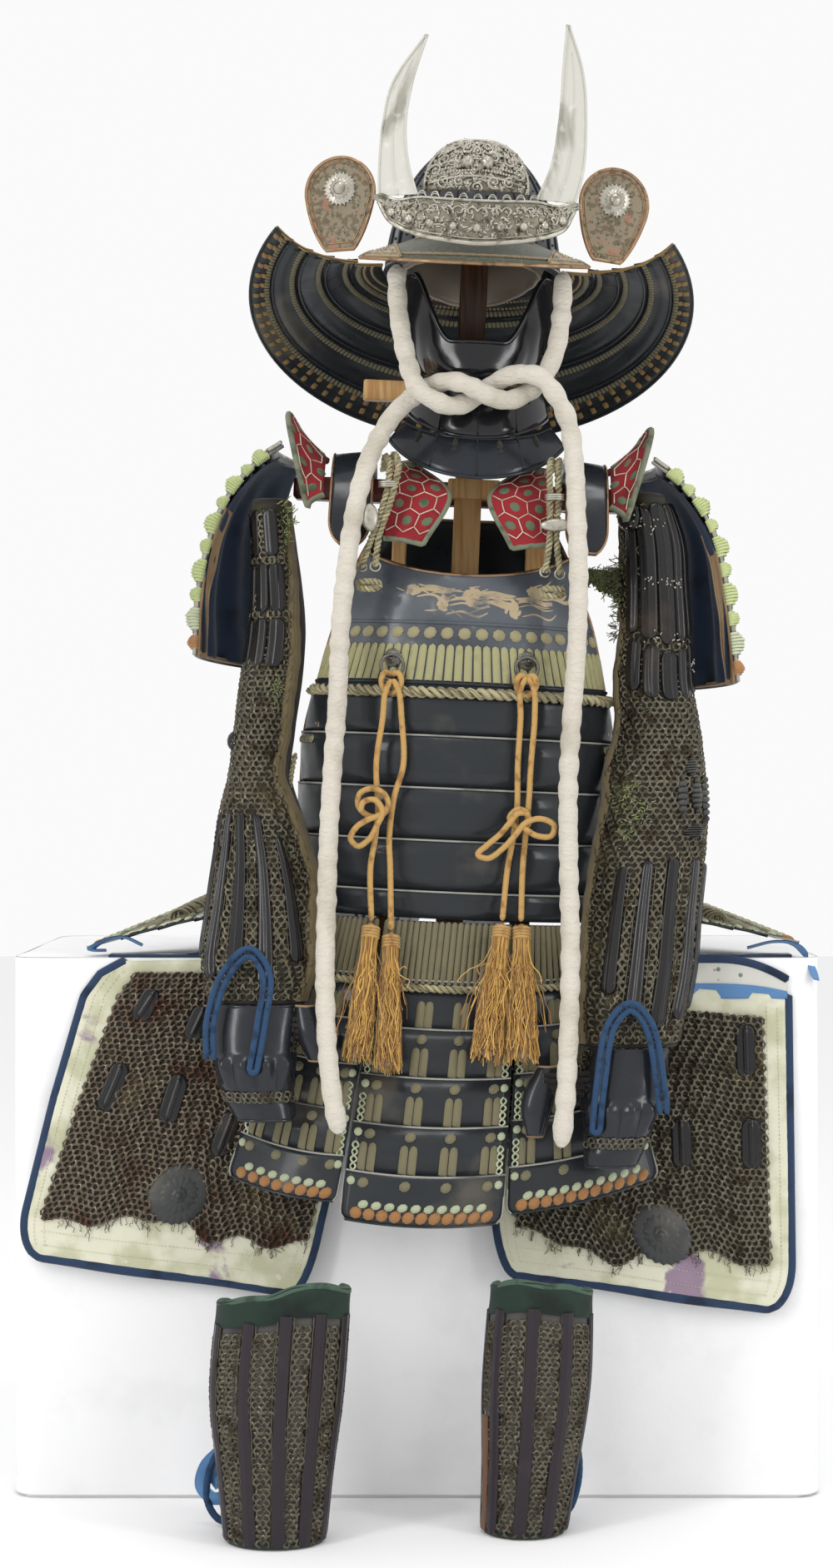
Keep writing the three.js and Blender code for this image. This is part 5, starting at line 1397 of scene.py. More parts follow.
def hexThreads(bundle, surface, sizeS, sizeT, inside, lift, thick):  # quilting in hexagons, a dot in each
    cell, thread, dot, shift = 25.0, 2, 3, (4.0, 8.0)
    done = set()
    radius = cell / math.sqrt(3)
    for row in range(-1, int(sizeT / (cell * 0.866)) + 2):
        for col in range(-1, int(sizeS / cell) + 2):
            a = (col + 0.5 * (row % 2)) * cell + shift[0]
            b = row * cell * 0.866 + shift[1]
            if 0.07 < a / sizeS < 0.93 and 0.05 < b / sizeT < 0.95:
                places = facePlaces(surface, a / sizeS, b / sizeT, inside, lift - 0.4, thick)
                bundle.copies(knotTemplate, places, (cell * 0.23, cell * 0.23, 1.3), dot)
            for edge in range(6):
                angles = [math.radians(30 + 60 * edge), math.radians(90 + 60 * edge)]
                ends = [(a + radius * math.cos(angle), b + radius * math.sin(angle)) for angle in angles]
                key = tuple(sorted((round(p[0]), round(p[1])) for p in ends))
                line = mix(*np.array(ends), evenShares(5)[:, None])
                s, t = line[:, 0] / sizeS, line[:, 1] / sizeT
                inField = (s > 0.03) & (s < 0.97) & (t > 0.02) & (t < 0.98)
                if key in done or inField.sum() < 3:
                    continue
                done.add(key)
                points = facePoints(surface, np.clip(s, 0.03, 0.97)[inField], np.clip(t, 0.02, 0.98)[inField],
                                    inside, lift + 0.2, thick)
                bundle.tube(points, 0.75, 5, slot=thread)


for side, sign in sides:
    inside = trunkSpot(sign * 127, 0, 1000)
    surface = strapSurface(sign)
    strap = Bundle()
    wall(strap, surface, 36, 10, 3, inside, lift=lambda s, t: 0.8 * np.sin(math.pi * t))
    for end in (0.02, 0.98):
        edgeTube(strap, surface, evenShares(70), end, inside, 1.5, 0.3, slot=1)
    edgeTube(strap, surface, 0.995, np.linspace(0.02, 0.98, 20), inside, 1.5, 0.3, slot=1)
    finished(strap.build(f"hinged strap {side}", [blueBlackShade, giltShade]),
             "black_lacquer", f"shoulder_strap_{side}")
    for name, surface, inside, lengths in (
            ("collar", collarSurface(sign), trunkSpot(sign * 60, 0, 1060), (66.0, 118.0)),
            ("shoulder wing", wingSurface(sign), trunkSpot(sign * 300, 0, 1000), (46.0, 128.0))):
        leaf = Bundle()
        puff = lambda s, t: (0.8 * np.sin(math.pi * np.clip(s, 0, 1)) * np.sin(math.pi * np.clip(t, 0, 1))
                             + 0.25 * np.sin(s * 21) * np.sin(t * 27))
        wall(leaf, surface, 18, 28, 5, inside, lift=puff)
        rim = [(evenShares(30), 0.0), (1.0, evenShares(50)), (np.linspace(1, 0, 30), 1.0)]
        leaf.tube(evenly(borderOf(surface, rim, inside, -2.5), 3), 3.3, 10, slot=1)
        for lift, thick in ((0.7, 0.0), (0.0, 5.0)):
            hexThreads(leaf, surface, *lengths, inside, lift, thick)
        piece = leaf.build(f"quilted {name} {side}", [redShade, greyGreenShade, threadShade, dotShade])
        finished(piece, "red_quilting", f"{name.replace(' ', '_')}_{side}")

# the braided shoulder cords, their toggles and eyelets
toggles = Bundle()
pairs = {
    "left": [[(-36, -246, 1118), (-33, -272, 1130), (-28, -288, 1118), (-33, -291, 1084), (-48, -290, 1040),
              (-58, -285, 1011)],
             [(-30, -240, 1114), (-24, -270, 1132), (-19, -290, 1118), (-27, -292, 1082), (-40, -290, 1042),
              (-44, -288, 1011)]],
    "right": [[(146, -244, 1116), (145, -268, 1126), (142, -288, 1116), (142, -289, 1080), (142, -288, 1040),
               (137, -286, 1005)],
              [(153, -240, 1114), (153, -266, 1126), (151, -286, 1114), (151, -287, 1080), (149, -286, 1042),
               (153, -284, 1003)]],
}
for side, sign in sides:
    for path in pairs[side]:
        ropeInto(toggles, route(path, 80), 3.9, 10, up=(0, 1, 0))
        end = np.array(path[-1], float)
        turn = fullTurn(16)
        toggles.tube(end + vec(5.2 * np.cos(turn), 1.0, 5.2 * np.sin(turn)), 1.5, 6, closed=True, slot=1)
turn = fullTurn(24)
for x, y, z, wide, tall in ((-49.5, -296, 1062, 9, 15), (148, -295, 1054, 17, 7)):  # oval toggles
    for away, high, face in ((0, 4.5, 1), (0.1, 2.0, -1)):
        place = (spot(x, y + away, z), spot(0, -face, 0), spot(0, 0, 1), spot(face, 0, 0))
        toggles.copies(domeTemplate(24, 5), place, (wide, tall, high), slot=1)
for x, z in ((-30, 1098), (147, 1084)):  # small metal keepers
    ring = vec(x + 9.5 * np.cos(turn), -290 + 6.5 * np.sin(turn), z)
    for rise in (-2.2, 0, 2.2):
        toggles.tube(ring + [0, 0, rise], 1.5, 6, closed=True, slot=1)
for x, z in ((-51, 991), (144.5, 983)):  # the cord's end, knotted flat on the chest
    for rise in (-3.6, 3.6):
        line = route([(x - 12, -283, z + rise * 0.4), (x - 6, -288, z + rise), (x + 6, -288, z + rise),
                      (x + 12, -283, z + rise * 0.4)], 30)
        ropeInto(toggles, line, 3.9, 10, up=(0, 1, 0))
finished(toggles.build("shoulder cords and toggles", [strawLace, silverShade]), "ochre_silk")
print("shoulders done")


# ---------- breast rings and tassels ----------

ringPlaces = {"left": (-69, 903), "right": (75, 906)}
for side, sign in sides:
    x, z = ringPlaces[side]
    y = -131 * math.sqrt(1 - ((x - waist["x"]) / 172) ** 2)
    ring = Bundle()
    turn = fullTurn(48)
    line = vec(x + 12 * np.cos(turn), y - 6.5 - 12 * np.sin(turn) * math.sin(math.radians(6)), z + 12 * np.sin(turn))
    ring.tube(leaned(line), 1.8, 10, closed=True)
    boss, up = trunkSpot(x, y - 0.5, z + 8), spot(0, 0, 1)
    normal = unit(spot((x - waist["x"]) * 0.75, y, 0))
    for size, high, shape in ((11.0, 3.4, domeTemplate(64, 4, 16, 0.05)), (7.6, 4.6, domeTemplate(48, 4, 12, 0.08)),
                              (3.2, 8.0, knotTemplate)):
        ring.copies(shape, (boss, normal, up, np.cross(up, normal)), (size, size, high))
    finished(ring.build(f"swinging ring {side}", roseShade), "silver", f"breast_ring_{side}")
    heads = Bundle()
    for turn in (-1, 1):  # the cord's two turns where it hitches to the ring
        points = [(1.5, -9, -30), (8.5, -12, -24), (10.5, -14, -15), (7, -14, -8), (2, -10, -9)]
        path = route([trunkSpot(x + turn * dx, y + dy, z + dz) for dx, dy, dz in points], 30)
        heads.tube(path, 3.2, 10)
    finished(heads.build(f"cord hitch {side}", ochreCordShade), "ochre_silk")

tasselProfile = [(0, 4), (4, 8.5), (13, 8.5), (18, 7), (60, 12), (146, 17)]
tassels = [("left_outer", (-48, -296.5, 629), (-63, -338, 482), 0.9),
           ("left_inner", (-27, -295.5, 619), (-30, -338, 474), 0.9),
           ("right_inner", (91, -296.5, 629), (72, -338, 482), 1.05),
           ("right_outer", (111.6, -295.5, 628), (110, -338, 482), 1.05)]
for seed, (name, top, foot, spread) in enumerate(tassels):
    chance = np.random.default_rng(50 + seed)
    top, foot = spot(*top), spot(*foot)
    axis = unit(foot - top)
    aside = unit(np.cross(axis, (0, 1, 0)))
    ahead = np.cross(axis, aside)
    radiusAt = lambda d: np.interp(d, [r[0] for r in tasselProfile],
                                   [r[1] * (spread if r[0] > 20 else 1) for r in tasselProfile])
    outFrom = lambda angle: aside * np.cos(angle)[:, None] + ahead * np.sin(angle)[:, None]
    tassel = Bundle()
    down = np.array([-2, 0, 3, 6, 10, 14, 18, 24, 40, 70, 100, 138.0])
    tassel.tube(top + axis * down[:, None], [2, 5, 8.2, 9, 9, 8.4, 6.8, 6.6, 7.5, 9, 10, 11], 20)
    for wrap in range(4):
        circle = top + axis * (3.5 + wrap * 3.2) + outFrom(fullTurn(24)) * 8.6
        tassel.tube(circle, 1.9, 6, closed=True, slot=1)
    for strand in range(230):
        angle = chance.uniform(0, tau)
        stray = chance.random() < 0.09
        length = chance.uniform(118, 150) if not stray else chance.uniform(60, 140)
        d = np.linspace(13, length, 9)
        away = radiusAt(d) * math.sqrt(chance.uniform(0.35, 1.1))
        if stray:
            away = away + ease(d, 20, length) * chance.uniform(6, 22)
        wave = chance.uniform(1.2, 3.2) * ease(d, 16, 60)
        pitch, phase = chance.uniform(13, 34), chance.uniform(0, tau)
        angles = angle + wave / np.maximum(away, 6) * np.sin(d / pitch * tau * 0.5 + phase) * 1.4
        out = away + wave * 0.5 * np.cos(d / pitch * tau * 0.6 + phase * 2)
        line = top + axis * d[:, None] + outFrom(angles) * out[:, None]
        if stray:
            line[:, 2] += ease(d, 40, length) * chance.uniform(0, 26)
        tassel.tube(line, chance.uniform(0.42, 0.7), 3, slot=2 if chance.random() < 0.5 else 3, caps=False)
    shades = [ochreShade, ochreCordShade, strandGold, strandBrown]
    finished(tassel.build(f"silk tassel {name}", shades), "ochre_silk", f"tassel_{name}")
print("tassels done")


# ---------- mail and splints --------------------

def tilted(template, angle):
    verts, faces, uvs = template
    turn = np.array([[math.cos(angle), 0, math.sin(angle)], [0, 1, 0], [-math.sin(angle), 0, math.cos(angle)]])
    return verts @ turn.T, faces, uvs


linkUp, linkDown = tilted(ringTemplate(), 0.42), tilted(ringTemplate(), -0.42)


def mailOn(bundle, surface, sRange, tRange, inside, pitch, lift=0.5, keep=None, slot=0, seed=0, size=0.60):
    chance = np.random.default_rng(seed)
    sLine = np.linspace(*sRange, 60)
    marks = marksAlong(facePoints(surface, sLine, sum(tRange) / 2, inside))
    rows = int(marks[-1] / (pitch * 0.86))
    allS, allT = [], []
    for row in range(rows):
        s = np.interp((row + 0.5) / rows * marks[-1], marks, sLine)
        count = max(2, int(pathLength(facePoints(surface, s, np.linspace(*tRange, 40), inside)) / pitch))
        t = tRange[0] + (tRange[1] - tRange[0]) * (np.arange(count) + 0.5 * (row % 2) + 0.25) / count
        allS.append(np.full(count, s))
        allT.append(t)
    s, t = np.concatenate(allS), np.concatenate(allT)
    if keep is not None:
        kept = keep(s, t)
        s, t = s[kept], t[kept]
    odd = np.arange(len(s)) % 2 == 0
    for template, chosen in ((linkUp, odd), (linkDown, ~odd)):
        turn = chance.normal(0, 0.25, chosen.sum())
        bundle.copies(template, turnedPlaces(facePlaces(surface, s[chosen], t[chosen], inside, lift), turn),
                      pitch * size * chance.uniform(0.92, 1.08, chosen.sum()), slot)


def splintOn(bundle, surface, s0, s1, t0, t1, inside, half, high, lift, slot, ridge, steps, ends=(1, 1)):
    share = softShares(steps)
    point, normal, along, across = facePlaces(surface, mix(s0, s1, share), mix(t0, t1, share), inside, lift)
    across = unit(np.cross(tangentsOf(point), normal))
    halves = mix(*(half if isinstance(half, tuple) else (half, half)), share)
    size = roundedEnds(share, pathLength(point), halves, ends, 0.02)
    u = np.array([-1, -0.97, -0.8, -0.4, -0.08, 0, 0.08, 0.4, 0.8, 0.97, 1])
    crown = np.array([0, 0.55, 0.78, 0.92, 1.0, 1 + ridge, 1.0, 0.92, 0.78, 0.55, 0])
    verts = (point[:, None] + across[:, None] * u[None, :, None] * (halves * size)[:, None, None]
             + normal[:, None] * (crown * high)[None, :, None] * np.sqrt(size)[:, None, None])
    bundle.grid(verts, slot=slot)


# ---------- thigh guards ----------

thighEdges = {
    "left": {
        "outer": [(0, -318, -220, 586), (0.05, -344, -221, 572), (0.12, -362, -222, 548), (0.47, -394, -228, 437),
                  (0.8, -420, -233, 331), (1, -436, -236, 268)],
        "inner": [(0, -40, -220, 590), (1, -122, -236, 226)],
        "waves": 4,
    },
    "right": {
        "outer": [(0, 405, -220, 548), (1, 408, -236, 204)],
        "inner": [(0, 60, -220, 575), (1, 92, -236, 250)],
        "waves": 5,
    },
}


def thighSurface(side):
    edges = thighEdges[side]

    def line(rows, s):
        keys = [row[0] for row in rows]
        return np.stack([np.interp(s, keys, [row[c] for row in rows]) for c in (1, 2, 3)], axis=-1)

    def surface(s, t):
        s, t = both(s, t)
        rounding = np.maximum(0, (s - 0.84) / 0.16)
        inset = 0.1 * (1 - np.sqrt(np.maximum(0, 1 - rounding * rounding * 0.98)))
        place = mix(line(edges["outer"], s), line(edges["inner"], s), mix(inset, 1 - inset * 0.5, t)[..., None])
        place[..., 1] += edges["waves"] * s * np.cos(tau * (t * 1.3 + 0.1))
        return place
    return surface


thighInside = np.array([0.0, 0.0, 400.0])
ribbed = {"left": [(0.10, 0.20, 0.24, 0.21), (0.15, 0.26, 0.43, 0.41), (0.34, 0.50, 0.20, 0.18), (0.37, 0.53, 0.41, 0.40),
                   (0.48, 0.62, 0.62, 0.60)],
          "right": [(0.10, 0.27, 0.14, 0.14), (0.14, 0.30, 0.42, 0.42), (0.42, 0.58, 0.36, 0.36), (0.40, 0.56, 0.13, 0.13)]}
bossSpots = {"left": (0.745, 0.50), "right": (0.80, 0.44)}
patchEnds = {"left": (0.055, 0.84, 0.125, 0.97), "right": (0.085, 0.86, 0.085, 0.93)}
waveShift = {"left": 0.4, "right": 2.2}
for side, sign in sides:
    surface = thighSurface(side)
    panel = Bundle()
    sTop, sFoot, tOut, tIn = patchEnds[side]

    def footOf(t):  # the mail's uneven lower edge
        return (sFoot + 0.012 * np.sin(t * 31 + waveShift[side]) + 0.03 * np.exp(-((t - 0.62) / 0.08) ** 2)
                + 0.022 * np.sin(t * 9 + waveShift[side]))

    def quilting(s, t):  # stitched lines round the border, uneven puffs between them
        channels = 0.55 * np.abs(np.sin(s * 78)) + 0.35 * np.sin(t * 64 + 2 * np.sin(s * 13))
        folds = 1.2 * np.sin(t * 5.2 + 1 + 2.4 * s) * s
        return 0.35 * channels + folds * 0.6

    wall(panel, surface, 56, 56, 4, thighInside, lift=quilting)
    rim = [(evenShares(60), 0.0), (1.0, evenShares(60)[1:-1]), (np.linspace(1, 0, 60), 1.0)]
    panel.tube(evenly(borderOf(surface, rim, thighInside, -2), 5), 5.2, 12, slot=1, flat=0.62, up=(0, 1, 0))
    piece = panel.build(f"quilted thigh guard {side}", [silkShade, navyShade])
    finished(piece, "quilted_silk", f"thigh_guard_{side}")
    size = (0.40, 0.375) if side == "left" else (0.34, 0.36)

    cloth = Bundle()
    stitch = np.array([0, 0.006])
    for inset in (0.035, 0.07):  # running stitches beside the binding
        lines = [(start + stitch, t) for start in np.linspace(0.04, 0.95, 74) for t in (inset, 1 - inset * 0.8)]
        lines += [(1 - inset * 1.3, start + stitch) for start in np.linspace(0.06, 0.94, 70)]
        for s, t in lines:
            cloth.tube(facePoints(surface, s, t, thighInside, 0.8), 0.35, 4, slot=4, caps=False)
    patch = lambda s, t: surface(mix(sTop - 0.008, footOf(t) + 0.004, s), t)
    tFrom = lambda s: mix(tOut, tOut * (0.45 if side == "left" else 0.9), s)
    backing = lambda s, t: patch(s, mix(tFrom(s), tIn, t))
    wall(cloth, backing, 16, 28, 0.8, thighInside, lift=lambda s, t: 2.2 + 0.5 * np.sin(s * 40) * np.sin(t * 37))
    wavy = lambda s, t: backing(np.clip(s, 0, 1), t)
    spots = ribbed[side]

    def clear(s, t):
        real = mix(sTop, footOf(mix(tFrom(s), tIn, t)), s)
        across = mix(tFrom(s), tIn, t)
        kept = np.ones(s.shape, bool)
        for s0, s1, t0, t1 in spots:
            middle = np.interp(real, [s0, s1], [t0, t1])
            kept &= ~((real > s0) & (real < s1) & (np.abs(across - middle) < 0.034))
        bs, bt = bossSpots[side]
        kept &= ((real - bs) * 370) ** 2 + ((across - bt) * 315) ** 2 > 31 ** 2
        return kept
    mailOn(cloth, wavy, (0.0, 1.0), (0.0, 1.0), thighInside, 7.2, 3.3, clear, 1, seed=7 + sign, size=0.61)
    for s0, s1, t0, t1 in spots:  # small ribbed plates, each with a raised middle
        splintOn(cloth, surface, s0, s1, t0, t1, thighInside, 11, 2.6, 2.6, slot=2, ridge=0.5, steps=14)
        splintOn(cloth, surface, s0 + 0.012, s1 - 0.012, t0, t1, thighInside, 3.2, 2.4, 4.8, slot=2, ridge=0.2, steps=14)
    for size, high, rise, shape in ((33, 5.0, 2.4, domeTemplate(96, 5, 24, 0.035)),
                                    (22, 6.0, 4.0, domeTemplate(72, 5, 16, 0.06)),
                                    (11, 8.0, 5.2, domeTemplate(32, 5, 8, 0.06)), (4.5, 4.0, 12.0, knotTemplate)):
        cloth.copies(shape, facePlaces(surface, *bossSpots[side], thighInside, rise), (size, size, high), slot=3)
    chance = np.random.default_rng(60 + sign)
    for fringe in range(70):  # loose links and threads along the ragged edge
        t = chance.uniform(tOut, tIn)
        s = footOf(t) + chance.uniform(-0.002, 0.012)
        line = facePoints(surface, s, t, thighInside, 2.4) + np.cumsum(chance.normal(0, 1.3, (6, 3)) * (1, 0.25, 1) + (0, 0, -1.6), axis=0)
        cloth.tube(line, 0.4, 4, slot=1 if fringe % 3 else 0, caps=False)
    shades = [mailClothShade, rustShade if side == "left" else ironShade, splintShade, bossShade, threadShade]
    finished(cloth.build(f"thigh mail {side}", shades), "mail_cloth")

# the waistband, the flowered yoke under it and the blue ties
band = Bundle()
bandLine = curveThrough([(-336, -201, 0), (-180, -205, 0), (40, -203, 0), (240, -205, 0), (410, -201, 0)])
bandSurface = lambda s, t: bandLine(both(s, t)[1]) + vec(0, mix(-9.0, 9.0, np.asarray(s, float)), plinth["high"] + 4.4)
bandInside = np.array([0.0, -203.0, 0.0])
wall(band, bandSurface, 3, 64, 4, bandInside, lift=lambda s, t: 0.5 * np.sin(t * 90) * np.sin(math.pi * s))
for edge in (0.0, 1.0):
    edgeTube(band, bandSurface, edge, evenShares(80), bandInside, 2.6, -2, slot=1)
finished(band.build("waistband", [floralShade, navyShade]), "quilted_silk", "thigh_guard_waistband")


def yokeSurface(s, t):
    corner = np.clip((t - 0.45) / 0.55, 0, 1)
    return vec(mix(272, 404, t), -219.5 + 0 * s + 0 * t - 1.2 * np.sin(t * 14),
               mix(588.0, 545.0, s) - 22 * corner ** 2 * (1 - s))


yoke = Bundle()
yokeInside = spot(0, 0, 500)
wall(yoke, yokeSurface, 10, 40, 1.6, yokeInside)
wall(yoke, lambda s, t: yokeSurface(0.62 + 0.38 * s, t), 6, 40, 1.0, yokeInside, lift=lambda s, t: 1.2 + 0 * s, slot=1)
rim = facePoints(yokeSurface, 0.0, np.linspace(0.2, 1, 40), yokeInside)
yoke.tube(rim, 4.4, 10, slot=2, flat=0.5, up=(0, 1, 0))
finished(yoke.build("flowered yoke", [floralShade, skyShade, navyShade]), "quilted_silk")
ties = Bundle()
for points in ([(-300, -206, 603), (-322, -208, 612), (-346, -206, 606), (-356, -203, 598), (-340, -202, 597)],
               [(362, -206, 600), (392, -208, 607), (414, -207, 604), (428, -204, 590), (436, -219, 566)],
               [(-250, -209, 592), (-220, -212, 596), (-190, -213, 594), (-170, -212, 590)]):
    path = route(points, 60)
    up = np.tile([0.0, 0.3, 1.0], (len(path), 1))
    sideways = unit(np.cross(tangentsOf(path), up))
    ribbon = np.stack([path + sideways * w for w in (-5.5, -2, 2, 5.5)], axis=1)
    ties.grid(ribbon)
    ties.grid(ribbon[:, ::-1] - [0, 0, 1.0])
finished(ties.build("blue ties", skyShade), "quilted_silk")
print("thigh guards done")


# ---------- tassets ----------

tassets = [
    ("front_center", -25, 25, trunkSpot(-99, -186, 320), trunkSpot(72, -186, 322), 12),
    ("front_left", -58, -27, trunkSpot(-221, -128, 352), trunkSpot(-102, -178, 336), 10),
    ("front_right", 27, 58, trunkSpot(76, -178, 330), trunkSpot(240, -128, 370), 10),
    ("side_left", -101, -61, spot(-258, -18, 640), spot(-366, -196, 598), 4),
    ("side_right", 61, 101, spot(424, -196, 604), spot(330, -18, 640), 4),
    ("back_left", -177, -103, spot(-4, 208, 600), spot(-226, 40, 634), -12),
    ("back_right", 103, 177, spot(290, 40, 634), spot(40, 208, 600), -12),
]


def tassetSurface(start, end, hemStart, hemEnd, bow, far):
    def surface(s, t):
        s, t = both(s, t)
        angle = np.radians(mix(start, end, t))
        held = leaned(vec(waist["x"] + (waist["wide"] + 1) * np.sin(angle), -(waist["deep"] + 1) * np.cos(angle),
                          waist["z"] - 2.5))
        hem = mix(hemStart, hemEnd, t[..., None])
        hem[..., 1] -= bow * (1 - (2 * t - 1) ** 2)
        place = mix(held, hem, s[..., None])
        place[..., 1] -= 5 * np.sign(bow) * np.sin(math.pi * s) * (1 if abs(bow) > 4 else 0)
        place[..., 2] += 14 * np.sin(math.pi * np.maximum(s, 0) ** 0.7) if far else -5 * s * (1 - (2 * t - 1) ** 2)
        return place
    return surface


laceTop, tassetLames = 0.2, 5
for name, start, end, hemStart, hemEnd, bow in tassets:
    far = abs(start) > 60  # at a side or behind
    surface = tassetSurface(start, end, hemStart, hemEnd, bow, far)
    inside = np.array([body["x"], body["y"], 200.0 if far else 500.0])
    tasset = Bundle()
    width = lambda s: pathLength(surface(np.full(30, s), evenShares(30)))
    # a near-black cloth sheet behind the hanging laces: painted shade for the dark gaps between them
    hidden = lambda s, t: surface(mix(0.0, laceTop, s), mix(0.06, 0.94, t))
    wall(tasset, hidden, 2, 14, 1.0, inside, lift=lambda s, t: -1.4 + 0 * s, slot=7)
    lacesOn(tasset, surface, 0.0, laceTop + 0.012, middles(int(width(0.1) / 6.6)), inside, 3.1, 2.6, 0.6, 2, (1, 0), 8)
    step = (1 - laceTop) / tassetLames
    pairShift = 4.7 / width(0.6)
    columns = [0.13, 0.32, 0.5, 0.68, 0.86] if far else [0.118, 0.378, 0.632, 0.89]
    for lame in range(tassetLames):
        first, last = lame == 0, lame == tassetLames - 1

        def plate(s, t):  # the lowest one has round lower corners
            s, t = both(s, t)
            inset = 0.035 * (1 - np.sqrt(np.clip(1 - np.maximum(0, (s - 0.72) / 0.28) ** 2, 0, 1))) if last else 0
            return surface(mix(laceTop + lame * step, laceTop + (lame + 1) * step, s), mix(inset, 1 - inset, t))
        rise = lambda s, t: 2.4 * (1 - np.minimum(s, 1))
        wall(tasset, plate, 8 if last else 2, 20, 2, inside, lift=rise)
        # each lame's top rim is pale: rubbed lacquer and a painted highlight
        edgeTube(tasset, plate, 0.0, evenShares(24), inside, 1.25, 1.6, slot=1)
        for end in (0.0, 1.0):
            edgeTube(tasset, plate, evenShares(12), end, inside, 1.15, 0.4, slot=1 if last else 0)
        if last:
            edgeTube(tasset, plate, 1.0, evenShares(30), inside, 1.5, -0.8)
        if first:
            ropeInto(tasset, facePoints(plate, 0.17, np.linspace(0.01, 0.99, 90), inside, 4.4), 4.6, 15, slot=3)
        for column in columns:
            if not first:
                knotsOn(tasset, plate, 0.21, column, inside, (6.2, 5.4, 3.2), rise(0.21, 0) + 0.2, 8)
            if not last:
                lacesOn(tasset, plate, 0.42 if first else 0.38, 1.04, [column - pairShift, column + pairShift], inside,
                        4.4, 2.9, lambda s, t: rise(s, t) + 0.2, 2, (1, 0))
        for column in (0.042, 0.96):
            if not first:
                knotsOn(tasset, plate, 0.20, column, inside, (4.6, 4.6, 2.6), rise(0.20, 0) + 0.2, 4, 0.4)
            if not last:
                braidOn(tasset, plate, 0.44 if first else 0.40, 1.02, column, inside, 3.2, 7.5, 1.35,
                        lambda s, t: rise(s, t) + 0.4, slot=4)
        if last:
            count = int(width(0.97) / 14.6)
            spots = 0.055 + 0.89 * (np.arange(count) + 0.5) / count
            knotsOn(tasset, plate, 0.83, spots, inside, (7.2, 6.0, 3.2), rise(0.83, 0) + 0.2, 5, 0.7)
            spots = 0.055 + 0.89 * (np.arange(count - 1) + 1.0) / count
            knotsOn(tasset, plate, 0.645, spots, inside, (5.8, 4.4, 3.0), rise(0.645, 0) + 0.4, 4, 0.4)
    if name.startswith("side"):  # one loose row of loops lies over the laces
        chance = np.random.default_rng(3)
        angle = np.linspace(0, math.pi, 12)[:, None]
        for loop in range(12):
            point, normal, along, across = facePlaces(surface, 0.62, 0.12 + loop * 0.065, inside, 3)
            line = point + along * (10 * np.cos(angle)) + normal * (9 * np.sin(angle))
            tasset.tube(line + across * chance.uniform(-3, 3), 2.6, 6, slot=2)
    shades = [lameShade, rubbedAndHighlitEdgeShade, oliveLace, strawLace, paleLace, orangeLace, limeLace, darkClothShade, oliveKnot]
    finished(tasset.build(f"tasset {name} laced", shades), "black_lacquer", f"tasset_{name}")
print("tassets done")


# ---------- shoulder guards ----------

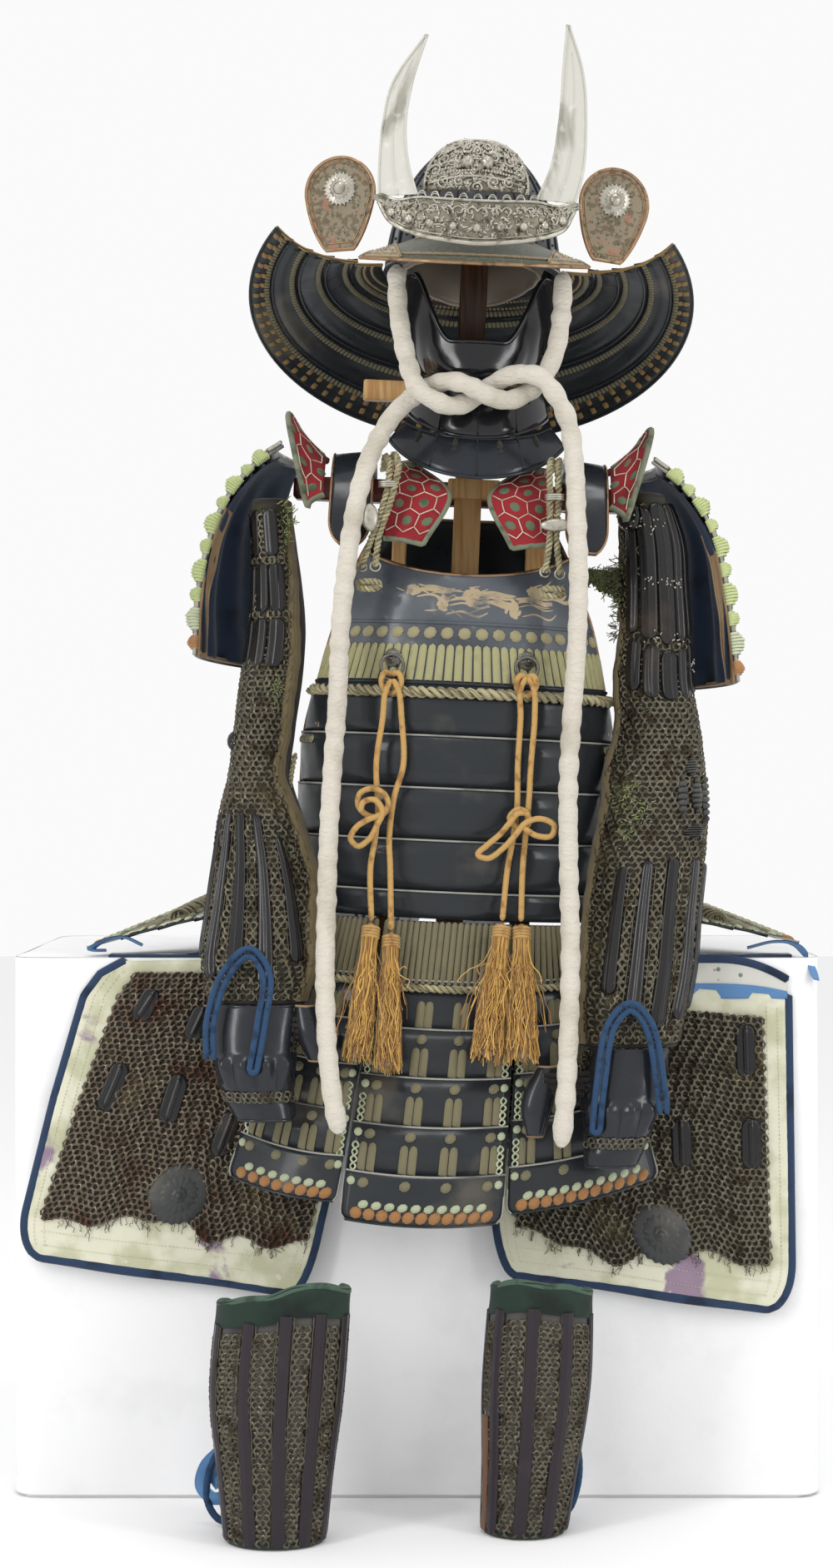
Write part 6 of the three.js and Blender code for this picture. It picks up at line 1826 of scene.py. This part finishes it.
shoulderLines = {
    "left": ([(-200, 0, 1142), (-232, 0, 1118), (-264, 0, 1070), (-284, 0, 990), (-286, 0, 908)], 104, 84),
    "right": ([(206, 0, 1142), (242, 0, 1116), (276, 0, 1066), (296, 0, 990), (309, 0, 905)], 96, 76),
}
shoulderInside = trunkSpot(0, 20, 1000)
shoulderLames = 11
for side, sign in sides:
    points, back, tuck = shoulderLines[side]
    line = curveThrough(points)

    def surface(s, t):
        s, t = both(s, t)
        edge = line(np.clip(s, 0, 1))
        kept = np.maximum(t, 0)
        x = edge[..., 0] - sign * (tuck * kept ** 1.5 * np.minimum(1, 0.1 + 1.4 * s) - 12 * np.sin(math.pi * t))
        return leaned(vec(x, mix(-66 + 16 * (1 - s), float(back), t), edge[..., 2] - 10 * t * s))
    guard = Bundle()
    for lame in range(shoulderLames):
        foot = (lame + 1.06) / shoulderLames if lame < shoulderLames - 1 else 1.0
        plate = lambda s, t: surface(mix(lame / shoulderLames, foot, s), t)
        wall(guard, plate, 1, 18, 2.2, shoulderInside, lift=lambda s, t: 2.2 * (1 - s))
        # the lame's front end is pale: rubbed lacquer and a painted highlight
        edgeTube(guard, plate, evenShares(8), 0.0, shoulderInside, 2.2, -0.2, slot=1)
        kind = {shoulderLames - 1: 4, shoulderLames - 2: 3}.get(lame, 2)
        if lame == 0:
            continue
        spots = 0.05 + 0.93 * (np.arange(25) + 0.5) / 25
        if kind != 4:
            lacesOn(guard, plate, 0.12, 1.0, spots, shoulderInside, 3.0, 2.0, 1.2, kind, (1, 0), 6)
        else:
            knotsOn(guard, plate, 0.55, spots[::2], shoulderInside, (6.4, 6.4, 3.4), 1.4, 4)
        big, half, thick = (1.0, 0.36, 2.1) if lame % 2 else (0.62, 0.23, 1.5)
        chance = np.random.default_rng(70 + lame)
        for strand in range(7):  # the laces turned over the lame's front edge
            s = np.clip(0.46 - half + 2 * half * strand / 6, 0, 1)
            places = facePlaces(plate, s, np.linspace(0.10, 0.0, 9), shoulderInside, 0.8)
            puff = (2.4 + 6.5 * big) * (1 - 0.6 * abs((strand - 3) / 3) ** 3) + chance.uniform(-0.7, 0.7)
            path = places[0] + places[1] * (puff * np.sin(np.linspace(0.2, math.pi - 0.5, 9)))[:, None]
            inner = facePoints(plate, s, [0.0, 0.01, 0.03], shoulderInside, 0, 2.6)
            guard.tube(evenly(np.vstack([path, inner[:1] + [0, -2.4, 0], inner[1:]]), 3.0), thick, 6, slot=kind)
    # top plate: patterned leather and a metal bar
    topPlate = lambda s, t: surface(mix(0.0, 0.085, s), t)
    wall(guard, topPlate, 4, 24, 3, shoulderInside, lift=lambda s, t: 5.4 + 0 * s, slot=5)
    edgeTube(guard, topPlate, 0.0, evenShares(40), shoulderInside, 2.2, 4.5, slot=6)
    edgeTube(guard, topPlate, 1.0, evenShares(40), shoulderInside, 1.8, 4.5, slot=6)
    edgeTube(guard, topPlate, evenShares(10), 0.0, shoulderInside, 2.6, 4.0, slot=6)
    # lining with soft folds, its leather edge and hem
    lining = lambda s, t: surface(mix(0.04, 0.985, s), mix(0.05, 0.97, t))
    folds = lambda s, t: -8.0 + 4.2 * np.sin(t * 19 + 1.6 * np.sin(s * 4)) * ease(s, 0.05, 0.6)
    wall(guard, lining, 16, 32, 1.2, shoulderInside, lift=folds, slot=7)
    wave = lambda s: 0.05 + 0.022 * np.sin(s * 15 + sign) + 0.016 * np.sin(s * 31)
    s = np.linspace(0.42, 1.0, 60)
    strip = np.stack([facePoints(surface, s, wave(s) + shift, shoulderInside, lift)
                      for shift, lift in ((0.0, -4.2), (0.05, -6.5), (0.085, -9.0), (0.095, -11.5))])
    guard.grid(strip, slot=8)
    guard.grid(strip[::-1] + [-sign * 0.8, 0, 0], slot=8)
    guard.tube(strip[0], 2.2, 8, slot=8)
    guard.tube(strip[3], 1.4, 8, slot=8)
    edgeTube(guard, surface, 0.985, np.linspace(0.06, 0.96, 40), shoulderInside, 2.8, -6.0, slot=8)
    shades = [lameShade, rubbedAndHighlitEdgeShade, limeLace, paleLace, orangeLace, creamLeather, silverShade, liningShade, tanShade]
    finished(guard.build(f"shoulder guard {side} laced", shades), "black_lacquer", f"shoulder_guard_{side}")
print("shoulder guards done")


# ---------- sleeves ----------

sleeves = {
    "left": [(1090, -161, -168, 22, 40), (1040, -157, -170, 24, 44), (1000, -154, -174, 27, 46), (945, -153, -180, 31, 46),
             (890, -159, -190, 33, 44), (835, -166, -200, 32, 42), (789, -170, -212, 33, 42), (744, -168, -222, 45, 44),
             (691, -163, -236, 56, 46), (638, -163, -252, 61, 44), (592, -165, -270, 63, 38), (549, -168, -290, 52, 32)],
    "right": [(1096, 251, -168, 24, 44), (1040, 260, -170, 33, 48), (1000, 261, -174, 34, 48), (945, 261, -180, 38, 46),
              (890, 259, -190, 42, 46), (835, 263, -200, 46, 46), (789, 258, -212, 55, 48), (744, 256, -222, 58, 48),
              (691, 248, -236, 61, 46), (638, 241, -252, 61, 44), (586, 235, -272, 61, 38), (504, 224, -298, 52, 32)],
}


def channelSurface(rows, sign, reach):  # a tube open on one side, through rows of height, place and size
    def surface(s, t):
        z = mix(float(rows[0][0]), float(rows[-1][0]), np.asarray(s, float))
        x, y, half, deep = (softly(rows, 0, column, z) for column in (1, 2, 3, 4))
        angle = np.radians(mix(float(reach[0]), float(reach[1]), np.asarray(t, float)))
        return vec(x - sign * half * np.sin(angle), y - deep * np.cos(angle), z)
    return surface


def rowMiddle(row):
    return spot(row[1], row[2], row[0])


# each splint: its top and foot heights, its places across at both, half width, how proud it stands
sleeveSplints = {
    "left": [(1020, 966, 0.29, 0.29, 9, 3.4), (1020, 966, 0.44, 0.44, 9, 3.4), (1020, 966, 0.59, 0.59, 9, 3.4),
             (960, 906, 0.28, 0.28, 9, 3.4), (960, 906, 0.43, 0.43, 9.5, 3.4), (960, 906, 0.58, 0.58, 9, 3.4),
             (1080, 1028, 0.36, 0.36, 8, 3.0), (1080, 1028, 0.56, 0.56, 8, 3.0),
             (746, 592, 0.285, 0.17, (4, 8), 4.0), (750, 572, 0.37, 0.31, (4.5, 9), 4.4),
             (748, 580, 0.455, 0.46, (4.5, 9), 4.4), (746, 566, 0.55, 0.60, (4.5, 9), 4.4),
             (722, 590, 0.655, 0.735, (4, 8), 4.0)],
    "right": [(1088, 940, 0.25, 0.25, 8, 5.0), (1086, 934, 0.38, 0.37, 9.5, 5.6), (1086, 930, 0.51, 0.49, 9.5, 5.6),
              (1080, 936, 0.64, 0.62, 9.5, 5.2), (1070, 944, 0.77, 0.75, 8, 4.6),
              (934, 878, 0.24, 0.24, 8, 4.4), (928, 872, 0.36, 0.36, 9.5, 5.0), (924, 870, 0.48, 0.48, 9.5, 5.0),
              (930, 872, 0.60, 0.60, 9.5, 5.0), (938, 880, 0.725, 0.72, 9, 4.4),
              (694, 540, 0.20, 0.20, (6, 8), 4.2), (700, 530, 0.33, 0.32, (6, 9), 4.4),
              (700, 522, 0.46, 0.45, (6, 9), 4.4), (697, 530, 0.575, 0.58, (6, 9), 4.4),
              (690, 556, 0.685, 0.705, (6, 8.5), 4.2)],
}
bandStarts = {  # height and place across where the woven band begins
    "left": ([549, 690, 744, 790, 890, 1000, 1090], [0.80, 0.79, 0.76, 0.71, 0.70, 0.70, 0.76]),
    "right": ([504, 690, 744, 960, 961, 1096], [0.845, 0.845, 0.84, 0.84, 0.93, 0.93]),
}
for side, sign in sides:
    rows = sleeves[side]
    surface = channelSurface(rows, sign, (-128, 96))
    inside = rowMiddle(rows[6])
    at = lambda z: (rows[0][0] - z) / (rows[0][0] - rows[-1][0])
    heightAt = lambda s: mix(float(rows[0][0]), float(rows[-1][0]), s)
    girthAt = lambda z: np.interp(z, [row[0] for row in rows[::-1]], [row[3] * 3.6 for row in rows[::-1]])
    puckers = lambda s, t: 0.7 * np.sin(s * 46 + 3 * np.sin(t * 9)) * np.sin(t * 14 + 2) + 0.5 * np.sin(s * 17 + t * 6)
    cloth = Bundle()
    wall(cloth, surface, 60, 34, 3, inside, lift=puckers)
    piece = finished(cloth.build(f"sleeve cloth {side}", mailClothShade), "mail_cloth", f"sleeve_{side}")
    armour = Bundle()
    splints = sleeveSplints[side]

    def clear(s, t):  # where no splint and no band lies
        z = heightAt(s)
        kept = t < np.interp(z, *bandStarts[side]) + 0.02
        for top, foot, t0, t1, half, high in splints:
            middle = np.interp(z, [foot, top], [t1, t0])
            wide = np.interp(z, [foot, top], [np.max(half), np.min(half)])
            kept &= ~((z < top) & (z > foot) & (np.abs(t - middle) * girthAt(z) < wide * 0.8))
        return kept
    mailOn(armour, surface, (0.02, 0.995), (0.03, 0.95), inside, 6.9, 0.8, clear, 0, seed=9 + sign, size=0.61)
    for top, foot, t0, t1, half, high in splints:
        splintOn(armour, surface, at(top), at(foot), t0, t1, inside, half, high, 0.8, 1, 0.18, 26)
        if foot < 600:  # a fine bead runs along each side of the long splints
            for shift in (-1, 1):
                s, share = np.linspace(at(top) + 0.01, at(foot) - 0.01, 30), evenShares(30)
                t = mix(t0, t1, share) + shift * (mix(*half, share) + 1.4) / girthAt(heightAt(s))
                armour.tube(evenly(facePoints(surface, s, t, inside, 1.6), 2.4), 0.8, 4, caps=False)
    # the woven band that edges the sleeve on the body's side
    s = evenShares(90)
    sway = 0.012 * np.sin(s * 19) + 0.01 * np.sin(s * 41 + 1)
    wide = 0.115 if side == "left" else 0.08
    woven = []
    for share, lift in ((0.0, 0.6), (0.05, 2.4), (0.3, 3.0), (0.6, 3.0), (0.9, 2.4), (1.0, 0.2), (0.9, -1.6)):
        t = np.interp(heightAt(s), *bandStarts[side]) + wide * share + sway + (0.012 if share > 0.85 else 0)
        woven.append(facePoints(surface, s, t, inside, lift + 0.5 * np.sin(s * 120)))
    woven = np.stack(woven)
    uvs = np.stack(np.broadcast_arrays(np.linspace(0, 0.016, 7)[:, None], marksAlong(woven[2])[None] * mm), axis=-1)
    armour.grid(woven, uvs, slot=2)
    armour.grid(woven[::-1] - facePlaces(surface, s, 0.9, inside)[1] * 0.9, uvs, slot=2)
    edgeTube(armour, surface, evenShares(90), 0.0, inside, 2.4, -1.5, slot=3)
    for end in (0.0, 1.0):
        edgeTube(armour, surface, end, evenShares(40), inside, 2.6, -1.5, slot=3)
    chance = np.random.default_rng(80 + sign)
    if side == "left":
        tufts = [(at(1070), 0.76, 34, 12, 1.2, 7), (at(1052), 0.70, 20, 9, 1.0, 7), (at(884), 0.63, 26, 7, 1.1, 7),
                 (at(862), 0.62, 14, 6, 0.8, 4), (at(700), 0.74, 10, 6, 0.8, 4), (at(560), 0.7, 12, 7, 0.8, 4)]
    else:
        tufts = [(at(1010), 0.95, 90, 15, 1.2, 4), (at(985), 0.96, 40, 12, 1.2, 7), (at(950), 0.93, 30, 12, 1.0, 4),
                 (at(862), 0.62, 14, 6, 0.8, 4), (at(775), 0.69, 30, 6, 1.3, 7), (at(752), 0.64, 34, 6, 1.3, 7),
                 (at(728), 0.70, 30, 6, 1.3, 7), (at(760), 0.76, 20, 6, 1.2, 7), (at(560), 0.7, 12, 7, 0.8, 4)]
    for s0, t0, count, reach, thick, slot in tufts:  # frayed threads
        for strand in range(count):
            places = facePlaces(surface, np.clip(s0 + chance.normal(0, 0.012), 0.01, 0.99),
                                np.clip(t0 + chance.normal(0, 0.03), 0.02, 0.99), inside, 1)
            heading = unit(places[1] * chance.uniform(0.2, 1) + chance.normal(0, 0.8, 3) + [-sign * 0.4, 0, -0.2])
            line = places[0] + np.cumsum(heading * reach / 6 + chance.normal(0, reach / 22, (6, 3)), axis=0)
            armour.tube(line, 0.5 * thick, 4, slot=slot, caps=False)
    if side == "right":  # a mossy rag of worn cloth, torn loose beside the shoulder
        u, v = np.meshgrid(evenShares(26), evenShares(18), indexing="ij")
        ragged = chance.uniform(-4, 4, 26)[:, None] * v
        rag = vec(mix(188.0, 240.0, u), -166 - 8 * np.sin(3.4 * u) + 3 * np.sin(9 * u + 5 * v),
                  1018 - 16 * u - (34 - 16 * (1 - u)) * v + ragged + 5 * np.sin(2.8 * u))
        armour.grid(rag, slot=4)
        armour.grid(rag[::-1] + [0, 1.6, 0], slot=4)
        for strand in range(300):
            i, j = chance.integers(0, 26), chance.integers(0, 18)
            heading = unit(chance.normal(0, 1, 3) + [0, -0.8, -0.3])
            line = rag[i, j] + np.cumsum(heading * 1.5 + chance.normal(0, 0.8, (5, 3)), axis=0)
            armour.tube(line, 0.5, 4, slot=7 if strand % 3 == 0 else 4, caps=False)
        # the shoulder's round plate, and the iron fittings at the elbow
        point, normal, along, across = facePlaces(surface, at(1072), 0.74, inside, 8)
        armour.copies(domeTemplate(40, 5), (point, normal, along, across), (17, 17, 7), slot=1)
        turn = fullTurn(12)[:, None]
        rim = point + (along * np.cos(turn) + across * np.sin(turn)) * 13.5 + normal * 4.2
        armour.copies(knotTemplate, (rim, *(np.tile(p, (12, 1)) for p in (normal, along, across))), 1.3, 5)
        for z, t, half, wide in ((797, 0.38, 8, 9), (765, 0.44, 20, 6.5), (762, 0.265, 21, 6.5), (766, 0.35, 16, 8),
                                 (728, 0.36, 7, 14)):
            for part in range(7):  # ribbed iron leaves
                share = part / 6 * 2 - 1
                armour.copies(domeTemplate(16, 3), facePlaces(surface, at(z - share * half), t, inside, 2.5),
                              (wide * math.sqrt(1.08 - share ** 2), half * 0.2, 5.5), slot=6)
        for z, t in ((1062, 0.66), (1058, 0.58), (1000, 0.62), (997, 0.50), (994, 0.42), (911, 0.28), (936, 0.44),
                     (936, 0.56)):
            scatter = np.random.default_rng(int(z + 100 * t))  # clusters of bright rivets
            places = facePlaces(surface, at(z + scatter.normal(0, 4.0, 9)), t + scatter.normal(0, 0.03, 9), inside, 6.6)
            armour.copies(knotTemplate, places, 1.1, slot=5)
    else:
        armour.copies(flowerTemplate, facePlaces(surface, at(826), 0.22, inside, 2), (9, 9, 7), slot=1)
    shades = [ironShade, splintShade, selvageShade, darkClothShade, frayShade, silverShade, bossShade, limeFrayShade]
    finished(armour.build(f"sleeve armour {side}", shades), "mail_cloth")
print("sleeves done")


# ---------- hand guards ----------

hands = {
    "left": [(545, -167, -300, 47, 30), (520, -170, -306, 46, 30), (484, -170, -314, 42, 28), (456, -167, -318, 38, 27),
             (427, -158, -322, 32, 24)],
    "right": [(500, 222, -310, 46, 28), (484, 218, -314, 44, 28), (452, 214, -320, 42, 28), (420, 212, -324, 36, 26),
              (379, 203, -328, 28, 22)],
}
thumbs = {
    "left": [(545, -118, -312, 12, 9), (520, -110, -316, 17, 12), (488, -103, -322, 11, 8)],
    "right": [(482, 138, -322, 11, 9), (446, 127, -328, 16, 12), (410, 124, -334, 9, 7)],
}
webs = {"left": [(-135, -318, 522), (-111, -326.5, 522)], "right": [(184, -332, 466), (133, -335, 464)]}
for side, sign in sides:
    hand = Bundle()
    channel = channelSurface(hands[side], sign, (-84, 84))
    inside = rowMiddle(hands[side][1])

    def surface(s, t):  # its top is arched and its finger end is round
        s, t = both(s, t)
        inset = 0.13 * (1 - np.sqrt(np.clip(1 - np.maximum(0, (s - 0.84) / 0.16) ** 2, 0, 1)))
        inset = inset + 0.10 * (1 - np.sqrt(np.clip(1 - np.maximum(0, (0.14 - s) / 0.14) ** 2, 0, 1)))
        return channel(s, mix(inset, 1 - inset, t))

    def knuckles(s, t):
        total = sum(6.8 * np.exp(-((t - centre) / 0.058) ** 2) for centre in (0.22, 0.41, 0.60, 0.79))
        shape = ease(s, 0.42, 0.50) * (1 - ease(s, 0.52, 0.74))
        lip = 1.6 * ease(s, 0.40, 0.44) * (1 - ease(s, 0.72, 0.75))
        return total * shape + lip + 1.0 * ease(s, 0.84, 0.87)
    wall(hand, surface, 46, 40, 2, inside, lift=knuckles, slot=0)
    edgeTube(hand, surface, 1.0, evenShares(50), inside, 1.8, 0.4)
    edgeTube(hand, surface, 0.0, evenShares(50), inside, 1.6, -1)
    for end in (0.0, 1.0):
        edgeTube(hand, surface, evenShares(40), end, inside, 1.8, -1, slot=3)
    for groove in (0.315, 0.505, 0.695):
        edgeTube(hand, surface, np.linspace(0.5, 0.72, 14), groove, inside, 0.7, lambda s, t: knuckles(s, t) + 0.1)
    mailOn(hand, surface, (0.755, 0.835), (0.08, 0.92), inside, 5.4, 1.4, None, 1, seed=21)
    mailOn(hand, surface, (0.02, 0.40), (0.84, 0.97), inside, 5.4, 1.4, None, 1, seed=22)
    thumb, thumbInside = channelSurface(thumbs[side], sign, (-84, 84)), rowMiddle(thumbs[side][1])
    wall(hand, thumb, 24, 24, 2, thumbInside, lift=lambda s, t: 1.2 * np.sin(math.pi * s))
    there, backAgain = evenShares(20), np.linspace(1, 0, 20)
    rim = borderOf(thumb, [(there, 0.0), (1.0, there), (backAgain, 1.0), (0.0, backAgain)], thumbInside, -0.8)
    hand.tube(evenly(rim, 2.5), 1.5, 7, slot=2)
    a, b = np.array(webs[side], float)
    for offset in (-9, -3, 3, 9):
        hand.tube(np.linspace(a, b, 6) + [0, 0.6 * abs(offset) / 3, offset], 3.2, 7, slot=3)
    shades = [handShade, ironShade, tanShade, darkClothShade]
    finished(hand.build(f"hand guard {side} plates", shades), "black_lacquer", f"hand_guard_{side}")
print("hand guards done")


# ---------- shin guards ----------

shins = {
    "left": [(256, -137, -372, 67, 48), (144, -145, -372, 66, 50), (70, -146, -374, 57, 46), (0, -146, -378, 50, 42)],
    "right": [(257, 131, -338, 51, 44), (144, 125, -338, 53, 46), (70, 119, -340, 47, 42), (0, 112, -344, 42, 38)],
}
shinSplints = {"left": (0.07, 0.205, 0.385, 0.525, 0.66, 0.81, 0.93), "right": (0.07, 0.175, 0.375, 0.54, 0.725, 0.90)}
for side, sign in sides:
    channel = channelSurface(shins[side], sign, (-118, 118))
    slant = 7 if side == "left" else -3  # how far its top edge slopes

    def surface(s, t):
        s, t = both(s, t)
        place = channel(s, t)
        place[..., 2] += 7 * (1 - s) * np.cos(math.pi * (2 * t - 1))
        place[..., 2] += slant * np.maximum(0, 1 - 2.5 * s) * np.tanh((place[..., 0] - shins[side][0][1]) / 14)
        return place
    inside = rowMiddle(shins[side][1])
    shin = Bundle()
    wall(shin, surface, 36, 52, 4, inside, lift=lambda s, t: 0.5 * np.sin(t * 52) * np.sin(s * 9 + 1))
    finished(shin.build(f"shin guard cloth {side}", shinClothShade), "mail_cloth", f"shin_guard_{side}")
    armour = Bundle()
    places = shinSplints[side]

    def clear(s, t):
        kept = np.ones(s.shape, bool)
        for place in places:
            kept &= np.abs(t - place) > 0.028
        if side == "right":
            kept &= ~((t > 0.775) & (s > 0.5))
        return kept
    mailOn(armour, surface, (0.15, 0.985), (0.12, 0.93), inside, 6.0, 1.0, clear, 0, seed=31 + sign, size=0.64)
    for place in places:
        splintOn(armour, surface, 0.10, 0.99, place, place, inside, (6.6, 7.6), 3.2, 0.8, 1, 0.1, 30, ends=(0, 1))
        for shift in (-1, 1):  # a line of stitches beside each splint
            line = facePoints(surface, np.linspace(0.11, 0.98, 70), place + shift * 0.030, inside, 2.2)
            wobble = np.random.default_rng(5).normal(0, 0.25, line.shape)
            armour.tube(evenly(line + wobble, 2.4), 0.9, 4, caps=False)
    top = lambda s, t: surface(mix(0.0, 0.115, s), mix(0.02, 0.98, t))
    wall(armour, top, 4, 44, 1.6, inside, lift=lambda s, t: 2.6 + 0.5 * np.sin(t * 33) * np.sin(s * 4), slot=2)
    rimPath = facePoints(surface, 0.0, np.linspace(0.01, 0.99, 90), inside, -1.2)
    rimPath[:, 2] += 1.4 * np.sin(np.linspace(0, 21, 90)) - 2
    armour.tube(rimPath, 4.2, 10, slot=3)
    for end in (0.0, 1.0):
        edgeTube(armour, surface, np.linspace(0.0, 0.985, 50), end, inside, 3.2, -2, slot=2)
    foot = facePoints(surface, 0.985, evenShares(90), inside, -1)
    foot[:, 2] = np.maximum(foot[:, 2], 3.4)
    armour.tube(foot, 3.0, 8, slot=2)
    if side == "right":
        strip = lambda s, t: surface(mix(0.52, 0.985, s), mix(0.775, 0.875, t))
        wall(armour, strip, 16, 10, 2, inside, lift=lambda s, t: 3.4 + 0.4 * np.sin(s * 21), slot=4)
    shades = [ironShade, shinPlate, greenShade, pipingGreen, strapLeatherShade]
    finished(armour.build(f"shin guard armour {side}", shades), "mail_cloth")
shinRibbon = Bundle()  # the wide tie gathered behind each shin guard
for points in ([(-206, -326, 78), (-222, -322, 60), (-226, -323, 40), (-214, -326, 28), (-200, -328, 30)],
               [(-208, -324, 66), (-214, -318, 52), (-206, -322, 40)],
               [(160, -306, 176), (168, -304, 168), (166, -304, 158), (158, -306, 152)],
               [(160, -302, 84), (168, -300, 70), (167, -300, 56), (158, -302, 48)]):
    path = route(points, 40)
    tangent = tangentsOf(path)
    sideways = unit(np.cross(tangent, np.tile([0.0, 1.0, 0.15], (len(path), 1))))
    ribbon = np.stack([path + sideways * w + np.cross(tangent, sideways) * math.cos(w * 0.6) * 1.2
                       for w in (-7, -4, 0, 4, 7)], axis=1)
    shinRibbon.grid(ribbon)
    shinRibbon.grid(ribbon[:, ::-1] + [0, 0.9, 0])
finished(shinRibbon.build("shin guard ties", skyShade), "navy_cord")
print("shin guards done")


# ---------- floor, light and the finished scene ----------

ground = Bundle()
x, y = np.meshgrid(np.linspace(-9000, 9000, 3), np.linspace(-9000, 9000, 3), indexing="ij")
ground.grid(vec(x, y, 0 * x - 0.5))
floor = ground.build("floor", Shade("floor white", (0.90, 0.90, 0.905), 0.9))

world = bpy.data.worlds.new("room")
bpy.context.scene.world = world
world.use_nodes = True
world.node_tree.nodes["Background"].inputs[0].default_value = (1.0, 1.0, 1.0, 1)
world.node_tree.nodes["Background"].inputs[1].default_value = 0.96


def softbox(name, place, size, power):  # it is turned to the middle of the armour
    lamp = bpy.data.objects.new(name, bpy.data.lights.new(name, "AREA"))
    lamp.data.shape = "RECTANGLE"
    lamp.data.size, lamp.data.size_y = size
    lamp.data.energy = power
    lamp.location = place
    lamp.rotation_euler = (Vector((0, -0.15, 0.9)) - Vector(place)).to_track_quat("-Z", "Y").to_euler()
    bpy.context.scene.collection.objects.link(lamp)


softbox("left softbox", (-2.2, -2.4, 1.9), (0.5, 2.2), 34)
softbox("right softbox", (2.4, -2.0, 1.7), (0.4, 2.0), 22)
softbox("top softbox", (0.2, -0.6, 3.2), (1.2, 0.6), 14)
bpy.context.scene.view_settings.view_transform = "Standard"
bpy.context.scene.view_settings.look = "None"
bpy.context.scene.view_settings.exposure = 0.0

print("scene done")
